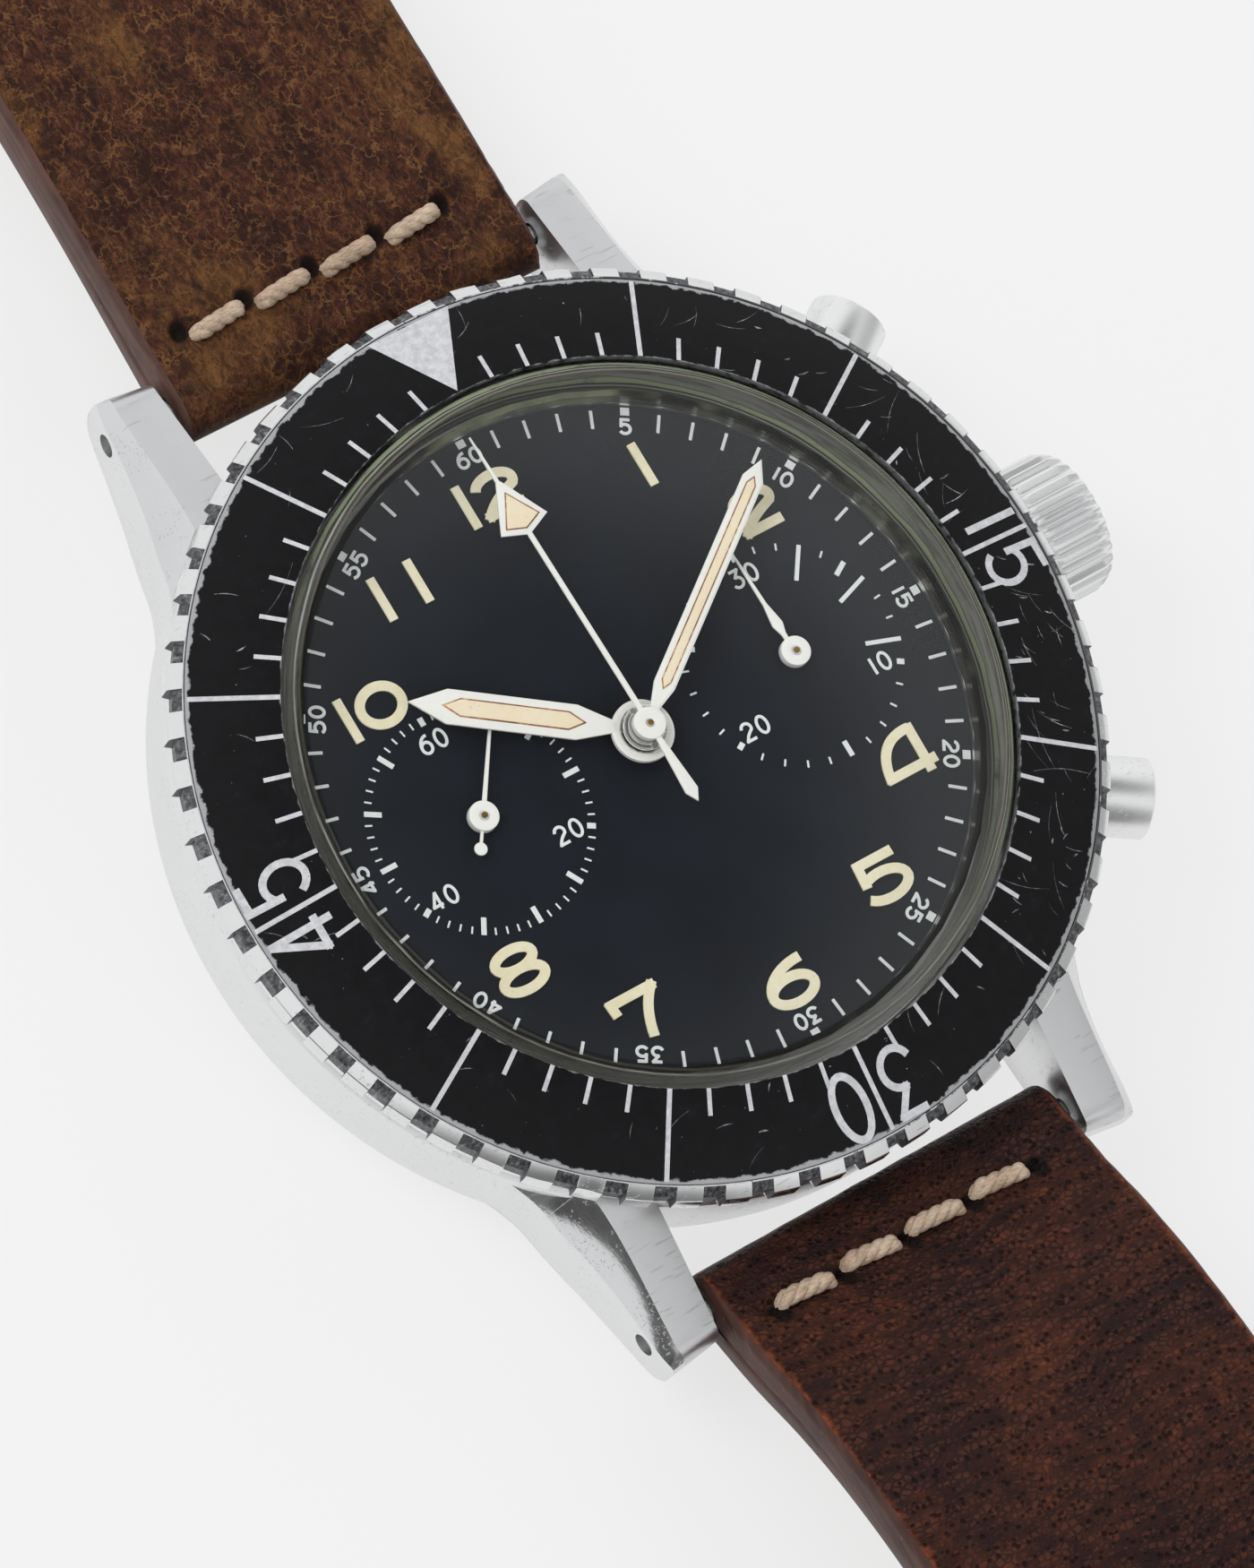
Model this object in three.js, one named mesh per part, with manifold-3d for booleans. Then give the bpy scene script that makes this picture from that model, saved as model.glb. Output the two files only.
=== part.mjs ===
// Chronograph wristwatch: a steel case with a turning bezel, a hand-wound column-wheel movement and a leather strap
// opened out flat. Millimetres, +X to three o'clock, +Y to twelve o'clock, +Z out of the dial, and the origin in the
// middle of the case back's outside, which is the surface that the watch lies on.
import * as THREE from 'three';
import { mergeVertices } from 'three/addons/utils/BufferGeometryUtils.js';
import Module from 'manifold-3d';

const wasm = await Module();
wasm.setup();

// Facets around round shapes, and the steps of curves
const caseFacets = 40;
const minuteMarks = 60;
const wheelFacets = 16;
const pinFacets = 8;
const curveSteps = 3;
const routeSteps = 26;

// Fits: pieces that touch, round pieces that turn, and how far a cut runs past what it cuts
const fit = 0.05;
const running = 0.1;
const overrun = 1;

// Case heights, up from the back
const caseUnder = 2;
const flankLow = 4.4;
const flankHigh = 7.6;
const caseDeck = 8.2;
const neckTop = 10.5;
const crystalSeat = 9.45;
const rehautUnder = 9.05;
const threadTop = 3.7;

// Shares and angles that shape the smaller pieces, each of the size that stands beside it in the call
const tailBellyShare = 0.6;
const leafWideShare = 0.35;
const clutchGrooveShare = 0.17;
const toothHookShare = 0.3;
const palletHubShare = 1.5;
const palletFootShare = 2.2;
const cockFootShare = 1.4;
const recorderFootShare = 3.5;
const barrelSideShare = 0.875;
const innerPillarShare = 0.395;
const trainSideShare = 0.845;
const trainInnerShare = 0.38;
const barrelPillarAngle = 102;
const barrelSideAngle = 50;
const innerPillarAngle = -31;
const trainPillarAngle = 180;
const trainInnerAngle = 138;
const cockFootAngle = -14;
const startPivotAngle = 55.7;
const startPivotShare = 0.914;
const resetPivotAngle = -65.3;
const resetPivotShare = 0.678;
const hammerHeadAngle = -20;
const centreHeadShare = 4.5;
const recorderHeadShare = 6;
const leverHubShare = 2;
const leverArmShare = 1.4;
const couplingHubShare = 2.4;
const couplingRidgeShare = 1.6;
const couplingKneeAngle = 66;
const couplingKneePlace = 6.8;
const couplingRidgeAngle = 88;
const couplingRidgePlace = 8.6;
const couplingTailAngle = 160;
const couplingTailShare = 4;
const tipRoundShare = 0.8;
const buckleRimShare = 1.1;
const buckleNearShare = 0.8;
const tangOverlapShare = 0.9;
const tangEyeShare = 0.8;
const tangRiseShare = 0.1;

// Case radii, each from the one outside it
const caseRadius = 21.05;
const deckBevel = 0.35;
const underInset = 2.65;
const bezelSeatWidth = 2.75;
const neckWall = 1.55;
const seatLedgeWidth = 1.25;
const movementStep = 0.75;
const threadDepth = 0.2;
const deckRadius = caseRadius - deckBevel;
const underRadius = caseRadius - underInset;
const neckRadius = caseRadius - bezelSeatWidth;
const crystalBore = neckRadius - neckWall;
const rehautRadius = crystalBore - seatLedgeWidth;
const movementBore = crystalBore - movementStep;
const threadRadius = movementBore + threadDepth;

// The movement, dial and hands are drawn for this bore, and grow with the one that the case has
const calibreBore = 16;
const growth = movementBore / calibreBore;

// Lugs, measured on one lug and mirrored to the other three
const strapWidth = 20;
const lugGap = 0.1;
const lugReach = 3.95;
const lugTipWidth = 2.65;
const lugRootWidth = 3.6;
const lugRootInset = 7;
const barInset = 1.8;
const lugEndSlant = 0.7;
const lugBlendAngle = 41;
const lugTopRoot = 7.9;
const lugTopTip = 6.4;
const lugUnderTip = 3.2;
const lugTipRound = 0.9;
const lugBevelTip = 0.6;
const lugBevelRoot = 1;
const lugBevelDrop = 3;
const lugBlend = 1.6;
const barHeight = 4.9;
const lugHoleRadius = 0.55;
const lugInside = strapWidth / 2 + lugGap;
const lugLength = caseRadius + lugReach;
const lugTipOutside = lugInside + lugTipWidth;
const lugRootOutside = lugInside + lugRootWidth;
const lugRootPlace = lugLength - lugRootInset;
const barPlace = lugLength - barInset;
const lugBlendX = caseRadius * Math.cos(THREE.MathUtils.degToRad(lugBlendAngle));
const lugBlendY = caseRadius * Math.sin(THREE.MathUtils.degToRad(lugBlendAngle));

// Case back
const backLip = 0.5;
const backSlope = 4.9;
const backRadius = underRadius - backLip;
const backFlat = backRadius - backSlope;
const backEdge = 1.1;
const backWall = 1.2;
const backThreadWall = 0.8;
const backNotches = 6;
const notchWidth = 2.4;
const notchDepth = 1.3;
const notchHeight = 0.9;
const gasketWidth = 0.6;
const gasketInner = threadRadius + 2 * running;
const gasketOuter = gasketInner + gasketWidth;
const gasketHeight = 0.4;

// Bezel ring, its sixty notches, its insert and its spring
const bezelOverhang = 0.55;
const bezelRadius = caseRadius + bezelOverhang;
const bezelUnder = 8.45;
const bezelCollarTop = 8.95;
const bezelFlare = 9.35;
const bezelRim = 10.35;
const bezelNotchDepth = 0.38;
const bezelNotchWidth = 1;
const bezelShelf = 0.45;
const insertRim = 0.7;
const insertOuter = bezelRadius - insertRim;
const insertInner = crystalBore + running;
const insertTop = 11.8;
const insertEdge = 10.75;
const insertThickness = 0.5;
const springWire = 0.2;
const springHeight = 9.55;
const springOpening = 30;
const springSteps = 30;

// Heights over the dial: each hand lies a named gap above the one below it
const dialUnder = 8.6;
const dialThickness = 0.4;
const handThickness = 0.18;
const smallHandThickness = 0.12;
const smallHandGap = 0.45;
const hourHandGap = 0.28;
const minuteHandGap = 0.37;
const chronographHandGap = 0.32;
const smallHandHeight = dialUnder + dialThickness + smallHandGap;
const hourHandHeight = smallHandHeight + smallHandThickness + hourHandGap;
const minuteHandHeight = hourHandHeight + handThickness + minuteHandGap;
const chronographHandHeight = minuteHandHeight + handThickness + chronographHandGap;

// Crystal and its tension ring, with its shoulder set over the highest hand
const crystalRadius = crystalBore - running;
const crystalWall = 0.8;
const crystalHeadroom = 1.2;
const crystalShoulderHeight = 0.55;
const crystalDomeHeight = 1.3;
const crystalShoulder = chronographHandHeight + crystalHeadroom;
const crystalEdge = crystalShoulder - crystalShoulderHeight;
const crystalTop = crystalShoulder + crystalDomeHeight;
const crystalThickness = 1.1;
const crystalShoulderInset = 0.5;
const tensionWidth = 0.28;
const tensionHeight = 0.9;

// Dial and the places of its two sub-dials
const dialRadius = calibreBore - running - fit;
const subDialPlace = 8.44;
const dialCentreHole = 1.3;
const dialSmallHole = 0.45;

// Hands: their outlines from the turning axis out, and how far inside the dial's edge their tips stay
const smallHubRadius = 0.72;
const smallHubHeight = 0.35;
const hourHandInset = 5.15;
const hourHandLength = dialRadius - hourHandInset;
const hourHandWidth = 1.62;
const hourHandNeck = 1.3;
const hourHubRadius = 1.45;
const hourHubHeight = 0.35;
const minuteHandInset = 1.75;
const minuteHandLength = dialRadius - minuteHandInset;
const minuteHandWidth = 1;
const minuteHandNeck = 0.95;
const minuteHubRadius = 1.05;
const minuteHubHeight = 0.35;
const handNeckWidth = 0.5;
const chronographHandInset = 0.85;
const chronographHandLength = dialRadius - chronographHandInset;
const chronographHandWidth = 0.3;
const chronographTailLength = 4.1;
const chronographTailWidth = 0.9;
const chronographHubRadius = 0.75;
const chronographHubHeight = 0.35;
const chronographTipLength = 4.2;
const chronographTipWidth = 1.5;
const secondsHandLength = 4.2;
const secondsTailLength = 1.5;
const smallHandWidth = 0.2;
const counterHandLength = 5;
const counterHandWidth = 0.55;
const counterweightRadius = 0.38;

// Where the hands stand, in degrees clockwise from twelve
const hourHandAngle = 304;
const minuteHandAngle = 54.4;
const chronographHandAngle = 358.8;
const secondsHandAngle = 36;
const counterHandAngle = 358.4;

// Stem, crown and its tube, by how far the stem lies under the main plate's lower face
const plateUnder = 7;
const stemDrop = 1;
const stemHeight = plateUnder - stemDrop;
const crownRadius = 3.45;
const crownGap = 0.15;
const crownLength = 3.75;
const crownInner = bezelRadius + crownGap;
const crownOuter = crownInner + crownLength;
const crownBevel = 0.5;
const crownFlutes = 30;
const facesPerFlute = 4;
const crownFluteDepth = 0.22;
const crownRecess = 1.8;
const crownRecessDepth = 1.65;
const tubeRadius = 1.4;
const tubeBore = 0.75;
const tubeInset = 0.6;
const tubeStandOut = 1.15;
const tubeInner = movementBore + tubeInset;
const tubeOuter = crownInner + tubeStandOut;
const stemRadius = 0.6;
const stemSquare = 0.84;
const stemPilot = 0.35;
const stemInner = 9.3;
const stemPilotLength = 0.7;
const stemSquareLength = 4;
const stemThreadDepth = 0.9;
const windingPinionPlace = 11.9;
const windingPinionLength = 1;
const slidingPinionPlace = 10.35;
const slidingPinionLength = 1.4;
const keylessRadius = 0.92;
const keylessGroove = 0.15;

// Pushers
const pusherAngle = 31.5;
const pusherRadius = 1.85;
const pusherGap = 0.5;
const pusherLength = 2.5;
const pusherInner = bezelRadius + pusherGap;
const pusherOuter = pusherInner + pusherLength;
const pusherBevel = 0.3;
const pusherStemRadius = 0.55;
const pusherBore = 1.3;
const pusherWallWidth = 1.6;
const pusherReach = 0.2;
const pusherWall = movementBore + pusherWallWidth;
const coilRadius = 0.95;
const coilWire = 0.14;
const coilTurns = 4;
const coilSteps = 8;

// Main plate, bridges and cocks, by the heights of their faces
const plateRadius = calibreBore - running;
const plateLipWidth = 0.6;
const plateLipHeight = 0.5;
const bridgeUnder = 4.1;
const bridgeTop = 4.7;
const cockUnder = 3.6;
const cockTop = 4.2;
const chronographBridgeUnder = 2.3;
const chronographBridgeTop = 2.65;
const palletCockUnder = 5.37;
const palletCockTop = 5.5;
const pillarRadius = 1;
const bridgeArm = 1.5;
const pivotHole = 0.3;
const pivotRadius = 0.2;

// Barrel, its arbor, spring and winding wheels
const barrelTeeth = 66;
const centrePinionLeaves = 11;
const barrelModule = 0.174;
const barrelAngle = 50;
const barrelUnder = 4.95;
const barrelTop = 6.4;
const barrelWall = 0.35;
const barrelFlange = 0.35;
const barrelArborRadius = 1.3;
const mainspringThickness = 0.16;
const mainspringTurns = 5;
const mainspringSteps = 12;
const ratchetUnder = 3.75;
const ratchetTop = 4.05;
const ratchetTeeth = 50;
const crownWheelTeeth = 29;
const windingModule = 0.2;
const crownWheelAngle = -22.6;
const crownWheelTop = 4.95;
const crownWheelStud = 0.55;

// Going train
const centreWheelTeeth = 64;
const thirdPinionLeaves = 8;
const centreModule = 0.1438;
const thirdWheelTeeth = 60;
const fourthPinionLeaves = 8;
const thirdModule = 0.125;
const fourthWheelTeeth = 70;
const escapePinionLeaves = 7;
const fourthModule = 0.103;
const centreWheelUnder = 6.55;
const thirdWheelUnder = 5.85;
const fourthWheelUnder = 5.2;
const escapeWheelUnder = 5.6;
const wheelThickness = 0.2;
const pinionLength = 0.45;
const wheelRim = 0.5;
const wheelHub = 0.7;
const spokeWidth = 0.45;
const wheelSpokes = 4;
const escapeTeeth = 15;
const escapeRadius = 2;
const escapeRoot = 1.5;
const escapeAngle = -110;

// Escapement and balance
const leverAngle = -57;
const palletPlace = 2.5;
const balancePlace = 3.4;
const palletSpread = 1.25;
const palletArm = 0.22;
const palletStone = 0.16;
const forkSlot = 0.3;
const forkEnd = 0.35;
const balanceRadius = 4.6;
const balanceRim = 0.5;
const balanceUnder = 4.8;
const balanceTop = 5.25;
const balanceArmWidth = 0.7;
const rollerRadius = 0.8;
const rollerUnder = 5.38;
const rollerTop = 5.53;
const impulsePlace = 0.55;
const impulseRadius = 0.12;
const impulseEnd = 5.78;
const hairspringUnder = 4.35;
const hairspringTop = 4.6;
const hairspringInner = 0.7;
const hairspringOuter = 2.6;
const hairspringThickness = 0.08;
const hairspringTurns = 5;
const hairspringSteps = 10;

// Motion work under the dial
const cannonLeaves = 12;
const minuteWheelTeeth = 36;
const motionModule = 0.12;
const minutePinionLeaves = 10;
const hourWheelTeeth = 40;
const motionUnder = 7.8;
const hourWheelUnder = 8.2;
const motionWheelThickness = 0.25;
const motionAngle = 35;
const motionRecess = 7.7;
const motionSpace = 0.35;
const centreTubeOuter = 0.5;
const centreTubeBore = 0.25;
const cannonTubeOuter = 0.7;
const hourTubeOuter = 1;

// Chronograph work on the back of the bridges
const chronographWheelUnder = 3.25;
const chronographWheelTop = 3.4;
const heartUnder = 2.95;
const heartTop = 3.15;
const heartLow = 0.45;
const heartHigh = 1.15;
const runnerRadius = 3.3;
const runnerTeeth = 60;
const recorderRadius = 2.2;
const recorderTeeth = 30;
const couplingTeeth = 22;
const couplingGap = 0.18;
const couplingMesh = 0.09;
const chronographToothDepth = 0.16;
const arborRadius = 0.15;
const leverUnder = 2.85;
const leverTop = 3.1;
const columnWheelX = 9.9;
const columnWheelY = 6.3;
const columnRadius = 1.3;
const columnCount = 6;
const columnTeeth = 12;
const columnBase = 3.25;
const columnTop = 3.6;
const columnUnder = 2.65;
const leverStudRadius = 0.35;
const tabPlace = 14.5;
const tabThickness = 0.7;
const tabWidth = 1.8;

// Strap: its two halves, stitched folds, holes and tip
const strapThickness = 2.6;
const strapFoldThickness = 3.2;
const strapTopLength = 76;
const strapBottomLength = 118;
const strapNarrowing = 2;
const strapTaper = strapWidth - strapNarrowing;
const strapClearance = 0.4;
const strapTipLength = 14;
const strapHoles = 7;
const strapHoleRadius = 0.9;
const strapHolePitch = 6.5;
const strapHoleStart = 26;
const strapFoldLength = 9;
const strapTopRise = 0.4;
const strapBottomRise = 5.85;
const strapFloor = 0.02;
const springBarRadius = 0.75;
const springBarPin = 0.4;
const springBarShoulder = 0.35;

// Buckle and keepers
const buckleWire = 2;
const buckleWindow = 8.5;
const buckleCorner = 2.5;
const buckleBarRadius = 0.7;
const buckleFoldRadius = 1.7;
const tangWidth = 2;
const tangThickness = 1;
const tangSlot = 3;
const keeperWidth = 5;
const keeperSpace = 0.45;
const keeperWall = 1;
const keeperPlace = 12;
const freeKeeperPlace = 24;
const freeKeeperTravel = 9;

// Colours, read off the photograph
const finish = {
  steel: { color: 0xc9ccce, metalness: 1, roughness: 0.28 },
  polished: { color: 0xd6d8da, metalness: 1, roughness: 0.12 },
  movementSteel: { color: 0xb9bcc0, metalness: 1, roughness: 0.35 },
  plated: { color: 0xc9bda2, metalness: 1, roughness: 0.38 },
  brass: { color: 0xc9a55a, metalness: 1, roughness: 0.35 },
  blued: { color: 0x2c3350, metalness: 1, roughness: 0.3 },
  insert: { color: 0x141416, metalness: 0, roughness: 0.45 },
  dial: { color: 0x15181d, metalness: 0, roughness: 0.7 },
  hand: { color: 0xf0efe8, metalness: 0, roughness: 0.5 },
  crystal: { color: 0xe9efe9, metalness: 0, roughness: 0.05, transparent: true, opacity: 0.3 },
  rubber: { color: 0x1a1a1a, metalness: 0, roughness: 0.8 },
  leather: { color: 0x4a2818, metalness: 0, roughness: 0.6 },
};

const half = Math.PI / 2;
const turn = 2 * Math.PI;
const radians = THREE.MathUtils.degToRad;

// A closed solid from any geometry: corners that meet are joined, flat slivers dropped and the faces turned out
function solidOf(geometry) {
  const bare = new THREE.BufferGeometry();
  const loose = geometry.index ? geometry.toNonIndexed() : geometry;
  bare.setAttribute('position', loose.getAttribute('position').clone());
  const merged = mergeVertices(bare);
  const place = merged.getAttribute('position');
  const corners = [];
  for (let i = 0; i < merged.index.count; i += 3) {
    const [a, b, c] = [merged.index.getX(i), merged.index.getX(i + 1), merged.index.getX(i + 2)];
    if (a !== b && b !== c && c !== a) corners.push(a, b, c);
  }
  const at = (n) => new THREE.Vector3().fromBufferAttribute(place, n);
  let volume = 0;
  for (let i = 0; i < corners.length; i += 3) {
    volume += at(corners[i]).dot(at(corners[i + 1]).cross(at(corners[i + 2])));
  }
  if (volume < 0) corners.reverse();
  return new wasm.Manifold(new wasm.Mesh({
    numProp: 3, vertProperties: new Float32Array(place.array), triVerts: new Uint32Array(corners),
  }));
}

const join = (first, ...others) => others.reduce((sum, other) => sum.add(other), first);
const cut = (first, ...others) => others.reduce((left, other) => left.subtract(other), first);
const meet = (first, ...others) => others.reduce((shared, other) => shared.intersect(other), first);

// Shapes: an outline of [r, z] points turned about Z, a ring, a disc, a rod along X, an outline extruded up
function revolve(points, facets = wheelFacets) {
  const outline = [...points, points[0]].map(([r, z]) => new THREE.Vector2(r, z));
  return solidOf(new THREE.LatheGeometry(outline, facets).rotateX(half));
}

function ring(inner, outer, low, high, facets = wheelFacets) {
  return revolve([[inner, low], [outer, low], [outer, high], [inner, high]], facets);
}

function disc(radius, low, high, facets = wheelFacets, x = 0, y = 0) {
  const cylinder = new THREE.CylinderGeometry(radius, radius, high - low, facets);
  return solidOf(cylinder.rotateX(half).rotateZ(half).translate(x, y, (low + high) / 2));
}

function rodX(radius, from, to, z = 0, facets = pinFacets, y = 0) {
  const cylinder = new THREE.CylinderGeometry(radius, radius, to - from, facets);
  return solidOf(cylinder.rotateZ(half).translate((from + to) / 2, y, z));
}

function box(x0, x1, y0, y1, z0, z1) {
  const block = new THREE.BoxGeometry(x1 - x0, y1 - y0, z1 - z0);
  return solidOf(block.translate((x0 + x1) / 2, (y0 + y1) / 2, (z0 + z1) / 2));
}

const asPoint = ([x, y]) => new THREE.Vector2(x, y);

function prism(points, low, high) {
  const outline = new THREE.Shape(points.map(asPoint));
  const raised = new THREE.ExtrudeGeometry(outline, { depth: high - low, bevelEnabled: false });
  return solidOf(raised.translate(0, 0, low));
}

// The same outline stood on edge, so that its points are [y, z] and it runs along X
function prismX(points, from, to) {
  const outline = new THREE.Shape(points.map(asPoint));
  const raised = new THREE.ExtrudeGeometry(outline, { depth: to - from, bevelEnabled: false });
  return solidOf(raised.rotateX(half).rotateZ(half).translate(from, 0, 0));
}

const bend = (from, control, to, steps = curveSteps) => new THREE.QuadraticBezierCurve(
  new THREE.Vector2(...from), new THREE.Vector2(...control), new THREE.Vector2(...to),
).getPoints(steps).map((p) => [p.x, p.y]);

const arc = (x, y, radius, from, to, steps = curveSteps) => Array.from({ length: steps + 1 }, (_, i) => {
  const a = from + ((to - from) * i) / steps;
  return [x + radius * Math.cos(a), y + radius * Math.sin(a)];
});

// A bar with round ends, from one centre and radius to another, as levers and bridge arms have
function link(x0, y0, r0, x1, y1, r1, low, high) {
  const way = Math.atan2(y1 - y0, x1 - x0);
  const lean = Math.acos((r0 - r1) / Math.hypot(x1 - x0, y1 - y0));
  const points = [
    ...arc(x1, y1, r1, way - lean, way + lean),
    ...arc(x0, y0, r0, way + lean, way + turn - lean),
  ];
  return prism(points, low, high);
}

// Wheels: pointed teeth, narrow pinion leaves, rims on spokes, and arbors made of steps
function toothPoints(teeth, root, tip, spin) {
  return Array.from({ length: 2 * teeth }, (_, i) => {
    const a = (turn * i) / (2 * teeth) + spin;
    const r = i % 2 ? root : tip;
    return [r * Math.cos(a), r * Math.sin(a)];
  });
}

const toothed = (teeth, root, tip, low, high, spin = 0) => (
  prism(toothPoints(teeth, root, tip, spin), low, high)
);

const rootShare = 0.2;
const tipShare = 0.07;
const addendum = 0.75;
const dedendum = 1.25;
const tipOf = (teeth, module) => (module * teeth) / 2 + addendum * module;
const rootOf = (teeth, module) => (module * teeth) / 2 - dedendum * module;

function pinion(leaves, module, low, high, spin = 0) {
  const [root, tip] = [rootOf(leaves, module), tipOf(leaves, module)];
  const points = Array.from({ length: leaves }, (_, i) => {
    const a = (turn * i) / leaves + spin;
    const at = (r, share) => [r * Math.cos(a + turn * share / leaves), r * Math.sin(a + turn * share / leaves)];
    return [at(root, -rootShare), at(tip, -tipShare), at(tip, tipShare), at(root, rootShare)];
  }).flat();
  return prism(points, low, high);
}

function spokedWheel(teeth, module, low, spin = 0) {
  const root = rootOf(teeth, module);
  const outline = new THREE.Shape(toothPoints(teeth, root, tipOf(teeth, module), spin).map(asPoint));
  const [inner, outer] = [wheelHub, root - wheelRim];
  outline.holes = Array.from({ length: wheelSpokes }, (_, i) => {
    const middle = (turn * (i + 0.5)) / wheelSpokes;
    const opening = (r) => turn / wheelSpokes / 2 - Math.asin(spokeWidth / 2 / r);
    const window = [
      ...arc(0, 0, outer, middle - opening(outer), middle + opening(outer)),
      ...arc(0, 0, inner, middle + opening(inner), middle - opening(inner), 1),
    ];
    return new THREE.Path(window.map(asPoint));
  });
  const raised = new THREE.ExtrudeGeometry(outline, { depth: wheelThickness, bevelEnabled: false });
  return solidOf(raised.translate(0, 0, low));
}

// A strip wound in a flat spiral, as the mainspring and the hairspring are
function spiral(inner, outer, turns, stepsPerTurn, thickness, low, high) {
  const steps = Math.round(turns * stepsPerTurn);
  const edge = (shift) => Array.from({ length: steps + 1 }, (_, i) => {
    const a = (turn * turns * i) / steps;
    const r = inner + ((outer - inner) * i) / steps + shift;
    return [r * Math.cos(a), r * Math.sin(a)];
  });
  return prism([...edge(-thickness / 2), ...edge(thickness / 2).reverse()], low, high);
}

// One piece of the watch: its solid as a mesh, at its place in a group
function piece(group, name, solid, look, x = 0, y = 0, z = 0, grown = 1) {
  const mesh = solid.scale([grown, grown, 1]).getMesh();
  const geometry = new THREE.BufferGeometry();
  geometry.setAttribute('position', new THREE.BufferAttribute(mesh.vertProperties, 3));
  geometry.setIndex(new THREE.BufferAttribute(mesh.triVerts, 1));
  geometry.computeVertexNormals();
  const made = new THREE.Mesh(geometry, new THREE.MeshStandardMaterial(finish[look]));
  made.name = name;
  made.position.set(grown * x, grown * y, z);
  group.add(made);
  return made;
}

const calibrePiece = (group, name, solid, look, x = 0, y = 0) => (
  piece(group, name, solid, look, x, y, 0, growth)
);

// Case middle: the round body turned from a bar, with the lugs cut in plan, in side view and along their bevels
function caseBody() {
  const grooveHigh = springHeight + springWire + running;
  const grooveLow = springHeight - springWire - running;
  const grooveFloor = neckRadius - springWire - running;
  return revolve([
    [threadRadius, caseUnder + gasketHeight + fit], [gasketOuter + running, caseUnder + gasketHeight + fit],
    [gasketOuter + running, caseUnder],
    ...bend([underRadius, caseUnder], [caseRadius, caseUnder], [caseRadius, flankLow]),
    [caseRadius, flankHigh], [deckRadius, caseDeck], [neckRadius, caseDeck],
    [neckRadius, grooveLow], [grooveFloor, grooveLow], [grooveFloor, grooveHigh], [neckRadius, grooveHigh],
    [neckRadius, neckTop], [crystalBore, neckTop], [crystalBore, crystalSeat],
    [rehautRadius, crystalSeat], [rehautRadius, rehautUnder],
    [movementBore, rehautUnder], [movementBore, threadTop], [threadRadius, threadTop],
  ], caseFacets);
}

function lug() {
  const rootInside = threadRadius;
  const plan = [
    [lugInside, Math.sqrt(rootInside ** 2 - lugInside ** 2) + overrun],
    ...bend([lugBlendX - overrun, lugBlendY - overrun], [lugBlendX - overrun / 2, lugBlendY - overrun / 2],
      [lugBlendX, lugBlendY], 1),
    ...bend([lugBlendX, lugBlendY], [lugRootOutside + lugBlend / 2, lugRootPlace - lugBlend],
      [lugRootOutside, lugRootPlace]).slice(1),
    [lugTipOutside, lugLength - lugEndSlant / 2],
    [lugTipOutside - lugEndSlant, lugLength],
    [lugInside, lugLength - lugEndSlant],
  ];
  const side = [
    [lugBlendY - 2 * overrun, caseUnder],
    ...bend([lugRootPlace, caseUnder], [barPlace, (caseUnder + lugUnderTip) / 2],
      [lugLength - lugTipRound, lugUnderTip]),
    ...bend([lugLength, lugUnderTip + lugTipRound], [lugLength, lugTopTip - lugTipRound],
      [lugLength - lugTipRound, lugTopTip]),
    ...bend([lugRootPlace, lugTopRoot], [lugRootPlace - lugTipRound, caseDeck], [lugBlendY, caseDeck], 2),
    [lugBlendY - 2 * overrun, caseDeck],
  ];
  const blank = meet(
    prism(plan, caseUnder, caseDeck),
    prismX(side, lugInside - overrun, lugBlendX + overrun),
  );
  return cut(blank, lugBevel());
}

// The polished bevel along a lug's outer edge: a wedge whose face runs from the tip's corner down the root's side
function lugBevel() {
  const tip = [lugLength, lugTopTip];
  const root = [lugRootPlace, lugTopRoot];
  const wide = lugBlendX + overrun;
  const high = caseDeck + overrun;
  const face = ([y, top], width, outside, drop) => [
    [outside - width, y, top], [outside, y, top - drop], [wide, y, top - drop], [wide, y, high],
    [outside - width, y, high],
  ];
  const near = face(root, lugBevelRoot, lugRootOutside, lugBevelDrop);
  const past = face(tip, lugBevelTip, lugTipOutside, lugBevelDrop / 2);
  const stretch = (a, b) => a.map((v, i) => v + (v - b[i]) * overrun);
  const back = near.map((p, i) => stretch(p, past[i]));
  const front = past.map((p, i) => stretch(p, near[i]));
  return loft([back, front]);
}

// A solid through rings of as many points each, closed by a fan at either end
function loft(rings) {
  const points = [];
  const corner = (p) => points.push(...p);
  const sides = rings[0].length;
  for (let r = 1; r < rings.length; r += 1) {
    for (let i = 0; i < sides; i += 1) {
      const j = (i + 1) % sides;
      [rings[r - 1][i], rings[r - 1][j], rings[r][j]].forEach(corner);
      [rings[r - 1][i], rings[r][j], rings[r][i]].forEach(corner);
    }
  }
  const last = rings[rings.length - 1];
  for (let i = 1; i < sides - 1; i += 1) {
    [rings[0][0], rings[0][i + 1], rings[0][i]].forEach(corner);
    [last[0], last[i], last[i + 1]].forEach(corner);
  }
  const geometry = new THREE.BufferGeometry();
  geometry.setAttribute('position', new THREE.Float32BufferAttribute(points, 3));
  return solidOf(geometry);
}

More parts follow.
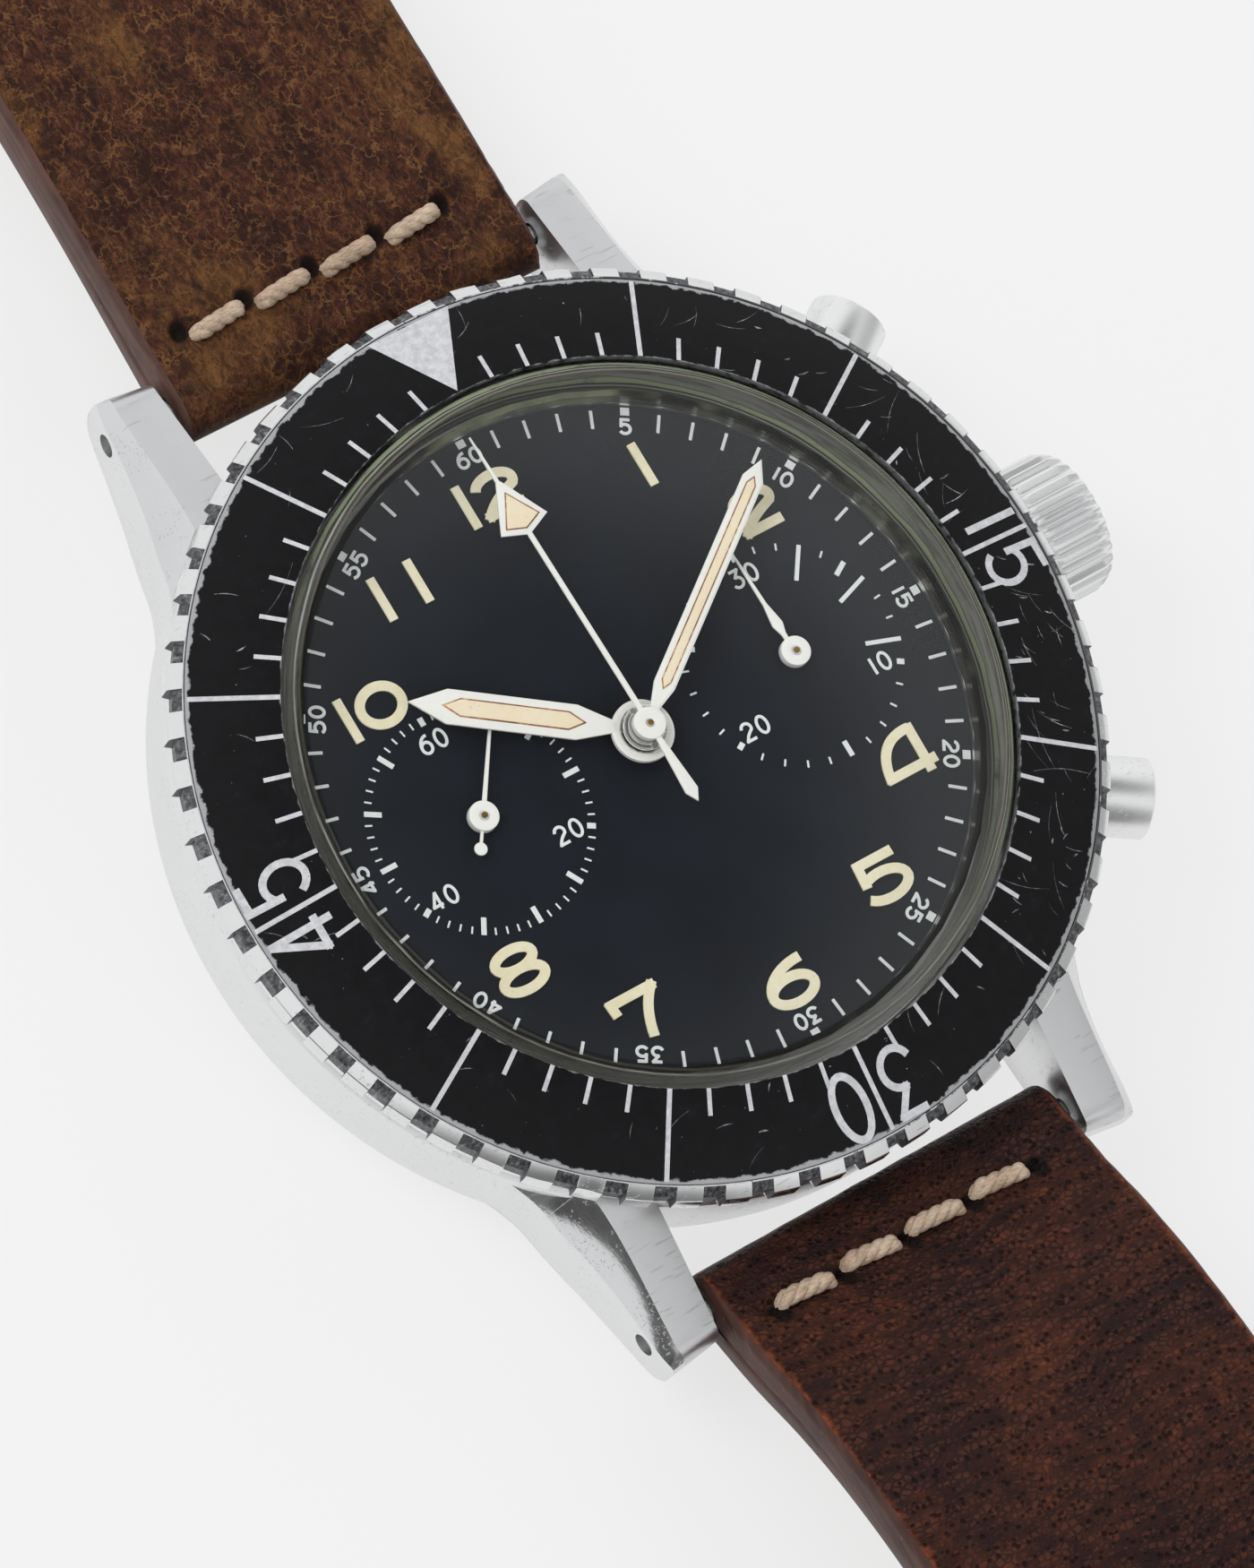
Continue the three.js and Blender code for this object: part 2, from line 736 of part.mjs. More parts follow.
function caseMiddle() {
  const one = lug();
  const lugs = join(one, one.mirror([1, 0, 0]), one.mirror([0, 1, 0]), one.mirror([1, 0, 0]).mirror([0, 1, 0]));
  const inside = disc(threadRadius + overrun / 2, 0, caseDeck + overrun, caseFacets);
  const whole = join(caseBody(), cut(lugs, inside));
  const holes = [-barPlace, barPlace].map(
    (y) => rodX(lugHoleRadius, -lugBlendX, lugBlendX, barHeight, pinFacets, y),
  );
  const tubeHole = tubeRadius + fit;
  const crownHole = rodX(tubeHole, tubeInner - 2 * overrun, caseRadius + overrun, stemHeight, wheelFacets);
  const recess = rodX(tubeRadius + 2 * fit, caseRadius - fit, caseRadius + overrun, stemHeight, wheelFacets);
  const pusherHoles = [pusherAngle, -pusherAngle].map((angle) => join(
    rodX(pusherBore, pusherWall, caseRadius + overrun, 0, wheelFacets),
    rodX(pusherStemRadius + running, movementBore - overrun, pusherWall + overrun, 0, wheelFacets),
  ).rotate([0, 0, angle]).translate([0, 0, stemHeight]));
  return cut(whole, ...holes, crownHole, recess, ...pusherHoles);
}

// Screw-in back: a dished disc with a threaded wall and notches for the case key
function caseBack() {
  const top = caseUnder - fit;
  const boss = threadRadius - fit;
  const body = revolve([
    [0, 0], [backFlat, 0], ...bend([backFlat, 0], [backRadius - backEdge, 0], [backRadius, backEdge]).slice(1),
    [backRadius, top], [boss, top], [boss, threadTop - fit],
    [boss - backThreadWall, threadTop - fit], [boss - backThreadWall, backWall], [0, backWall],
  ], caseFacets);
  const notches = Array.from({ length: backNotches }, (_, i) => box(
    backRadius - notchDepth, backRadius + overrun, -notchWidth / 2, notchWidth / 2, -overrun, notchHeight,
  ).rotate([0, 0, (360 * i) / backNotches]));
  return cut(body, ...notches);
}

// Bezel ring: a hooked section over the case's neck, its edge cut with one notch for each minute
function bezelRing() {
  const inner = neckRadius + running + fit;
  const slope = (r) => insertTop - ((insertTop - insertEdge) * (r - insertInner)) / (insertOuter - insertInner);
  const floor = (r) => slope(r) - insertThickness - fit;
  const pocket = insertOuter + fit;
  const hook = springHeight - springWire - running;
  const body = revolve([
    [inner, bezelUnder], [caseRadius, bezelUnder], [caseRadius, bezelCollarTop], [bezelRadius, bezelFlare],
    [bezelRadius, bezelRim], [pocket + fit, insertEdge],
    [pocket + fit, floor(pocket)], [insertInner, floor(insertInner)],
    [insertInner, floor(insertInner) - bezelShelf], [inner + springWire, floor(insertInner) - bezelShelf],
    [inner + springWire, hook], [inner, hook],
  ], minuteMarks);
  const notches = Array.from({ length: minuteMarks }, (_, i) => box(
    bezelRadius - bezelNotchDepth, bezelRadius + overrun, -bezelNotchWidth / 2, bezelNotchWidth / 2,
    bezelCollarTop, bezelRim + overrun,
  ).rotate([0, 0, (360 * i) / minuteMarks]));
  return cut(body, join(...notches));
}

function bezelInsert() {
  return revolve([
    [insertInner, insertTop - insertThickness], [insertOuter, insertEdge - insertThickness],
    [insertOuter, insertEdge], [insertInner, insertTop],
  ], minuteMarks);
}

// A round wire bent along a path of points
function wire(points, radius, sides, steps) {
  const section = new THREE.Shape(arc(0, 0, radius, 0, turn * (1 - 1 / sides), sides - 1)
    .map(([x, y]) => new THREE.Vector2(x, y)));
  const path = new THREE.CatmullRomCurve3(points);
  return solidOf(new THREE.ExtrudeGeometry(section, { steps, extrudePath: path, bevelEnabled: false }));
}

function bezelSpring() {
  const radius = neckRadius + running / 2;
  const open = radians(springOpening) / 2;
  const points = Array.from({ length: springSteps + 1 }, (_, i) => {
    const a = open + ((turn - 2 * open) * i) / springSteps;
    return new THREE.Vector3(radius * Math.cos(a), radius * Math.sin(a), springHeight);
  });
  return wire(points, springWire, 5, springSteps);
}

// Domed crystal with a skirt that the tension ring holds out against the case
function crystal() {
  const shoulder = crystalRadius - crystalShoulderInset;
  const insideTop = crystalTop - crystalThickness;
  const skirt = crystalRadius - crystalWall;
  const dome = (radius, edge, top) => bend([radius, edge], [radius / 2, top], [0, top], curveSteps + 1);
  return revolve([
    [skirt, crystalSeat], [crystalRadius, crystalSeat], [crystalRadius, crystalEdge],
    ...dome(shoulder, crystalShoulder, crystalTop),
    ...dome(skirt - fit, crystalShoulder - crystalThickness, insideTop).reverse(),
  ], caseFacets);
}

// Dial with its holes
function dial() {
  const top = dialUnder + dialThickness;
  const plate = disc(dialRadius, dialUnder, top, caseFacets);
  const holes = [[0, dialCentreHole], [-subDialPlace, dialSmallHole], [subDialPlace, dialSmallHole]]
    .map(([x, r]) => disc(r, dialUnder - overrun, top + overrun, pinFacets, x));
  return cut(plate, ...holes);
}

// Hands, each drawn along +Y with its hub around the axis
const bladeShares = { hour: [0.185, 0.165], minute: [0.091, 0.075] };

function sword(length, width, neck, hubRadius, bore, low, hubHeight, shares) {
  const [wideShare, pointShare] = shares;
  const point = length * (1 - pointShare);
  const wide = neck + (length - neck) * wideShare;
  const broad = width / 2;
  const narrow = handNeckWidth / 2;
  const outline = [
    [narrow, 0], [narrow, neck], [broad, wide], [broad, point], [0, length],
    [-broad, point], [-broad, wide], [-narrow, neck], [-narrow, 0],
  ];
  const blade = prism(outline, low, low + handThickness);
  const hub = disc(hubRadius, low - hubHeight + handThickness, low + handThickness);
  return cut(join(blade, hub), disc(bore, low - overrun, low + overrun));
}

function chronographHand() {
  const low = chronographHandHeight;
  const half = chronographHandWidth / 2;
  const tipWide = chronographTipWidth / 2;
  const kite = chronographHandLength - chronographTipLength;
  const tail = chronographTailLength;
  const outline = [
    [half, 0], [half, kite], [tipWide, kite], [half, kite + chronographTipLength / 2], [0, chronographHandLength],
    [-half, kite + chronographTipLength / 2], [-tipWide, kite], [-half, kite], [-half, 0],
    [-half, -chronographHubRadius], [-chronographTailWidth / 2, -tail * tailBellyShare], [0, -tail],
    [chronographTailWidth / 2, -tail * tailBellyShare], [half, -chronographHubRadius],
  ];
  const blade = prism(outline, low, low + smallHandThickness);
  const hubLow = low + smallHandThickness - chronographHubHeight;
  const hub = disc(chronographHubRadius, hubLow, low + 2 * smallHandThickness);
  return cut(join(blade, hub), disc(arborRadius + fit, low - overrun, low + overrun, pinFacets));
}

function smallHand(outline, extra) {
  const low = smallHandHeight;
  const blade = prism(outline, low, low + smallHandThickness);
  const hub = disc(smallHubRadius, low + smallHandThickness - smallHubHeight, low + 2 * smallHandThickness);
  return cut(join(blade, hub, ...extra), disc(arborRadius + fit, low - overrun, low + overrun, pinFacets));
}

function secondsHand() {
  const half = smallHandWidth / 2;
  const blade = [[half, -secondsTailLength], [half / 2, secondsHandLength], [-half / 2, secondsHandLength],
    [-half, -secondsTailLength]];
  const weight = disc(counterweightRadius, smallHandHeight, smallHandHeight + smallHandThickness, pinFacets, 0,
    -secondsTailLength);
  return smallHand(blade, [weight]);
}

function counterHand() {
  const half = counterHandWidth / 2;
  const blade = [[half / 2, 0], [half, counterHandLength * leafWideShare], [0, counterHandLength],
    [-half, counterHandLength * leafWideShare], [-half / 2, 0]];
  return smallHand(blade, []);
}

// Crown, its tube, its stem and the two pinions on the stem, all along +X at the stem's height
function crown() {
  const fluted = new THREE.Shape(Array.from({ length: facesPerFlute * crownFlutes }, (_, i) => {
    const a = (turn * (i + 0.5 * (i % 2))) / (facesPerFlute * crownFlutes);
    const r = i % facesPerFlute < facesPerFlute / 2 ? crownRadius : crownRadius - crownFluteDepth;
    return new THREE.Vector2(r * Math.cos(a), r * Math.sin(a));
  }));
  const length = crownOuter - crownInner;
  const blank = new THREE.ExtrudeGeometry(fluted, { depth: length, bevelEnabled: false });
  const body = solidOf(blank.rotateY(half).translate(crownInner, 0, 0));
  const turned = revolve([
    [0, crownInner], [crownRadius - crownBevel, crownInner], [crownRadius + fit, crownInner + crownBevel],
    [crownRadius + fit, crownOuter - crownBevel], [crownRadius - crownBevel, crownOuter], [0, crownOuter],
  ]).rotate([0, 90, 0]);
  return cut(
    meet(body, turned),
    rodX(crownRecess, crownInner - overrun, crownInner + crownRecessDepth, 0, wheelFacets),
    rodX(stemRadius + fit, crownInner, crownInner + crownRecessDepth + stemThreadDepth + fit),
  );
}

function crownTube() {
  return cut(
    rodX(tubeRadius, tubeInner, tubeOuter, 0, wheelFacets),
    rodX(tubeBore, tubeInner - overrun, tubeOuter + overrun, 0, wheelFacets),
  );
}

function windingStem() {
  const squareStart = growth * (stemInner + stemPilotLength);
  const squareEnd = growth * (stemInner + stemPilotLength + stemSquareLength);
  const square = stemSquare / 2;
  return join(
    rodX(stemPilot, growth * stemInner, squareEnd),
    box(squareStart, squareEnd, -square, square, -square, square),
    rodX(stemRadius, squareEnd - stemPilotLength, crownInner + crownRecessDepth + stemThreadDepth),
  );
}

function keylessPinion(place, length, grooved) {
  const from = growth * place;
  const to = from + growth * length;
  const body = cut(rodX(keylessRadius, from, to), rodX(stemRadius + fit, from - overrun, to + overrun));
  if (!grooved) return body;
  const middle = (from + to) / 2;
  const groove = cut(
    rodX(keylessRadius + overrun, middle - length * clutchGrooveShare, middle + length * clutchGrooveShare),
    rodX(keylessRadius - keylessGroove, from, to),
  );
  return cut(body, groove);
}

// Pushers slide in the case's flank on a coil spring, their stems reaching the levers of the movement
function pusher() {
  const cap = revolve([
    [0, pusherInner], [pusherRadius, pusherInner], [pusherRadius, pusherOuter - pusherBevel],
    [pusherRadius - pusherBevel, pusherOuter], [0, pusherOuter],
  ]).rotate([0, 90, 0]);
  const neck = rodX(pusherBore - running, caseRadius - overrun, pusherInner + pusherBevel, 0, wheelFacets);
  const stem = rodX(pusherStemRadius, growth * (tabPlace + tabThickness / 2) + pusherReach, pusherInner);
  return join(cap, neck, stem);
}

function pusherSpring() {
  const from = pusherWall + coilWire + fit;
  const to = caseRadius - overrun - coilWire - fit;
  const points = Array.from({ length: coilTurns * coilSteps + 1 }, (_, i) => {
    const a = (turn * i) / coilSteps;
    const x = from + ((to - from) * i) / (coilTurns * coilSteps);
    return new THREE.Vector3(x, coilRadius * Math.cos(a), coilRadius * Math.sin(a));
  });
  return wire(points, coilWire, 4, coilTurns * coilSteps);
}

// Places of the wheels: each pair stands where its pitch circles meet
const dir = (degrees) => [Math.cos(radians(degrees)), Math.sin(radians(degrees))];
const from = ([x, y], [dx, dy], distance) => [x + dx * distance, y + dy * distance];
const spacing = (teeth, leaves, module) => ((teeth + leaves) * module) / 2;

const centre = [0, 0];
const fourthAt = [-subDialPlace, 0];
const recorderAt = [subDialPlace, 0];
const barrelAt = from(centre, dir(barrelAngle), spacing(barrelTeeth, centrePinionLeaves, barrelModule));
const centreToThird = spacing(centreWheelTeeth, thirdPinionLeaves, centreModule);
const thirdToFourth = spacing(thirdWheelTeeth, fourthPinionLeaves, thirdModule);
const thirdAt = crossing(fourthAt, thirdToFourth, centre, centreToThird);
const escapeAt = from(fourthAt, dir(escapeAngle), spacing(fourthWheelTeeth, escapePinionLeaves, fourthModule));
const palletAt = from(escapeAt, dir(leverAngle), palletPlace);
const balanceAt = from(palletAt, dir(leverAngle), balancePlace);
const crownWheelAt = from(barrelAt, dir(crownWheelAngle), spacing(ratchetTeeth, crownWheelTeeth, windingModule));
const motionAt = from(centre, dir(motionAngle), spacing(cannonLeaves, minuteWheelTeeth, motionModule));
const couplingRadius = (runnerRadius * couplingTeeth) / runnerTeeth;
const couplingReach = runnerRadius + couplingRadius;
const couplingAt = crossing(centre, couplingReach + couplingGap, fourthAt, couplingReach - couplingMesh);
const columnAt = [columnWheelX, columnWheelY];

// The point at one distance from a and another from b, on the left of the way from a to b
function crossing([ax, ay], fromA, [bx, by], fromB) {
  const gap = Math.hypot(bx - ax, by - ay);
  const along = (gap ** 2 + fromA ** 2 - fromB ** 2) / (2 * gap);
  const off = Math.sqrt(fromA ** 2 - along ** 2);
  const [ux, uy] = [(bx - ax) / gap, (by - ay) / gap];
  return [ax + ux * along + uy * off, ay + uy * along - ux * off];
}

// How far a wheel is turned so that a space of it meets the tooth of the wheel that stands at the given place
function meshSpin([x, y], [ox, oy], teeth, otherTeeth, otherSpin) {
  const way = Math.atan2(oy - y, ox - x);
  const otherWay = way + Math.PI;
  const phase = (((otherWay - otherSpin) * otherTeeth) / turn) % 1;
  return way + ((0.5 + phase) * turn) / teeth;
}

const centreSpin = meshSpin(centre, barrelAt, centrePinionLeaves, barrelTeeth, 0);
const thirdPinionSpin = meshSpin(thirdAt, centre, thirdPinionLeaves, centreWheelTeeth, 0);
const fourthPinionSpin = meshSpin(fourthAt, thirdAt, fourthPinionLeaves, thirdWheelTeeth, 0);
const escapePinionSpin = meshSpin(escapeAt, fourthAt, escapePinionLeaves, fourthWheelTeeth, 0);
const ratchetSpin = meshSpin(barrelAt, crownWheelAt, ratchetTeeth, crownWheelTeeth, 0);
const minuteWheelSpin = meshSpin(motionAt, centre, minuteWheelTeeth, cannonLeaves, 0);
const hourWheelSpin = meshSpin(centre, motionAt, hourWheelTeeth, minutePinionLeaves, 0);
const couplingSpin = meshSpin(couplingAt, fourthAt, couplingTeeth, runnerTeeth, 0);

// Barrel: an open drum with the toothed rim at its back edge
function barrel() {
  const root = rootOf(barrelTeeth, barrelModule);
  return cut(
    join(
      toothed(barrelTeeth, root, tipOf(barrelTeeth, barrelModule), barrelUnder, barrelUnder + barrelFlange),
      disc(root - barrelWall, barrelUnder, barrelTop),
    ),
    disc(root - 2 * barrelWall, barrelUnder - overrun, barrelTop - barrelWall),
    disc(barrelArborRadius / 2 + running, barrelUnder, barrelTop + overrun, pinFacets),
  );
}

function mainspring() {
  const outer = rootOf(barrelTeeth, barrelModule) - 2 * barrelWall - mainspringThickness - fit;
  const inner = barrelArborRadius + mainspringThickness + fit;
  return spiral(inner, outer, mainspringTurns, mainspringSteps, mainspringThickness,
    barrelUnder + fit, barrelTop - barrelWall - fit);
}

function barrelArbor() {
  return join(
    disc(barrelArborRadius / 2, ratchetUnder, plateUnder + barrelWall, pinFacets),
    disc(barrelArborRadius, barrelUnder, barrelTop - barrelWall - fit),
  );
}

function ratchetWheel() {
  const module = windingModule;
  return cut(
    toothed(ratchetTeeth, rootOf(ratchetTeeth, module), tipOf(ratchetTeeth, module), ratchetUnder, ratchetTop,
      ratchetSpin),
    disc(barrelArborRadius / 2 + fit, ratchetUnder - overrun, ratchetTop + overrun, pinFacets),
  );
}

function crownWheel() {
  return cut(
    toothed(crownWheelTeeth, rootOf(crownWheelTeeth, windingModule), tipOf(crownWheelTeeth, windingModule),
      ratchetUnder, crownWheelTop),
    disc(crownWheelStud + running, ratchetUnder - overrun, crownWheelTop + overrun, pinFacets),
  );
}

// Train wheels, each a spoked wheel and a pinion on one arbor
function centreWheel() {
  const tubeTop = minuteHandHeight;
  return cut(
    join(
      spokedWheel(centreWheelTeeth, centreModule, centreWheelUnder),
      pinion(centrePinionLeaves, barrelModule, barrelUnder - fit, barrelUnder + pinionLength, centreSpin),
      disc(centreTubeOuter, bridgeUnder, tubeTop, pinFacets),
    ),
    disc(centreTubeBore, 0, tubeTop + overrun, pinFacets),
  );
}

function thirdWheel() {
  return join(
    spokedWheel(thirdWheelTeeth, thirdModule, thirdWheelUnder),
    pinion(thirdPinionLeaves, centreModule, centreWheelUnder - running, centreWheelUnder + wheelThickness + running,
      thirdPinionSpin),
    disc(pivotRadius, bridgeUnder, plateUnder + pinionLength, pinFacets),
  );
}

function fourthWheel() {
  const top = smallHandHeight + smallHubHeight;
  return join(
    spokedWheel(fourthWheelTeeth, fourthModule, fourthWheelUnder),
    pinion(fourthPinionLeaves, thirdModule, thirdWheelUnder - running, thirdWheelUnder + wheelThickness + running,
      fourthPinionSpin),
    toothed(runnerTeeth, runnerRadius - chronographToothDepth, runnerRadius,
      chronographWheelUnder, chronographWheelTop),
    disc(pivotRadius, chronographWheelUnder, plateUnder + pinionLength, pinFacets),
    disc(arborRadius, plateUnder, top, pinFacets),
  );
}

function escapeWheel() {
  const low = escapeWheelUnder;
  const hook = toothHookShare;
  const teeth = Array.from({ length: escapeTeeth }, (_, i) => {
    const angle = (share) => (turn * (i + share)) / escapeTeeth;
    const at = (r, share) => [r * Math.cos(angle(share)), r * Math.sin(angle(share))];
    return [at(escapeRoot, 0), at(escapeRadius, hook), at(escapeRadius - palletStone, hook + hook / 2),
      at(escapeRoot, hook + hook / 3)];
  }).flat();
  return join(
    prism(teeth, low, low + wheelThickness),
    pinion(escapePinionLeaves, fourthModule, fourthWheelUnder - running, fourthWheelUnder + wheelThickness + running,
      escapePinionSpin),
    disc(pivotRadius, bridgeUnder, plateUnder + pinionLength, pinFacets),
  );
}

// Pallet fork, lying along +X from its pivot to the balance
function palletFork() {
  const low = escapeWheelUnder;
  const high = low + wheelThickness;
  const forkTip = balancePlace - forkSlot - fit;
  const stem = link(0, 0, palletArm * palletHubShare, forkTip - forkEnd, 0, palletArm, low, high);
  const arms = link(-palletArm, -palletSpread, palletArm, -palletArm, palletSpread, palletArm, low, high);
  const fork = box(forkTip - 2 * forkEnd, forkTip, -forkEnd, forkEnd, low, high);
  const slot = box(forkTip - forkEnd, forkTip + overrun, -forkSlot / 2, forkSlot / 2, low - overrun, high + overrun);
  const stones = [-palletSpread, palletSpread].map((y) => box(
    -palletArm - palletSpread / 2, 0, y - palletStone / 2, y + palletStone / 2, low, high,
  ));
  const staff = disc(pivotRadius, palletCockUnder, plateUnder + pinionLength, pinFacets);
  return join(cut(join(stem, arms, fork), slot), ...stones, staff);
}

// Balance: a rim on two arms, its staff and the roller whose pin drives the fork
function balanceWheel() {
  const rim = ring(balanceRadius - balanceRim, balanceRadius, balanceUnder, balanceTop);
  const arm = new THREE.BoxGeometry(2 * balanceRadius - balanceRim, balanceArmWidth, wheelThickness);
  return join(
    rim,
    solidOf(arm.rotateZ(radians(leverAngle) + half).translate(0, 0, (balanceUnder + balanceTop) / 2)),
    disc(wheelHub / 2, hairspringUnder, rollerTop, pinFacets),
    disc(rollerRadius, rollerUnder, rollerTop, pinFacets),
    disc(pivotRadius, cockUnder, plateUnder + pinionLength, pinFacets),
    disc(impulseRadius, rollerUnder, impulseEnd, 6, ...from(centre, dir(leverAngle + 180), impulsePlace)),
  );
}

function hairspring() {
  return spiral(hairspringInner, hairspringOuter, hairspringTurns, hairspringSteps, hairspringThickness, hairspringUnder,
    hairspringTop);
}

// Motion work: the cannon pinion carries the minute hand and turns the hour wheel through the minute wheel
function cannonPinion() {
  return cut(
    join(
      pinion(cannonLeaves, motionModule, motionUnder, motionUnder + motionWheelThickness),
      disc(cannonTubeOuter, motionUnder, minuteHandHeight + handThickness),
    ),
    disc(centreTubeOuter + fit, 0, minuteHandHeight + overrun, pinFacets),
  );
}

function minuteWheel() {
  const top = motionUnder + motionWheelThickness;
  const hourModule = (motionModule * (cannonLeaves + minuteWheelTeeth)) / (minutePinionLeaves + hourWheelTeeth);
  return join(
    toothed(minuteWheelTeeth, rootOf(minuteWheelTeeth, motionModule), tipOf(minuteWheelTeeth, motionModule),
      motionUnder, top, minuteWheelSpin),
    pinion(minutePinionLeaves, hourModule, top, dialUnder - running),
    disc(pivotRadius, plateUnder + pinionLength, top, pinFacets),
  );
}

function hourWheel() {
  const module = (motionModule * (cannonLeaves + minuteWheelTeeth)) / (minutePinionLeaves + hourWheelTeeth);
  return cut(
    join(
      toothed(hourWheelTeeth, rootOf(hourWheelTeeth, module), tipOf(hourWheelTeeth, module), hourWheelUnder,
        hourWheelUnder + motionWheelThickness, hourWheelSpin),
      disc(hourTubeOuter, hourWheelUnder, hourHandHeight + handThickness),
    ),
    disc(cannonTubeOuter + running, 0, hourHandHeight + overrun),
  );
}

// Main plate with the recess of the motion work, the pivot holes and the slot of the stem
function mainPlate() {
  const low = plateUnder - overrun;
  const high = dialUnder + overrun;
  const top = dialUnder - fit;
  const hourReach = tipOf(minuteWheelTeeth, motionModule) + motionSpace;
  const holes = [thirdAt, escapeAt, palletAt, balanceAt]
    .map(([x, y]) => disc(pivotHole, low, plateUnder + pinionLength + running, pinFacets, x, y));
  const through = [fourthAt, recorderAt].map(([x, y]) => disc(pivotHole, low, high, pinFacets, x, y));
  return cut(
    join(
      disc(plateRadius - plateLipWidth, plateUnder, top, caseFacets),
      disc(plateRadius, top - plateLipHeight, top, caseFacets),
      disc(crownWheelStud, ratchetUnder, plateUnder + overrun, pinFacets, ...crownWheelAt),
    ),
    disc(hourReach + motionSpace, motionRecess, high),
    disc(hourReach, motionRecess, high, wheelFacets, ...motionAt),
    disc(pivotHole, plateUnder + pinionLength - running, high, pinFacets, ...motionAt),
    disc(centreTubeOuter + running, low, high, pinFacets),
    disc(barrelArborRadius / 2 + running, low, plateUnder + 2 * barrelWall, pinFacets, ...barrelAt),
    ...holes,
    ...through,
  );
}

// Bridges: arms between their pillars and the pivots that they hold
const pillar = ([x, y], low) => disc(pillarRadius, low, plateUnder, pinFacets, x, y);
const arm = ([x0, y0], [x1, y1], low, high, r0 = bridgeArm, r1 = pillarRadius) => (
  link(x0, y0, r0, x1, y1, r1, low, high)
);
const bridgeHole = ([x, y], low, high, r = pivotHole) => (
  disc(r, low - overrun, high + overrun, pinFacets, x, y)
);

const edgeShare = 0.9;
const onEdge = (degrees, share = edgeShare) => from(centre, dir(degrees), plateRadius * share);
const barrelPillars = [onEdge(barrelPillarAngle), onEdge(barrelSideAngle, barrelSideShare)];
const innerPillar = from(centre, dir(innerPillarAngle), plateRadius * innerPillarShare);
const trainPillars = [
  onEdge(trainPillarAngle, trainSideShare), from(centre, dir(trainInnerAngle), plateRadius * trainInnerShare),
];

function barrelBridge() {
  const [first, second] = barrelPillars;
  const body = join(
    disc(2 * barrelArborRadius + bridgeArm, bridgeUnder, bridgeTop, wheelFacets, ...barrelAt),
    arm(barrelAt, first, bridgeUnder, bridgeTop, 2 * bridgeArm),
    arm(barrelAt, second, bridgeUnder, bridgeTop, 2 * bridgeArm),
    arm(barrelAt, centre, bridgeUnder, bridgeTop, 2 * bridgeArm, bridgeArm),
    arm(centre, innerPillar, bridgeUnder, bridgeTop),
    arm(barrelAt, columnAt, bridgeUnder, bridgeTop, 2 * bridgeArm),
    pillar(first, bridgeUnder), pillar(second, bridgeUnder), pillar(innerPillar, bridgeUnder),
  );
  const stud = disc(leverStudRadius, columnBase, bridgeUnder, pinFacets, ...columnAt);
  return cut(
    join(body, stud),
    bridgeHole(centre, bridgeUnder, bridgeTop, centreTubeOuter + running),
    bridgeHole(barrelAt, bridgeUnder, bridgeTop, barrelArborRadius / 2 + running),
    bridgeHole(crownWheelAt, bridgeUnder, bridgeTop, tipOf(crownWheelTeeth, windingModule) + running),
  );
}

function trainBridge() {
  const [first, second] = trainPillars;
  const body = join(
    arm(fourthAt, first, bridgeUnder, bridgeTop),
    arm(fourthAt, second, bridgeUnder, bridgeTop),
    arm(fourthAt, thirdAt, bridgeUnder, bridgeTop),
    arm(fourthAt, escapeAt, bridgeUnder, bridgeTop),
    pillar(first, bridgeUnder), pillar(second, bridgeUnder),
  );
  return cut(body, ...[fourthAt, thirdAt, escapeAt].map((at) => bridgeHole(at, bridgeUnder, bridgeTop)));
}

const cockFoot = from(balanceAt, dir(cockFootAngle), balanceRadius + cockFootShare * pillarRadius + running);

function balanceCock() {
  const [x, y] = cockFoot;
  const body = join(
    arm(balanceAt, cockFoot, cockUnder, cockTop),
    disc(pillarRadius, cockUnder, plateUnder, pinFacets, x, y),
  );
  return cut(body, bridgeHole(balanceAt, cockUnder, cockTop));
}

const palletFoot = from(palletAt, dir(leverAngle - 90), palletFootShare * palletSpread);

function palletCock() {
  const [x, y] = palletFoot;
  const body = join(
    link(...palletAt, pillarRadius / 2, x, y, pillarRadius / 2, palletCockUnder, palletCockTop),
    disc(pillarRadius / 2, palletCockUnder, plateUnder, pinFacets, x, y),
  );
  return cut(body, bridgeHole(palletAt, palletCockUnder, palletCockTop));
}

const recorderPillar = from(recorderAt, dir(innerPillarAngle), recorderRadius + recorderFootShare * pillarRadius);

function chronographBridge() {
  const [low, high] = [chronographBridgeUnder, chronographBridgeTop];
  const body = join(
    arm(centre, innerPillar, low, high, pillarRadius),
    arm(innerPillar, recorderAt, low, high, pillarRadius),
    arm(recorderAt, recorderPillar, low, high, pillarRadius),
    disc(pillarRadius, low, bridgeUnder, pinFacets, ...innerPillar),
    disc(pillarRadius, low, plateUnder, pinFacets, ...recorderPillar),
  );
  const holes = [centre, recorderAt].map((place) => bridgeHole(place, low, high, arborRadius + fit));
  return cut(body, ...holes);
}

// Heart cam: its radius grows evenly from the low side to the point on the other side
function heart() {
  const steps = 16;
  const points = Array.from({ length: steps }, (_, i) => {
    const share = Math.abs(1 - (2 * i) / steps);
    const r = heartHigh - (heartHigh - heartLow) * share;
    const a = (turn * i) / steps;
    return [r * Math.cos(a), r * Math.sin(a)];
  });
  return prism(points, heartUnder, heartTop);
}

function recorderWheel(teeth, radius, top) {
  return join(
    toothed(teeth, radius - chronographToothDepth, radius, chronographWheelUnder, chronographWheelTop),
    heart(),
    disc(arborRadius * 2, heartTop - fit, chronographWheelUnder + fit, pinFacets),
    disc(arborRadius, chronographBridgeUnder + fit, top, pinFacets),
  );
}

// Coupling lever, hung on the fourth wheel's axis, with the coupling wheel that it swings against the runner
const couplingStudTop = chronographWheelTop + running;
const couplingTail = from(columnAt, dir(couplingTailAngle), columnRadius + couplingTailShare * leverStudRadius);

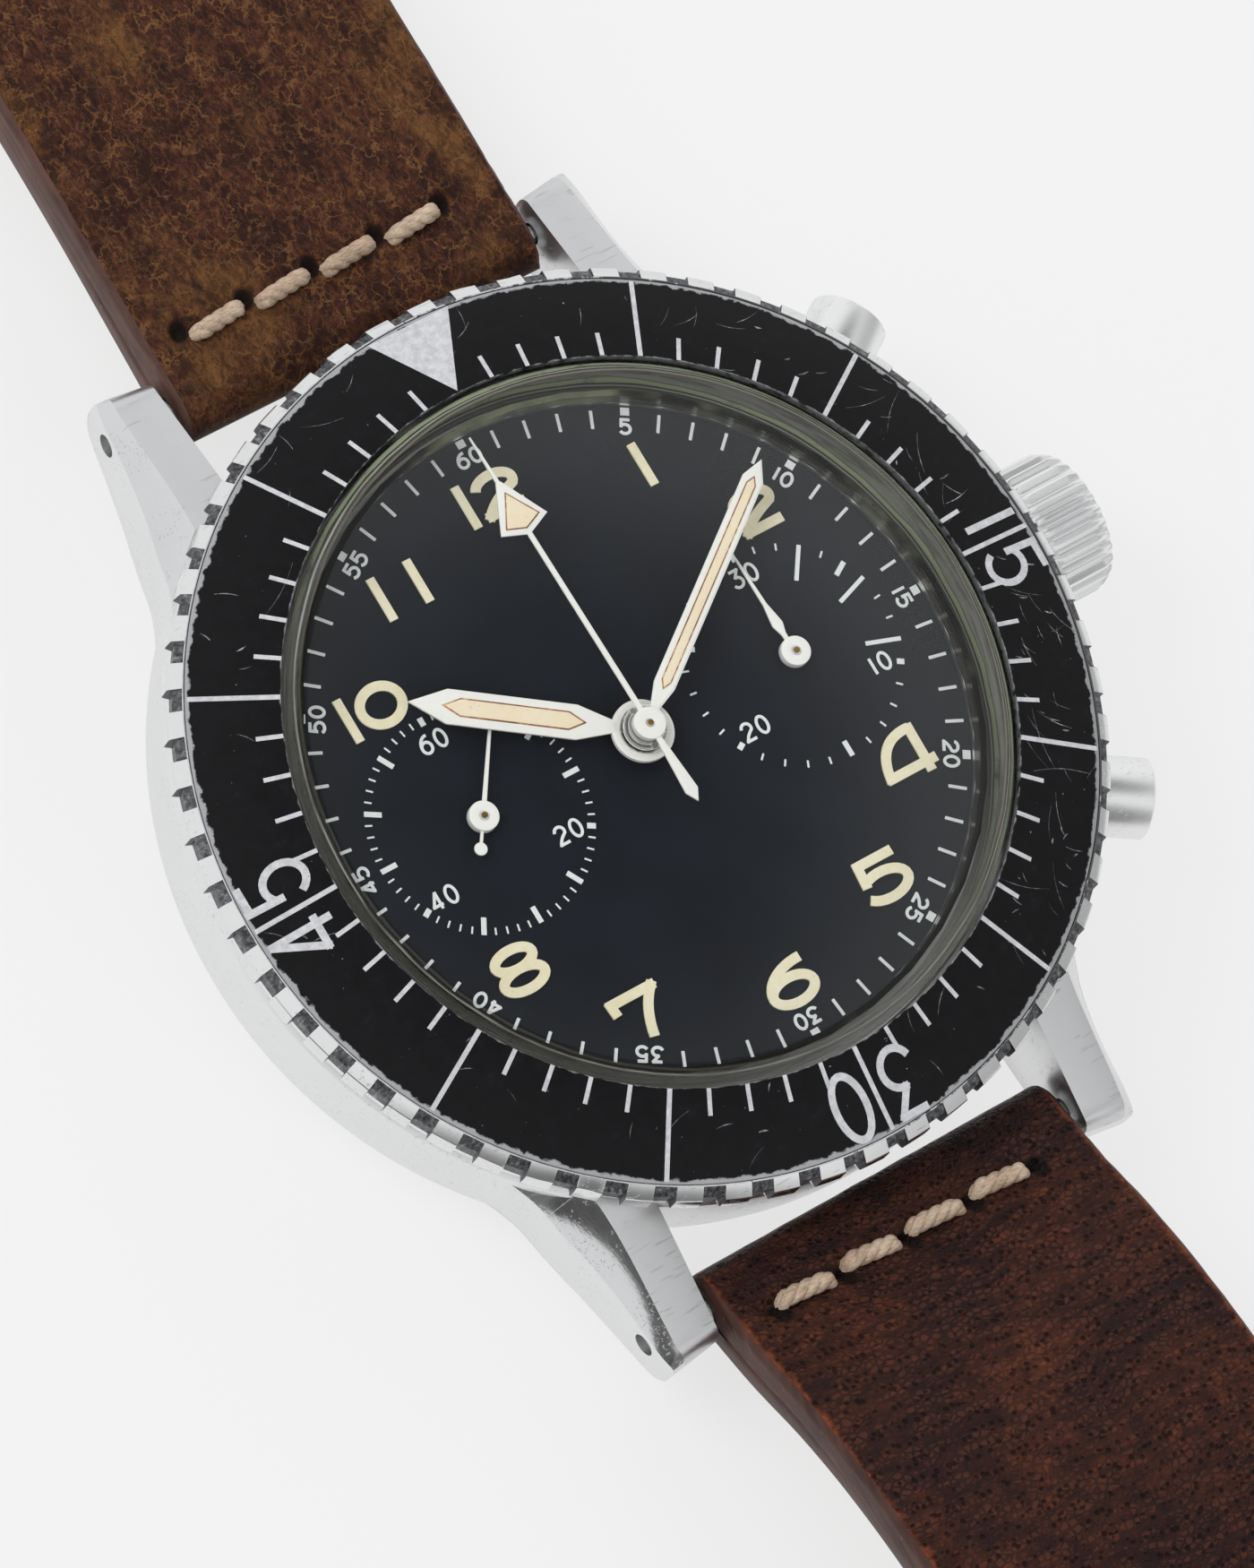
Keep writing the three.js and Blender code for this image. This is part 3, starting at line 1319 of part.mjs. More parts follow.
function couplingLever() {
  const knee = from(fourthAt, dir(couplingKneeAngle), couplingKneePlace);
  const ridge = from(centre, dir(couplingRidgeAngle), couplingRidgePlace);
  const [low, high] = [leverUnder, leverTop];
  const body = join(
    link(...fourthAt, couplingHubShare * leverStudRadius, ...couplingAt, leverHubShare * leverStudRadius, low, high),
    link(...fourthAt, couplingHubShare * leverStudRadius, ...knee, leverHubShare * leverStudRadius, low, high),
    link(...knee, leverHubShare * leverStudRadius, ...ridge, couplingRidgeShare * leverStudRadius, low, high),
    link(...ridge, couplingRidgeShare * leverStudRadius, ...couplingTail, leverStudRadius, low, high),
    disc(leverStudRadius / 2, low, couplingStudTop, pinFacets, ...couplingAt),
  );
  return cut(body, bridgeHole(fourthAt, low, high, pivotHole));
}

function couplingWheel() {
  return cut(
    toothed(couplingTeeth, couplingRadius - chronographToothDepth, couplingRadius, chronographWheelUnder,
      chronographWheelTop, couplingSpin),
    disc(leverStudRadius / 2 + fit, 0, bridgeUnder, pinFacets),
  );
}

// Column wheel: a ratchet below, and the columns that the levers' beaks ride on and drop between
function columnWheel() {
  const columns = Array.from({ length: columnCount }, (_, i) => {
    const reach = columnRadius - leverStudRadius;
    const at = from(centre, dir((360 * i) / columnCount), reach);
    return disc(leverStudRadius, columnUnder, columnBase + fit, 6, ...at);
  });
  return cut(
    join(
      toothed(columnTeeth, columnRadius - chronographToothDepth, columnRadius, columnBase, columnTop),
      ...columns,
    ),
    disc(leverStudRadius + running, columnBase - overrun, columnTop + overrun, pinFacets),
  );
}

// A lever's upright tab, which a pusher's end meets
function tab(angle) {
  const block = box(tabPlace - tabThickness / 2, tabPlace + tabThickness / 2, -tabWidth / 2, tabWidth / 2,
    leverUnder, stemHeight + tabWidth / 2);
  return block.rotate([0, 0, angle]);
}

const startTab = from(centre, dir(pusherAngle), tabPlace);
const resetTab = from(centre, dir(-pusherAngle), tabPlace);
const startPivot = onEdge(startPivotAngle, startPivotShare);
const resetPivot = onEdge(resetPivotAngle, resetPivotShare);
const centreHead = from(centre, dir(hammerHeadAngle), heartHigh + centreHeadShare * leverStudRadius);
const recorderHead = from(recorderAt, dir(hammerHeadAngle), heartHigh + recorderHeadShare * leverStudRadius);

function operatingLever() {
  const [low, high] = [leverUnder, leverTop];
  const [px, py] = startPivot;
  const body = join(
    link(px, py, leverHubShare * leverStudRadius, ...startTab, leverArmShare * leverStudRadius, low, high),
    tab(pusherAngle),
    disc(leverStudRadius, low, bridgeUnder - fit, pinFacets, px, py),
  );
  return body;
}

function resetHammer() {
  const [low, high] = [leverUnder, leverTop];
  const [px, py] = resetPivot;
  const body = join(
    link(px, py, leverHubShare * leverStudRadius, ...resetTab, leverArmShare * leverStudRadius, low, high),
    link(px, py, leverHubShare * leverStudRadius, ...centreHead, leverStudRadius, low, high),
    link(px, py, leverHubShare * leverStudRadius, ...recorderHead, leverStudRadius, low, high),
    tab(-pusherAngle),
    disc(leverStudRadius, low, plateUnder - fit, pinFacets, px, py),
  );
  return body;
}

// The buckle half lies on its keepers' lower walls
const buckleBarHeight = strapFloor + keeperWall + fit + strapThickness / 2;

// Strap halves, each along +Y from its bar. The shares give the height of the middle line along the length, from lying
// flat at 0 to the crest of the bend at 1
const topRouteShares = [[0.053, 0.93], [0.13, 1], [0.21, 0.97], [0.33, 0.8], [0.46, 0.45], [0.59, 0.12], [0.68, 0],
  [0.8, 0], [1, 0]];
const bottomRouteShares = [[0.028, 0.5], [0.055, 0.7], [0.086, 0.82], [0.119, 0.95], [0.161, 1], [0.212, 0.98],
  [0.297, 0.8], [0.398, 0.5], [0.5, 0.2], [0.593, 0.03], [0.68, 0], [0.8, 0], [1, 0]];

function strapRoute(length, rise, shares, lying) {
  const crest = barHeight + rise;
  const places = shares.map(([along, up]) => new THREE.Vector3(0, along * length, lying + (crest - lying) * up));
  return new THREE.CatmullRomCurve3([new THREE.Vector3(0, 0, barHeight), ...places]);
}

function strapSide(length, rise, shares, lying) {
  const route = strapRoute(length, rise, shares, lying);
  const upper = [];
  const lower = [];
  for (let i = 1; i <= routeSteps; i += 1) {
    const t = i / routeSteps;
    const at = route.getPointAt(t);
    const way = route.getTangentAt(t);
    const fold = Math.max(0, 1 - (t * length) / strapFoldLength);
    const thick = (strapThickness + (strapFoldThickness - strapThickness) * fold) / 2;
    upper.push([at.y - way.z * thick, at.z + way.y * thick]);
    lower.push([at.y + way.z * thick, at.z - way.y * thick]);
  }
  const loop = arc(0, barHeight, strapFoldThickness / 2, half, 3 * half, 2 * curveSteps);
  return prismX([...loop, ...lower, ...upper.reverse()], -strapWidth, strapWidth);
}

function strapPlan(length, tipLength) {
  const wide = strapWidth / 2 - strapClearance;
  const narrow = strapTaper / 2;
  const taperEnd = length - tipLength;
  const tip = tipLength > 0
    ? bend([narrow, taperEnd], [narrow * tipRoundShare, length], [0, length])
    : [[narrow, length]];
  const right = [[wide, -strapFoldThickness], [wide, strapFoldLength], ...tip];
  const left = right.map(([x, y]) => [-x, y]).reverse();
  const outline = [...right, ...left.filter(([x]) => x !== 0)];
  return prism(outline, -overrun, 4 * (strapTopRise + strapBottomRise));
}

const barBore = (radius, y = 0, z = barHeight) => rodX(radius, -strapWidth, strapWidth, z, wheelFacets, y);

function strapTop() {
  const end = strapTopLength - tangSlot;
  const slot = box(-tangSlot / 2, tangSlot / 2, end - buckleFoldRadius, strapTopLength + overrun, -overrun, barHeight);
  const side = strapSide(strapTopLength, strapTopRise, topRouteShares, buckleBarHeight);
  const band = meet(side, strapPlan(strapTopLength, 0));
  const bar = barBore(buckleBarRadius + fit, strapTopLength - buckleFoldRadius, buckleBarHeight);
  return cut(band, barBore(springBarRadius + running), bar, slot);
}

function strapBottom() {
  const band = meet(strapSide(strapBottomLength, strapBottomRise, bottomRouteShares, strapThickness / 2 + strapFloor),
    strapPlan(strapBottomLength, strapTipLength));
  const holes = Array.from({ length: strapHoles }, (_, i) => disc(
    strapHoleRadius, -overrun, 4 * strapBottomRise, pinFacets, 0,
    strapBottomLength - strapHoleStart - i * strapHolePitch,
  ));
  return cut(band, barBore(springBarRadius + running), ...holes);
}


function springBar() {
  const shoulder = lugInside - running;
  return join(
    rodX(springBarRadius, -shoulder + springBarShoulder, shoulder - springBarShoulder, 0, wheelFacets),
    rodX(springBarPin, -lugTipOutside + lugBevelTip, lugTipOutside - lugBevelTip),
  );
}

// Buckle frame, lying around the end of the strap, with its bar and tang
const frameInside = strapTaper / 2 + running;

function buckleFrame() {
  const outer = frameInside + buckleWire;
  const end = buckleWindow + buckleWire;
  const half = buckleWire / 2;
  const plan = prism([
    [-outer, -buckleWire], [outer, -buckleWire],
    ...bend([outer, end - buckleCorner], [outer, end], [outer - buckleCorner, end]),
    ...bend([buckleCorner - outer, end], [-outer, end], [-outer, end - buckleCorner]),
  ], -overrun, buckleBarHeight + 2 * buckleWire);
  const side = prismX([
    [-buckleWire, buckleBarHeight - half * buckleNearShare], [buckleWire, buckleBarHeight - half * buckleRimShare],
    [buckleWindow, strapFloor], [end, strapFloor], [end, strapFloor + buckleWire],
    [buckleWindow, strapFloor + buckleWire], [half, buckleBarHeight + half * buckleRimShare],
    [-buckleWire, buckleBarHeight + half * buckleNearShare],
  ], -outer - overrun, outer + overrun);
  const window = box(-frameInside, frameInside, -2 * buckleWire, buckleWindow, -overrun, 4 * buckleWire);
  const bore = rodX(buckleBarRadius + fit, -outer + half - fit, outer - half + fit, buckleBarHeight, wheelFacets);
  return cut(meet(plan, side), window, bore);
}

// Tang: an eye round the bar and a blade that lies on the front of the frame
function buckleTang() {
  const rest = strapFloor + buckleWire + fit;
  const tip = buckleWindow + buckleWire * tangOverlapShare;
  const eyeRadius = buckleBarRadius + tangThickness / 2;
  const eye = cut(
    rodX(eyeRadius, -tangWidth / 2, tangWidth / 2, buckleBarHeight, pinFacets),
    rodX(buckleBarRadius + fit, -tangWidth, tangWidth, buckleBarHeight, wheelFacets),
  );
  const blade = prismX([
    [eyeRadius * tangEyeShare, buckleBarHeight + eyeRadius * tangRiseShare], [buckleWindow, rest], [tip, rest],
    [tip, rest + tangThickness / 2], [buckleWindow, rest + tangThickness], [0, buckleBarHeight + eyeRadius + fit],
    [0, buckleBarHeight + buckleBarRadius + 2 * fit],
  ], -tangWidth / 2, tangWidth / 2);
  return join(eye, cut(blade, rodX(buckleBarRadius + fit, -tangWidth, tangWidth, buckleBarHeight, wheelFacets)));
}

// Keepers: loops round the buckle half, one fixed and one that slides
function keeper(place) {
  const inside = strapTaper / 2 + keeperSpace;
  const outside = inside + keeperWall;
  const low = strapFloor + keeperWall;
  const high = low + 2 * strapThickness;
  const body = box(-outside, outside, place, place + keeperWidth, strapFloor, high + keeperWall);
  const hole = box(-inside, inside, place - overrun, place + keeperWidth + overrun, low, high);
  return cut(body, hole);
}

// The watch, put together
const watch = new THREE.Group();

const exterior = new THREE.Group();
piece(exterior, 'case_middle', caseMiddle(), 'steel');
piece(exterior, 'case_back', caseBack(), 'steel');
piece(exterior, 'case_back_gasket', ring(gasketInner, gasketOuter, 0, gasketHeight, caseFacets), 'rubber', 0, 0,
  caseUnder);
piece(exterior, 'bezel_ring', bezelRing(), 'polished');
piece(exterior, 'bezel_insert', bezelInsert(), 'insert');
piece(exterior, 'bezel_spring', bezelSpring(), 'movementSteel');
piece(exterior, 'crystal', crystal(), 'crystal');
const tensionOuter = crystalRadius - crystalWall - fit;
piece(exterior, 'crystal_ring', ring(tensionOuter - tensionWidth, tensionOuter, 0, tensionHeight, caseFacets),
  'polished', 0, 0, crystalSeat);
piece(exterior, 'crown', crown(), 'steel', 0, 0, stemHeight);
piece(exterior, 'crown_tube', crownTube(), 'steel', 0, 0, stemHeight);
watch.add(exterior);

for (const [name, angle] of [['pusher_start', pusherAngle], ['pusher_reset', -pusherAngle]]) {
  const side = new THREE.Group();
  side.position.z = stemHeight;
  side.rotation.z = radians(angle);
  piece(side, name, pusher(), 'steel');
  piece(side, `${name}_spring`, pusherSpring(), 'movementSteel');
  watch.add(side);
}

const dialSide = new THREE.Group();
calibrePiece(dialSide, 'dial', dial(), 'dial');
const hands = [
  ['hour_hand', sword(hourHandLength, hourHandWidth, hourHandNeck, hourHubRadius, hourTubeOuter + fit, hourHandHeight,
    hourHubHeight, bladeShares.hour), centre, hourHandAngle],
  ['minute_hand', sword(minuteHandLength, minuteHandWidth, minuteHandNeck, minuteHubRadius, cannonTubeOuter + fit,
    minuteHandHeight, minuteHubHeight, bladeShares.minute), centre, minuteHandAngle],
  ['chronograph_hand', chronographHand(), centre, chronographHandAngle],
  ['seconds_hand', secondsHand(), fourthAt, secondsHandAngle],
  ['counter_hand', counterHand(), recorderAt, counterHandAngle],
];
for (const [name, solid, at, angle] of hands) {
  calibrePiece(dialSide, name, solid, 'hand', ...at).rotation.z = -radians(angle);
}
calibrePiece(dialSide, 'cannon_pinion', cannonPinion(), 'movementSteel');
calibrePiece(dialSide, 'minute_wheel', minuteWheel(), 'brass', ...motionAt);
calibrePiece(dialSide, 'hour_wheel', hourWheel(), 'brass');
watch.add(dialSide);

const movement = new THREE.Group();
calibrePiece(movement, 'main_plate', mainPlate(), 'plated');
calibrePiece(movement, 'barrel_bridge', barrelBridge(), 'plated');
calibrePiece(movement, 'train_bridge', trainBridge(), 'plated');
calibrePiece(movement, 'balance_cock', balanceCock(), 'plated');
calibrePiece(movement, 'pallet_cock', palletCock(), 'plated');
calibrePiece(movement, 'chronograph_bridge', chronographBridge(), 'plated');
calibrePiece(movement, 'barrel', barrel(), 'brass', ...barrelAt);
calibrePiece(movement, 'mainspring', mainspring(), 'blued', ...barrelAt);
calibrePiece(movement, 'barrel_arbor', barrelArbor(), 'movementSteel', ...barrelAt);
calibrePiece(movement, 'ratchet_wheel', ratchetWheel(), 'movementSteel', ...barrelAt);
calibrePiece(movement, 'crown_wheel', crownWheel(), 'movementSteel', ...crownWheelAt);
piece(movement, 'winding_stem', windingStem(), 'movementSteel', 0, 0, stemHeight);
piece(movement, 'winding_pinion', keylessPinion(windingPinionPlace, windingPinionLength, false), 'movementSteel',
  0, 0, stemHeight);
piece(movement, 'sliding_pinion', keylessPinion(slidingPinionPlace, slidingPinionLength, true), 'movementSteel',
  0, 0, stemHeight);
calibrePiece(movement, 'centre_wheel', centreWheel(), 'brass');
calibrePiece(movement, 'third_wheel', thirdWheel(), 'brass', ...thirdAt);
calibrePiece(movement, 'fourth_wheel', fourthWheel(), 'brass', ...fourthAt);
calibrePiece(movement, 'escape_wheel', escapeWheel(), 'movementSteel', ...escapeAt);
calibrePiece(movement, 'pallet_fork', palletFork(), 'movementSteel', ...palletAt).rotation.z = radians(leverAngle);
calibrePiece(movement, 'balance_wheel', balanceWheel(), 'brass', ...balanceAt);
calibrePiece(movement, 'hairspring', hairspring(), 'blued', ...balanceAt);
calibrePiece(movement, 'chronograph_runner', recorderWheel(runnerTeeth, runnerRadius,
  chronographHandHeight + 2 * smallHandThickness), 'brass');
calibrePiece(movement, 'minute_recorder', recorderWheel(recorderTeeth, recorderRadius, smallHandHeight + smallHubHeight),
  'brass', ...recorderAt);
calibrePiece(movement, 'coupling_lever', couplingLever(), 'movementSteel');
calibrePiece(movement, 'coupling_wheel', couplingWheel(), 'brass', ...couplingAt);
calibrePiece(movement, 'column_wheel', columnWheel(), 'movementSteel', ...columnAt);
calibrePiece(movement, 'operating_lever', operatingLever(), 'movementSteel');
calibrePiece(movement, 'reset_hammer', resetHammer(), 'movementSteel');
watch.add(movement);

const upperStrap = new THREE.Group();
upperStrap.position.y = barPlace;
piece(upperStrap, 'strap_top', strapTop(), 'leather');
piece(upperStrap, 'spring_bar_top', springBar(), 'steel', 0, 0, barHeight);
piece(upperStrap, 'keeper_fixed', keeper(strapTopLength - keeperPlace), 'leather');
piece(upperStrap, 'keeper_sliding', keeper(strapTopLength - freeKeeperPlace), 'leather');
const buckleAt = strapTopLength - buckleFoldRadius;
piece(upperStrap, 'buckle_frame', buckleFrame(), 'steel', 0, buckleAt);
piece(upperStrap, 'buckle_tang', buckleTang(), 'steel', 0, buckleAt);
piece(upperStrap, 'buckle_bar', rodX(buckleBarRadius, -frameInside - buckleWire / 2, frameInside + buckleWire / 2,
  0, wheelFacets), 'steel', 0, buckleAt, buckleBarHeight);
watch.add(upperStrap);

const lowerStrap = new THREE.Group();
lowerStrap.position.y = -barPlace;
lowerStrap.rotation.z = Math.PI;
piece(lowerStrap, 'strap_bottom', strapBottom(), 'leather');
piece(lowerStrap, 'spring_bar_bottom', springBar(), 'steel', 0, 0, barHeight);
watch.add(lowerStrap);

export default watch;
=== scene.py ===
# %% [markdown]
# # A steel chronograph on a leather strap
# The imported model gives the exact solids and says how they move. This notebook dresses them: finer turned and milled
# steel, a printed dial, luminous hands, a domed acrylic crystal and worn leather. Everything is in metres, in the
# model's own frame, so each new piece is simply drawn where its solid already is.

import math
import random

import bmesh
import bpy
from mathutils import Matrix, Vector, noise


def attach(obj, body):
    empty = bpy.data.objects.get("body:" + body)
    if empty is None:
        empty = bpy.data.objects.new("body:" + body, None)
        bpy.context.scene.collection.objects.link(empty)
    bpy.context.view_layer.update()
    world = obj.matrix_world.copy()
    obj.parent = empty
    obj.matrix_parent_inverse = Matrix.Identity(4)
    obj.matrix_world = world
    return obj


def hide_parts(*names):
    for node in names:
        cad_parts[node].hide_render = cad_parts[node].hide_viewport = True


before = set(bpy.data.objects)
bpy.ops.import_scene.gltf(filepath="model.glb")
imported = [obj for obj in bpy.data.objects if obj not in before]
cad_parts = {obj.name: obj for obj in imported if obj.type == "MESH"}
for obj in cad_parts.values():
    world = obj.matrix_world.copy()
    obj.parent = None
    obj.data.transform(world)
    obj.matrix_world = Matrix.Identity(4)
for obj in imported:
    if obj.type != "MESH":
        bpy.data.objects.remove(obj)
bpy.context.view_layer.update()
MM = 0.001
TURN = 2 * math.pi

# %% [markdown]
# The camera looks down on the dial from the lower left with a long lens, which is how catalogue pictures keep a round
# case round. Its place and its three axes come from the sixty marks of the turning ring: once their ellipse is known,
# so is the direction that they were seen from. A long lens far away was chosen over a short one close by, because the
# marks at the near and the far side of the ring are almost the same size.

# %% Camera
RIGHT = Vector((0.8137, -0.5124, 0.2745))
UP = Vector((0.4325, 0.8492, 0.3029))
BACK = Vector((-0.3883, -0.1278, 0.9126))
OFFSET = (1.23, 2.911, -392.215)
LENS_PIXELS, PICTURE_HEIGHT, SENSOR = 10000, 1750, 36
RING_LEVEL = 11.8


def linked(name, data):
    """A new object in the scene."""
    made = bpy.data.objects.new(name, data)
    bpy.context.scene.collection.objects.link(made)
    return made



place = -(RIGHT * OFFSET[0] + UP * OFFSET[1] + BACK * OFFSET[2]) + Vector((0, 0, RING_LEVEL))
camera_data = bpy.data.cameras.new("camera")
camera_data.sensor_fit = "AUTO"
camera_data.sensor_width = SENSOR
camera_data.lens = SENSOR * LENS_PIXELS / PICTURE_HEIGHT
camera_data.clip_start, camera_data.clip_end = 0.01, 10
camera = linked("camera", camera_data)
camera.matrix_world = Matrix.Translation(place * MM) @ Matrix((RIGHT, UP, BACK)).transposed().to_4x4()
bpy.context.scene.camera = camera
print("camera at", [round(v, 4) for v in camera.location], "lens", round(camera_data.lens, 1))

# %% [markdown]
# Every finish is a small recipe of nodes. Wiring nodes by hand is long and hard to read, so one class wraps a socket
# and lets shader maths be written as Python: `1 - mask * 0.5` adds the two Math nodes that it needs. Every other node
# comes from one method that takes the node's type, its settings and the values or links of its sockets.

# %% A way to write finishes as expressions
class Signal:
    def __init__(self, recipe, socket):
        self.recipe, self.socket = recipe, socket

    def math(self, operation, *others):
        return self.recipe.add("ShaderNodeMath", {"operation": operation}, [self, *others])

    def __add__(self, other):
        return self.math("ADD", other)

    __radd__ = __add__

    def __mul__(self, other):
        return self.math("MULTIPLY", other)

    __rmul__ = __mul__

    def __sub__(self, other):
        return self.math("SUBTRACT", other)

    def __rsub__(self, other):
        return self.recipe.add("ShaderNodeMath", {"operation": "SUBTRACT"}, [other, self])

    def __truediv__(self, other):
        return self.math("DIVIDE", other)

    def __pow__(self, other):
        return self.math("POWER", other)

    def clamp(self):
        return self.recipe.add("ShaderNodeClamp", {}, [self])

    def above(self, edge, soft):
        return self.recipe.add("ShaderNodeMapRange", {"interpolation_type": "SMOOTHSTEP"},
                               {"Value": self, "From Min": edge - soft, "From Max": edge + soft})


class Recipe:
    def __init__(self, name, tree=None):
        if tree is None:
            self.material = bpy.data.materials.new(name)
            self.material.use_nodes = True
            tree = self.material.node_tree
        self.tree = tree
        tree.nodes.clear()

    def add(self, kind, settings, inputs, output=0):
        node = self.tree.nodes.new(kind)
        for key, value in settings.items():
            if key == "stops":
                ramp = node.color_ramp.elements
                while len(ramp) < len(value):
                    ramp.new(1)
                for stop, (position, color) in zip(ramp, value):
                    stop.position, stop.color = position, (*color, 1)
            else:
                setattr(node, key, value)
        pairs = inputs.items() if isinstance(inputs, dict) else enumerate(inputs)
        for key, value in pairs:
            if isinstance(value, Signal):
                self.tree.links.new(value.socket, node.inputs[key])
            elif value is not None:
                socket = node.inputs[key]
                rgba = socket.type == "RGBA" and len(value) == 3
                socket.default_value = (*value, 1) if rgba else value
        return Signal(self, node.outputs[output]) if node.outputs else None

    def where(self):
        """Places on the object in millimetres."""
        spot = self.add("ShaderNodeTexCoord", {}, [], "Object")
        return self.add("ShaderNodeVectorMath", {"operation": "SCALE"}, {"Vector": spot, "Scale": 1 / MM})

    def parts(self, vector):
        node = self.add("ShaderNodeSeparateXYZ", {}, [vector]).socket.node
        return [Signal(self, node.outputs[i]) for i in range(3)]

    def stretch(self, vector, scale=(1, 1, 1), turn=(0, 0, 0)):
        return self.add("ShaderNodeMapping", {}, {"Vector": vector, "Scale": scale, "Rotation": turn})

    def noise(self, vector, scale, detail=3, rough=0.5, distortion=0, color=False):
        return self.add("ShaderNodeTexNoise", {}, {
            "Vector": vector, "Scale": scale, "Detail": detail, "Roughness": rough, "Distortion": distortion,
        }, "Color" if color else "Fac")

    def cells(self, vector, scale, feature="F1", randomness=1):
        return self.add("ShaderNodeTexVoronoi", {"feature": feature},
                        {"Vector": vector, "Scale": scale, "Randomness": randomness}, "Distance")

    def mix(self, amount, first, second):
        node = self.add("ShaderNodeMix", {"data_type": "RGBA"}, {0: amount}).socket.node
        for index, value in ((6, first), (7, second)):
            if isinstance(value, Signal):
                self.tree.links.new(value.socket, node.inputs[index])
            else:
                node.inputs[index].default_value = (*value, 1)
        return Signal(self, node.outputs[2])

    def ramp(self, amount, *stops):
        return self.add("ShaderNodeValToRGB", {"stops": stops}, [amount])

    def bump(self, height, distance, strength=1.0, normal=None):
        return self.add("ShaderNodeBump", {}, {"Strength": strength, "Distance": distance * MM, "Height": height,
                                               "Normal": normal})

    def surface(self, **inputs):
        spelled = {key.replace("_", " ").title().replace("Ior", "IOR"): value for key, value in inputs.items()}
        shader = self.add("ShaderNodeBsdfPrincipled", {}, spelled)
        self.add("ShaderNodeOutputMaterial", {}, [shader])
        return self.material


# A colour as it is read from a picture, 0 to 255, turned to the linear light that shaders work in
def tone(red, green, blue):
    return tuple(((v / 255 + 0.055) / 1.055) ** 2.4 if v > 10 else v / 255 / 12.92 for v in (red, green, blue))


print("toolkit ready")

# %% [markdown]
# A pale sweep under a soft, even light shows the watch as a catalogue does. Polished steel and acrylic only look like
# themselves when they have something to reflect, so the sky is bright all round but has one dark field: straight
# where the crystal mirrors towards the camera. That keeps the dial black in place of milky. Three smaller flags at the
# sides darken the reflections in the flanks. The floor is mostly a pale glow, with enough matt white in it to keep a
# faint contact shadow. The two lamps cast light and are hidden from reflections, because a small bright disc mirrored
# in the crystal needs many samples and brings nothing.

# %% Sky and floor
PALE = tone(243, 243, 243)
world = bpy.data.worlds.new("studio")
world.use_nodes = True
bpy.context.scene.world = world
sky = Recipe("studio", world.node_tree)
look = sky.add("ShaderNodeTexCoord", {}, [], "Generated")
mirror = Vector((-BACK.x, -BACK.y, BACK.z))


def toward(direction):
    return sky.add("ShaderNodeVectorMath", {"operation": "DOT_PRODUCT"},
                   {0: look, 1: tuple(Vector(direction).normalized())}, "Value")


dark_field = toward((mirror.x * 0.62, mirror.y * 0.62, mirror.z)).above(0.945, 0.06)
side_flag = toward((0.9, -0.42, 0.1)).above(0.75, 0.2) * 0.5
low_flag = toward((-0.45, -0.85, 0.25)).above(0.84, 0.12) * 0.8
left_flag = toward((-0.92, -0.33, 0.13)).above(0.95, 0.03) * 0.88
shade = (1 - dark_field * 0.93) * (1 - side_flag) * (1 - low_flag) * (1 - left_flag)
level = shade * 0.9 + 0.02
tint = sky.mix(level.clamp(), (0, 0, 0), (1, 1, 1))
rays = sky.add("ShaderNodeLightPath", {}, []).socket.node
seen = Signal(sky, rays.outputs["Is Camera Ray"])
studio_light = sky.add("ShaderNodeBackground", {}, {"Color": tint, "Strength": 1.0})
backdrop_light = sky.add("ShaderNodeBackground", {}, {"Color": PALE, "Strength": 1.0})
shown = sky.add("ShaderNodeMixShader", {}, [seen, studio_light, backdrop_light])
sky.add("ShaderNodeOutputWorld", {}, [shown])

floor_recipe = Recipe("pale_floor")
floor_rays = floor_recipe.add("ShaderNodeLightPath", {}, []).socket.node
floor_seen = (Signal(floor_recipe, floor_rays.outputs["Is Camera Ray"])
              + Signal(floor_recipe, floor_rays.outputs["Is Glossy Ray"])).clamp()
lit = floor_recipe.add("ShaderNodeBsdfDiffuse", {}, {"Color": tone(238, 238, 238)})
glow = floor_recipe.add("ShaderNodeEmission", {}, {"Color": PALE, "Strength": 1.0})
floor_recipe.add("ShaderNodeOutputMaterial", {},
                 [floor_recipe.add("ShaderNodeMixShader", {}, [floor_seen * 0.8, lit, glow])])

FLOOR_REACH, FLOOR_LEVEL = 1.5, -0.00002
floor_corners = [(x * FLOOR_REACH, y * FLOOR_REACH, FLOOR_LEVEL) for x, y in ((-1, -1), (1, -1), (1, 1), (-1, 1))]
floor_mesh = bpy.data.meshes.new("floor")
floor_mesh.from_pydata(floor_corners, [], [(0, 1, 2, 3)])
floor_mesh.materials.append(floor_recipe.material)
floor = linked("floor", floor_mesh)

bpy.context.scene.view_settings.view_transform = "Standard"


def softbox(name, direction, distance, size, power):
    lamp = bpy.data.lights.new(name, "AREA")
    lamp.shape, lamp.size, lamp.energy = "DISK", size, power
    box = linked(name, lamp)
    way = Vector(direction).normalized()
    box.location = way * distance
    box.rotation_euler = way.to_track_quat("Z", "Y").to_euler()
    box.visible_glossy = False


softbox("key_light", (-0.75, 0.55, 1.0), 0.7, 0.35, 1.7)
softbox("fill_light", (0.2, -0.9, 0.8), 0.8, 0.4, 0.8)
print("sky, floor and lamps ready")

# %% [markdown]
# Most of a watch is turned on a lathe, so most pieces here begin as a profile that is swept round an axis. A profile
# drawn with sharp corners looks like a computer model: real edges are broken by a tenth of a millimetre, and that
# narrow round is what catches the light. `eased` swaps each corner for a small arc, and `turned` sweeps the closed
# profile. A bend in `shape` moves points as they are swept, which is how notches and flutes are cut without booleans.

# %% Profiles, sweeps and how a mesh becomes a piece
def arc(x, y, wide, high, start, end, steps=16):
    angles = [math.radians(start + (end - start) * i / steps) for i in range(steps + 1)]
    return [(x + wide * math.cos(a), y + high * math.sin(a)) for a in angles]


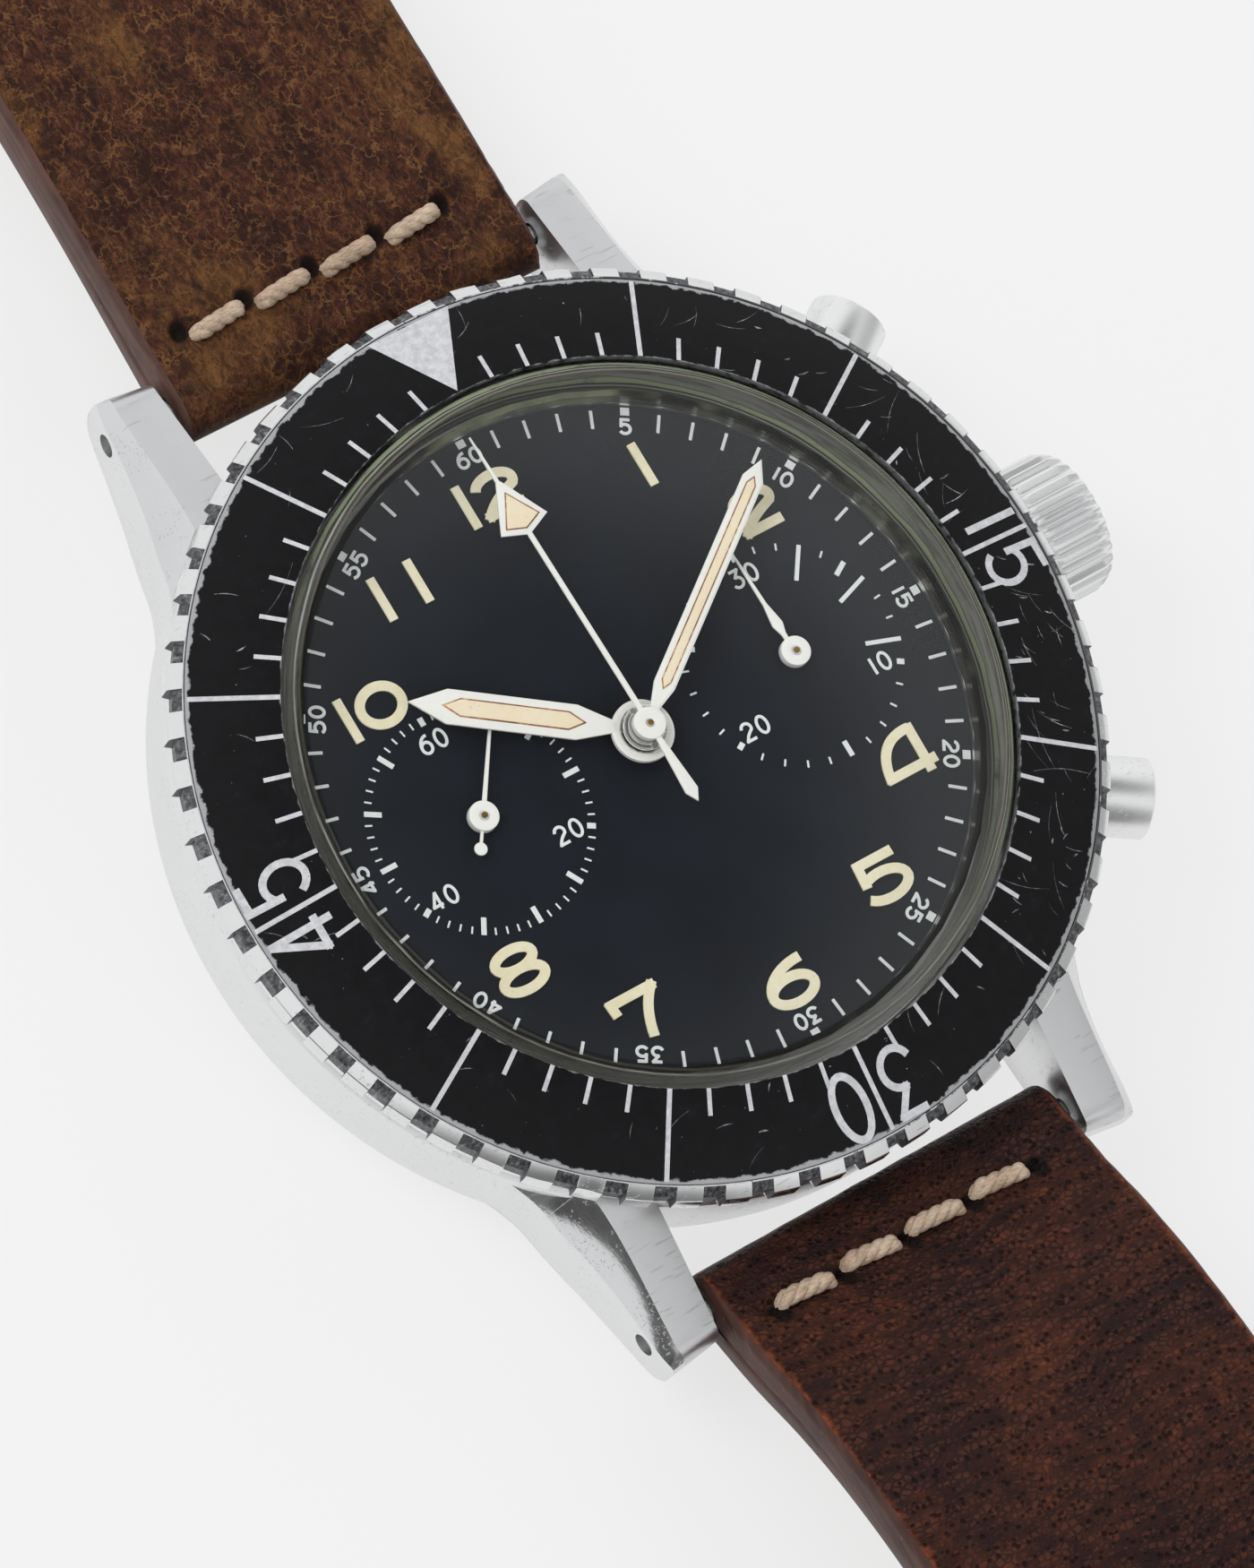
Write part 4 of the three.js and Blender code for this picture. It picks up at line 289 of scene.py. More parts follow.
def bend(start, control, end, steps=8):
    return [tuple((1 - t) ** 2 * a + 2 * t * (1 - t) * b + t * t * c for a, b, c in zip(start, control, end))
            for t in (i / steps for i in range(steps + 1))]


def eased(corners, width, steps=3, closed=True):
    """Every corner of a polyline as a small curve that starts and ends `width` from it."""
    made = []
    for i, corner in enumerate(corners):
        here = Vector(corner)
        if not closed and i in (0, len(corners) - 1):
            made.append(tuple(here))
            continue
        back, ahead = Vector(corners[i - 1]) - here, Vector(corners[(i + 1) % len(corners)]) - here
        reach_back, reach_ahead = min(width, back.length * 0.4), min(width, ahead.length * 0.4)
        made += bend(here + back.normalized() * reach_back, here, here + ahead.normalized() * reach_ahead, steps)
    return made


def grid(rows, count, ring=True, closed=True):
    """Quads between rows of points. `ring` joins the last row to the first, `closed` the two ends of each row."""
    return [(i * count + j, (i + 1) % rows * count + j, (i + 1) % rows * count + (j + 1) % count,
             i * count + (j + 1) % count)
            for i in range(rows if ring else rows - 1) for j in range(count if closed else count - 1)]


def capped(rows, count):
    """The faces of a closed section that is carried along a line, with a cap at its start and one at its end."""
    last = (rows - 1) * count
    return grid(rows, count, ring=False) + [tuple(range(count)), tuple(last + j for j in range(count))]


def turned(profile, steps, shape=None, closed=True):
    """A profile of (radius, height) swept round the vertical axis: points and faces."""
    points = []
    for i in range(steps):
        turn = TURN * i / steps
        for radius, height in profile:
            r, h = shape(turn, radius, height) if shape else (radius, height)
            points.append((r * math.cos(turn), r * math.sin(turn), h))
    return points, grid(steps, len(profile), closed=closed)


def mesh_of(name, points, faces, weld=0.0005):
    """A clean mesh, in metres, from points in millimetres."""
    shell = bmesh.new()
    corners = [shell.verts.new(Vector(p) * MM) for p in points]
    for face in faces:
        try:
            shell.faces.new([corners[i] for i in face])
        except ValueError:
            pass
    bmesh.ops.remove_doubles(shell, verts=shell.verts, dist=weld * MM)
    bmesh.ops.recalc_face_normals(shell, faces=shell.faces)
    mesh = bpy.data.meshes.new(name)
    shell.to_mesh(mesh)
    shell.free()
    return mesh


def unwelded(name, points, faces):
    """A mesh, in metres, with its points in millimetres taken just as they are."""
    mesh = bpy.data.meshes.new(name)
    mesh.from_pydata([Vector(p) * MM for p in points], [], faces)
    return mesh


def marked(mesh, finishes, marks):
    """The same mesh with several finishes. Each face's mark is the number of its finish."""
    for finish in finishes:
        mesh.materials.append(finish)
    mesh.polygons.foreach_set("material_index", marks)
    return mesh


def evaluated(host):
    """The mesh that an object's modifiers make of it."""
    return bpy.data.meshes.new_from_object(host.evaluated_get(bpy.context.evaluated_depsgraph_get()))


def place_piece(name, mesh, finish, body, replaces=(), crease=32):
    """A piece that rides on a body. `finish` is for a mesh that has none of its own yet."""
    piece = linked(name, mesh)
    if not mesh.materials:
        mesh.materials.append(finish)
    mesh.shade_smooth()
    mesh.set_sharp_from_angle(angle=math.radians(crease))
    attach(piece, body)
    if replaces:
        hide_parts(*([replaces] if isinstance(replaces, str) else replaces))
    return piece


def moved(points, place=(0, 0, 0), turn=0.0, along_x=False):
    """Points turned about the vertical and moved; with along_x the sweep's own axis first becomes +X."""
    out = []
    for x, y, z in points:
        if along_x:
            x, y, z = z, y, -x
        c, s = math.cos(turn), math.sin(turn)
        out.append((x * c - y * s + place[0], x * s + y * c + place[1], z + place[2]))
    return out


def joined(*parts):
    points, faces = [], []
    for some_points, some_faces in parts:
        base = len(points)
        points += some_points
        faces += [tuple(i + base for i in face) for face in some_faces]
    return points, faces


def carved(mesh, others, operation):
    """One exact boolean after another, on meshes that are thrown away afterwards."""
    host, tools = linked("host", mesh), []
    for other in others:
        tool = linked("tool", other)
        step = host.modifiers.new("cut", "BOOLEAN")
        step.operation, step.solver, step.object = operation, "EXACT", tool
        tools.append(tool)
    result = evaluated(host)
    for used in [host, *tools]:
        bpy.data.objects.remove(used)
    return result


print("shaping tools ready")

# %% [markdown]
# Steel is one metal with several finishes. The flanks and lugs are satin: lapped on a wheel, which leaves long fine
# lines and a soft highlight. Bevels and rims are polished and then carry decades of hairline scratches. A scratch is
# thin, long and random in direction, so it comes from noise that is stretched ten times or more along one way and cut
# off near its top; four such layers at different turns look like wear and not like a pattern.

# %% Steel finishes
def hairlines(recipe, spot, scale, amount=0.68):
    """A mask of thin scratches: 1 in a scratch and 0 beside it."""
    total = None
    for i, turn in enumerate((0.4, 1.1, 1.9, 2.6)):
        reach = 0.04 + 0.02 * i
        lines = recipe.noise(recipe.stretch(spot, (scale * reach, scale, scale), (0, 0, turn)), 1.0, 1, 0.5)
        patches = recipe.noise(recipe.stretch(spot, (0.31, 0.27, 0.3), (0, 0, turn + i)), 1.0 + 0.3 * i, 2)
        mask = lines.above(amount, 0.01) * patches.above(0.56, 0.05)
        total = mask if total is None else total + mask
    return total.clamp()


def steel(name, color, rough, lines, line_depth, scratches):
    recipe = Recipe(name)
    spot = recipe.where()
    grain = recipe.noise(recipe.stretch(spot, lines), 1.0, 3, 0.6)
    clouds = recipe.noise(spot, 0.35, 2)
    worn = hairlines(recipe, spot, 7.0)
    shade = recipe.mix((grain * 0.5 + clouds * 0.5).clamp(), tuple(c * 0.9 for c in color), color)
    roughness = (grain * 0.12 + clouds * 0.1 + worn * 0.2 + (rough - 0.1)).clamp()
    depth = recipe.bump(grain, line_depth, 0.6)
    cut = recipe.bump(worn, 0.01, scratches, depth)
    return recipe.surface(base_color=recipe.mix(worn * 0.5, shade, tuple(c * 0.78 for c in color)),
                          metallic=1.0, roughness=roughness, normal=cut)


SILVER = (0.87, 0.875, 0.88)
satin_steel = steel("satin_steel", SILVER, 0.36, (6, 6, 0.5), 0.004, 0.2)
polished_steel = steel("polished_steel", (0.83, 0.835, 0.84), 0.14, (3, 3, 3), 0.0015, 0.5)
# The lug tops and the bevels are the same steel as the satin flanks and the polished rims; their darker colours are
# painted shade and painted dark reflection.
shaded_lug_top_steel = steel("shaded_lug_top_steel", (0.72, 0.725, 0.735), 0.36, (6, 0.5, 6), 0.004, 0.25)
shaded_bevel_steel = steel("shaded_bevel_steel", (0.74, 0.745, 0.755), 0.13, (5, 1.2, 5), 0.006, 0.8)
turned_steel = steel("turned_steel", (0.93, 0.935, 0.94), 0.34, (0.4, 7, 7), 0.003, 0.3)
print("steel finishes:", satin_steel.name, polished_steel.name, turned_steel.name)

# %% [markdown]
# The middle of the case is turned round, and its four lugs sweep out of it. On this kind of case the lug's outer side
# leaves the round flank at a tangent, its top slopes down to the tip, and a polished bevel between the two widens
# towards the case. Each lug is lofted through sections along its length, because the bevel's two edges follow
# different curves, and then all four are merged with the turned body by exact booleans so that they meet in clean
# creases. The holes for the spring bars, the crown's tube and the two pushers are cut last.

# %% Case middle with its lugs
CASE_RADIUS, CASE_UNDER, CASE_DECK, STEM_HEIGHT = 21.05, 2.0, 8.2, 6.0
NECK_RADIUS, MOVEMENT_BORE, THREAD_RADIUS = 18.3, 16.0, 16.2
LUG_INSIDE, LUG_TIP, BAR_PLACE, BAR_HEIGHT = 10.1, 25.0, 23.2, 4.9
LUG_START, LUG_RUN, TIP_CENTRE, TIP_ROUND, TIP_SLANT = 13, 11.1, 24.1, 0.9, 0.35
BAR_BORE, STEM_BORE, PUSHER_BORE = 0.55, 1.3, 1.25
PUSHER_TURN = math.radians(31.5)
LUG_OUTLINE = [(13.0, 16.3), (14.2, 15.45), (15.0, 14.95), (16.0, 14.45), (17.6, 13.95), (19.0, 13.5), (20.5, 13.2),
               (22.0, 13.0), (24.0, 12.82), (25.0, 12.6)]
LUG_CREST = [(13.0, 13.6), (17.9, 12.5), (24.1, 12.2), (25.0, 12.05)]
LUG_TOP = [(13.0, 8.2), (16.6, 8.2), (18.0, 7.9), (24.1, 6.4)]
LUG_UNDER = [(13.0, 2.0), (17.0, 2.0), (21.0, 2.35), (24.1, 3.2)]
LUG_EDGE = [(13.0, 7.6), (15.0, 7.0), (17.6, 6.1), (20.5, 5.75), (24.1, 5.75)]


def follow(points, place):
    """The height of a smooth line through (place, height) points."""
    for i in range(len(points) - 1):
        if place <= points[i + 1][0] or i == len(points) - 2:
            (x0, y0), (x1, y1) = points[i], points[i + 1]
            before = points[max(i - 1, 0)]
            after = points[min(i + 2, len(points) - 1)]
            t = min(max((place - x0) / (x1 - x0), 0), 1)
            wide = x1 - x0
            m0 = (y1 - before[1]) / (x1 - before[0]) * wide
            m1 = (after[1] - y0) / (after[0] - x0) * wide
            return ((2 * t ** 3 - 3 * t * t + 1) * y0 + (t ** 3 - 2 * t * t + t) * m0
                    + (3 * t * t - 2 * t ** 3) * y1 + (t ** 3 - t * t) * m1)


CASE_FINISHES, BEVEL_MARK, LUG_TOP_MARK = [satin_steel, shaded_bevel_steel, shaded_lug_top_steel], 1, 2


def lug(side_x, side_y):
    """One lug with softened edges, on the side of the case that the two signs tell."""
    points, count = [], 0
    places = [LUG_START + LUG_RUN * i / 26 for i in range(27)]
    places += [TIP_CENTRE + TIP_ROUND * math.sin(math.radians(a)) for a in range(15, 91, 15)]
    for y in places:
        past, straight = max(0, y - (LUG_TIP - TIP_ROUND)), min(y, TIP_CENTRE)
        drop = TIP_ROUND - math.sqrt(max(0, TIP_ROUND ** 2 - past ** 2))
        top, under = follow(LUG_TOP, straight) - drop, follow(LUG_UNDER, straight) + drop
        edge = min(follow(LUG_EDGE, straight), top - 0.25)
        crest, outside = follow(LUG_CREST, y), follow(LUG_OUTLINE, y)
        tuck = min(max((19.5 - y) / 5.5, 0.12), 1)
        turn_under = bend((outside, under + 2.4 * tuck), (outside, under), (outside - 2.9 * tuck, under), 5)
        ring = [(LUG_INSIDE, under), (LUG_INSIDE, top), (crest, top), (outside, edge)] + turn_under
        slant, count = TIP_SLANT * max(0, y - TIP_CENTRE) / TIP_ROUND, len(ring)
        points += [(side_x * x, side_y * (y - slant * (outside - x) / 2.6), z) for x, z in ring]
    around = [{1: LUG_TOP_MARK, 2: BEVEL_MARK}.get(j, 0) for j in range(count)]
    made = marked(mesh_of("lug", points, capped(len(places), count)), CASE_FINISHES,
                  around * (len(places) - 1) + [0, 0])
    rounding = linked("lug", made)
    step = rounding.modifiers.new("soft_edges", "BEVEL")
    step.width, step.segments, step.limit_method, step.angle_limit = 0.09 * MM, 2, "ANGLE", math.radians(28)
    softened = evaluated(rounding)
    bpy.data.objects.remove(rounding)
    return softened


def rod(radius, start, end, turn=0.0, y=0.0, z=STEM_HEIGHT):
    """A plain cylinder along +X, then turned about the vertical."""
    points, faces = turned([(0, start), (radius, start), (radius, end), (0, end)], 28)
    return mesh_of("rod", moved(points, (0, y, z), turn, along_x=True), faces)


flank = bend((18.4, CASE_UNDER), (CASE_RADIUS, CASE_UNDER), (CASE_RADIUS, 4.4), 10)
body_profile = eased([(THREAD_RADIUS, 2.45), (17.1, 2.45), (17.1, CASE_UNDER)], 0.08, closed=False) + flank + eased([
    (CASE_RADIUS, 5.0), (CASE_RADIUS, 7.6), (20.7, CASE_DECK), (NECK_RADIUS, CASE_DECK), (NECK_RADIUS, 10.5),
    (17.0, 10.5), (16.75, 10.3), (16.75, 9.45), (15.5, 9.45), (15.5, 9.05), (MOVEMENT_BORE, 9.05),
    (MOVEMENT_BORE, 3.4), (THREAD_RADIUS, 3.4)], 0.08, closed=False)
case_mesh = mesh_of("case_middle_steel", *turned(body_profile, 192))
for finish in CASE_FINISHES:
    case_mesh.materials.append(finish)
case_mesh = carved(case_mesh, [lug(x, y) for x in (-1, 1) for y in (-1, 1)], "UNION")
holes = [rod(BAR_BORE, -16, 16, y=y, z=BAR_HEIGHT) for y in (-BAR_PLACE, BAR_PLACE)]
holes += [rod(STEM_BORE, 15, 23)] + [rod(PUSHER_BORE, 17.6, 23, turn) for turn in (PUSHER_TURN, -PUSHER_TURN)]
case_mesh = carved(case_mesh, holes, "DIFFERENCE")
place_piece("case_middle_steel", case_mesh, satin_steel, "case", "case_middle", 24)
print("case middle:", len(case_mesh.polygons), "faces")

# %% [markdown]
# The turning ring is gripped by sixty notches. Each is a short slot across the outer wall that runs out into the
# polished slope above it. A notch is cut here by pulling in the swept points over half of each sixtieth of the turn, so
# the sweep needs points close to both sides of every notch. Years of knocks have dented the rim, and a little noise on
# its radius shows them.

# %% Bezel ring
NOTCHES, NOTCH_SHARE, NOTCH_DEPTH, NOTCH_TOP = 60, 0.5, 0.36, 10.44
GRIP_INNER, GRIP_UNDER = 21.15, 8.9
BEZEL_RADIUS, BEZEL_RIM, INSERT_OUTER, INSERT_INNER = 21.6, 10.35, 20.9, 16.85
INSERT_TOP, INSERT_EDGE = 11.8, 10.75
STEPS_PER_NOTCH = (0.0, 0.02, 0.04, 0.5 * NOTCH_SHARE, NOTCH_SHARE - 0.04, NOTCH_SHARE - 0.02, NOTCH_SHARE, 0.75)


def notched_ring(profile):
    """The ring's points and faces, and for each face the number of its finish: polished, notch with painted shade, or
    worn land with painted dark reflection.
    """
    points, count = [], len(profile)
    turns = [(n + share - NOTCH_SHARE / 2) / NOTCHES for n in range(NOTCHES) for share in STEPS_PER_NOTCH]
    for index, share in enumerate(turns):
        angle = TURN * share
        inside = index % len(STEPS_PER_NOTCH) in (2, 3, 4)
        dents = noise.noise(Vector((math.cos(angle) * 5, math.sin(angle) * 5, 1.5)))
        knock = 0.09 * dents + (0.18 * max(0, dents - 0.28) if index % 3 else 0)
        for radius, height in profile:
            r, h = radius, height
            if radius > GRIP_INNER and height > GRIP_UNDER:
                r = radius - abs(knock) * (1 if height > 9.6 else 0.3)
                if inside:
                    r = min(r, BEZEL_RADIUS - NOTCH_DEPTH * (1 if height < 10 else 0.62))
                    h = min(h, NOTCH_TOP) if height > 10 else h
            points.append((r * math.cos(angle), r * math.sin(angle), h))
    marks = []
    for i in range(len(turns)):
        for j in range(count):
            (radius, height), (next_radius, next_height) = profile[j], profile[(j + 1) % count]
            in_notch = i % len(STEPS_PER_NOTCH) in (1, 2, 3, 4) and radius > GRIP_INNER and 9.0 < height < 10.6
            on_land = min(height, next_height) > 10.7 and min(radius, next_radius) > INSERT_OUTER
            marks.append(1 if in_notch else 2 if on_land else 0)
    return points, grid(len(turns), count), marks


def notch_finish():
    recipe = Recipe("notch_grey_painted_shade")
    spot = recipe.where()
    streaks = recipe.noise(recipe.stretch(spot, (5, 5, 0.8)), 1.0, 4, 0.65)
    # The notch walls are painted a darker grey than the polished steel around them: painted shade in the recesses.
    shade = recipe.ramp(streaks, (0.35, tone(54, 54, 56)), (0.55, tone(104, 105, 108)), (0.7, tone(158, 159, 162)))
    return recipe.surface(base_color=shade, metallic=0.85, roughness=(streaks * 0.3 + 0.3).clamp(),
                          normal=recipe.bump(streaks, 0.02, 0.7))


def land_finish():
    recipe = Recipe("worn_land_and_painted_reflection")
    spot = recipe.where()
    x = recipe.parts(spot)[0]
    chips = recipe.noise(spot, 2.2, 5, 0.72)
    # The black grows towards +x: partly worn black paint, partly a painted dark reflection on the right-hand side of
    # the rim.
    black = (chips + x * 0.014).above(0.57, 0.05)
    shade = recipe.ramp(chips, (0.35, tone(196, 197, 199)), (0.65, tone(226, 227, 228)))
    return recipe.surface(base_color=recipe.mix(black * 0.92, shade, tone(30, 30, 33)), metallic=1 - black,
                          roughness=(black * 0.25 + chips * 0.2 + 0.1).clamp(), normal=recipe.bump(chips, 0.03, 0.6))


def cone(radius):
    return INSERT_TOP - (INSERT_TOP - INSERT_EDGE) * (radius - INSERT_INNER) / (INSERT_OUTER - INSERT_INNER)


ring_profile = eased([(18.55, 8.45), (CASE_RADIUS, 8.45), (CASE_RADIUS, 8.95), (BEZEL_RADIUS, 9.35),
                      (BEZEL_RADIUS, BEZEL_RIM), (20.93, 10.8), (20.91, cone(20.95) - 0.5), (16.9, cone(16.9) - 0.56),
                      (16.9, 10.6), (18.9, 10.4), (18.9, 9.2), (18.55, 9.2)], 0.09)
points, faces, marks = notched_ring(ring_profile)
ring_mesh = marked(mesh_of("bezel_steel", points, faces), [polished_steel, notch_finish(), land_finish()], marks)
bezel_steel = place_piece("bezel_steel", ring_mesh, polished_steel, "bezel", "bezel_ring", 30)
print("bezel ring:", len(bezel_steel.data.polygons), "faces,", NOTCHES, "notches")

# %% [markdown]
# The ring's black insert is anodised metal. Its markings are not ink: they are bare metal where the black was kept
# off, so they shine like brushed silver. Fifty years have worn the black away along both rims and left scratches, pits
# and dust. All of that is one finish: a black coat, with masks that let the metal below come through.

# %% Insert and its finish
def insert_finish():
    recipe = Recipe("insert_black")
    spot = recipe.where()
    x, y, _ = recipe.parts(spot)
    radius = (x * x + y * y) ** 0.5
    rough_edge = recipe.noise(spot, 2.2, 4) * 0.55
    outer_wear = (radius + rough_edge).above(21.0, 0.05)
    inner_wear = (INSERT_INNER * 2 - radius + rough_edge * 0.5).above(16.98, 0.05)
    chips = recipe.noise(spot, 3.1, 3, 0.7).above(0.735, 0.012)
    worn = (outer_wear + inner_wear + chips * 0.7).clamp()
    dust = recipe.noise(spot, 1.3, 5, 0.7)
    black = recipe.ramp(dust, (0.3, tone(8, 8, 10)), (0.62, tone(15, 15, 18)), (0.8, tone(31, 31, 34)))
    height = recipe.bump(recipe.noise(spot, 9, 3), 0.004, 0.6)
    cut = recipe.bump(1 - worn, 0.012, 0.7, height)
    return recipe.surface(base_color=recipe.mix(worn, black, tone(176, 177, 180)), metallic=worn * 0.7,
                          roughness=(dust * 0.25 + 0.3).clamp(), normal=cut,
                          specular_ior_level=0.17)


insert_black = insert_finish()
insert_profile = eased([(INSERT_INNER, INSERT_TOP - 0.5), (INSERT_OUTER, INSERT_EDGE - 0.5),
                        (INSERT_OUTER, INSERT_EDGE), (INSERT_INNER, INSERT_TOP)], 0.045)
bezel_plate = place_piece("bezel_plate", mesh_of("bezel_plate", *turned(insert_profile, 240)), insert_black,
                          "bezel", "bezel_insert", 30)
print("insert:", len(bezel_plate.data.polygons), "faces")

# %% [markdown]
# Numerals and scales are drawn as a sign writer would: strokes of even width along a centre line. Each digit is a few
# lines and arcs in a box one unit wide and one high. `ribbon` gives a stroke its width, and every print is laid on
# its surface as a very thin mesh, so that it follows the cone of the insert or stands a little proud of the dial as
# paint does. Real geometry stays sharp at any distance, where a drawn texture would blur.

# %% Strokes and digits
GLYPHS = {
    "0": [arc(0.5, 0.5, 0.5, 0.5, 90, 450, 28)],
    "1": [[(0.5, 0), (0.5, 1)]],
    "2": [arc(0.5, 0.7, 0.5, 0.3, 172, -28, 16) + bend((0.86, 0.52), (0.3, 0.34), (0.02, 0.0), 6)[1:] + [(1, 0)]],
    "3": [[(0.04, 1), (0.92, 1), (0.42, 0.6)] + arc(0.46, 0.3, 0.52, 0.3, 88, -160, 18)],
    "4": [[(0.76, 1), (0.02, 0.24), (1.02, 0.24)], [(0.76, 1.03), (0.76, 0)]],
    "f": [bend((0.82, 1), (0.12, 1.06), (0.0, 0.22), 12) + [(1.0, 0.22)], [(0.81, 1.08), (0.79, 0)]],
    "5": [[(0.96, 1), (0.02, 1)], [(0.12, 1.08), (0.07, 0.44)], arc(0.46, 0.33, 0.54, 0.33, 138, -150, 20)],
    "6": [arc(0.95, 0.33, 0.95, 0.67, 88, 176, 12), arc(0.5, 0.33, 0.5, 0.33, 0, 360, 26)],
    "7": [[(0.02, 0.72), (0.0, 1)] + [(1, 1)] + bend((1, 1), (0.62, 0.62), (0.5, 0), 8)[1:]],
    "8": [arc(0.5, 0.76, 0.46, 0.24, 0, 360, 24), arc(0.5, 0.26, 0.5, 0.26, 0, 360, 26)],
}


def ribbon(line, width, step=0.35):
    """A stroke as points in the plane and quads between its two sides, cut fine enough to follow a curved surface."""
    dense = [line[0]]
    for a, b in zip(line, line[1:]):
        pieces = max(1, math.ceil(math.dist(a, b) / step))
        dense += [(a[0] + (b[0] - a[0]) * k / pieces, a[1] + (b[1] - a[1]) * k / pieces) for k in range(1, pieces + 1)]
    loop = math.dist(line[0], line[-1]) < 0.001
    ways = [(Vector(b) - Vector(a)).normalized() for a, b in zip(dense, dense[1:])]
    points, count = [], len(dense) - loop
    for i, here in enumerate(dense[:count]):
        before = ways[i - 1] if i > 0 or loop else ways[0]
        after = ways[i] if i < len(ways) else ways[-1]
        middle = (before + after).normalized() if (before + after).length > 0.01 else after
        side = Vector((-middle.y, middle.x))
        reach = width / 2 / max(0.45, side.dot(Vector((-after.y, after.x))))
        points += [Vector(here) + side * reach, Vector(here) - side * reach]
    ends = [(i, (i + 1) % count) for i in range(len(dense) - 1)]
    return points, [(2 * i, 2 * i + 1, 2 * j + 1, 2 * j) for i, j in ends]


def parted(line, width, sharpest=50):
    """A stroke cut where it turns sharply, each cut end run on a little so that the parts overlap in a full corner."""
    parts, start = [], 0
    for i in range(1, len(line) - 1):
        before, after = Vector(line[i]) - Vector(line[i - 1]), Vector(line[i + 1]) - Vector(line[i])
        if min(before.length, after.length) > 0.001 and before.angle(after) > math.radians(sharpest):
            parts.append(list(line[start:i + 1]))
            start = i
    parts.append(list(line[start:]))
    for number, part in enumerate(parts):
        for end, beside, cut in ((0, 1, number > 0), (-1, -2, number < len(parts) - 1)):
            if cut:
                way = (Vector(part[end]) - Vector(part[beside])).normalized()
                part[end] = tuple(Vector(part[end]) + way * width * 0.42)
    return parts


def lettering(text, wide, high, gap, stroke, place, turn=0.0):
    """The strokes of a number, centred on `place` and turned clockwise: a list of flat ribbons."""
    widths = [wide * (0.3 if digit == "1" else 1.0) for digit in text]
    left = -(sum(widths) + gap * (len(text) - 1)) / 2
    made = []
    for digit, room in zip(text, widths):
        for line in GLYPHS[digit]:
            shift = -0.5 * (wide - room) if digit == "1" else 0
            flat = [(left + shift + x * wide, (y - 0.5) * high) for x, y in line]
            c, s = math.cos(-turn), math.sin(-turn)
            for part in parted(flat, stroke):
                made.append(ribbon([(x * c - y * s + place[0], x * s + y * c + place[1]) for x, y in part], stroke))
        left += room + gap
    return made


def radial(turn, inner, outer, width, centre=(0, 0)):
    way = (math.sin(turn), math.cos(turn))
    return ribbon([(centre[0] + way[0] * r, centre[1] + way[1] * r) for r in (inner, outer)], width)


def laid(ribbons, surface, thickness):
    """Ribbons lifted on to a surface: the top face of each, with short walls down to the surface."""
    points, faces = [], []
    for number, (flat, quads) in enumerate(ribbons):
        base, count = len(points), len(flat)
        lift = thickness + 0.003 * (number % 4)
        points += [(p[0], p[1], surface(p[0], p[1]) + lift) for p in flat]
        points += [(p[0], p[1], surface(p[0], p[1]) - 0.004) for p in flat]
        faces += [tuple(base + i for i in quad) for quad in quads]
        faces += [tuple(base + count + i for i in reversed(quad)) for quad in quads]
        uses = {}
        for quad in quads:
            for a, b in zip(quad, quad[1:] + quad[:1]):
                uses[(a, b)] = True
        for a, b in list(uses):
            if (b, a) not in uses:
                faces.append((base + b, base + a, base + a + count, base + b + count))
    return points, faces


print("digits:", " ".join(sorted(GLYPHS)))

# %% [markdown]
# The scale on the insert has a long line every five minutes, a short tick every minute and a triangle at the top
# that is read against the minute hand. The numbers 15, 30 and 45 stand with their tops outward and are split by the
# long line of their own minute.

# %% Markings on the insert
def on_insert(x, y):
    return cone(math.hypot(x, y))


def silver_print():
    recipe = Recipe("insert_silver")
    spot = recipe.where()
    rubbed = recipe.noise(spot, 3.0, 4, 0.7)
    lost = recipe.noise(spot, 6.0, 3, 0.7).above(0.7, 0.02)
    shade = recipe.ramp(rubbed, (0.3, tone(184, 186, 190)), (0.7, tone(222, 223, 226)))
    return recipe.surface(base_color=recipe.mix(lost, shade, tone(60, 60, 63)), metallic=0.25, roughness=0.42,
                          normal=recipe.bump(rubbed, 0.004))


scale = []
for minute in range(1, 60):
    turn = TURN * minute / 60
    reach_out = INSERT_OUTER - 0.1 if minute % 5 == 0 else INSERT_INNER + 1.2
    scale.append(radial(turn, INSERT_INNER + 0.04, reach_out, 0.22 if minute % 5 == 0 else 0.2))
for number, turn in (("15", 90), ("30", 180), ("45", 270)):
    turn = math.radians(turn)
    for digit, side in zip(number, (-1, 1)):
        offset, middle = side * (0.85 if digit == "1" else 1.35), 19.15
        spot = (middle * math.sin(turn) + offset * math.cos(turn), middle * math.cos(turn) - offset * math.sin(turn))
        scale += lettering(digit, 1.5, 2.9, 0, 0.34, spot, turn)
SCRATCHES = 110
chance = random.Random(19)
scratches = []
while len(scratches) < SCRATCHES:
    radius, turn = chance.uniform(17.0, 20.8), chance.choice((chance.uniform(0, 360), chance.gauss(105, 35)))
    way = math.radians(turn)
    heading = way + chance.choice((chance.gauss(0.5, 0.5), chance.uniform(0, 3.14)))
    length = min(0.25 + chance.expovariate(1.1), 4.5)
    middle = Vector((radius * math.sin(way), radius * math.cos(way)))
    along = Vector((math.sin(heading), math.cos(heading)))
    across = Vector((along.y, -along.x))
    line = [middle + along * length * (k / 8 - 0.5) + across * 0.06 * length * math.sin(k * 0.39) for k in range(9)]
    if all(INSERT_INNER + 0.06 < point.length < INSERT_OUTER - 0.08 for point in line):
        wide = chance.uniform(0.012, 0.045) if length > 0.6 else chance.uniform(0.03, 0.09)
        flat = [point + across * side * wide / 2 * math.sin(math.pi * (k + 0.6) / 9.2)
                for k, point in enumerate(line) for side in (1, -1)]
        scratches.append((flat, [(2 * k, 2 * k + 1, 2 * k + 3, 2 * k + 2) for k in range(8)]))
TRIANGLE_FOOT, TRIANGLE_TALL, TRIANGLE_HALF = 16.95, 3.8, 2.15
triangle = []
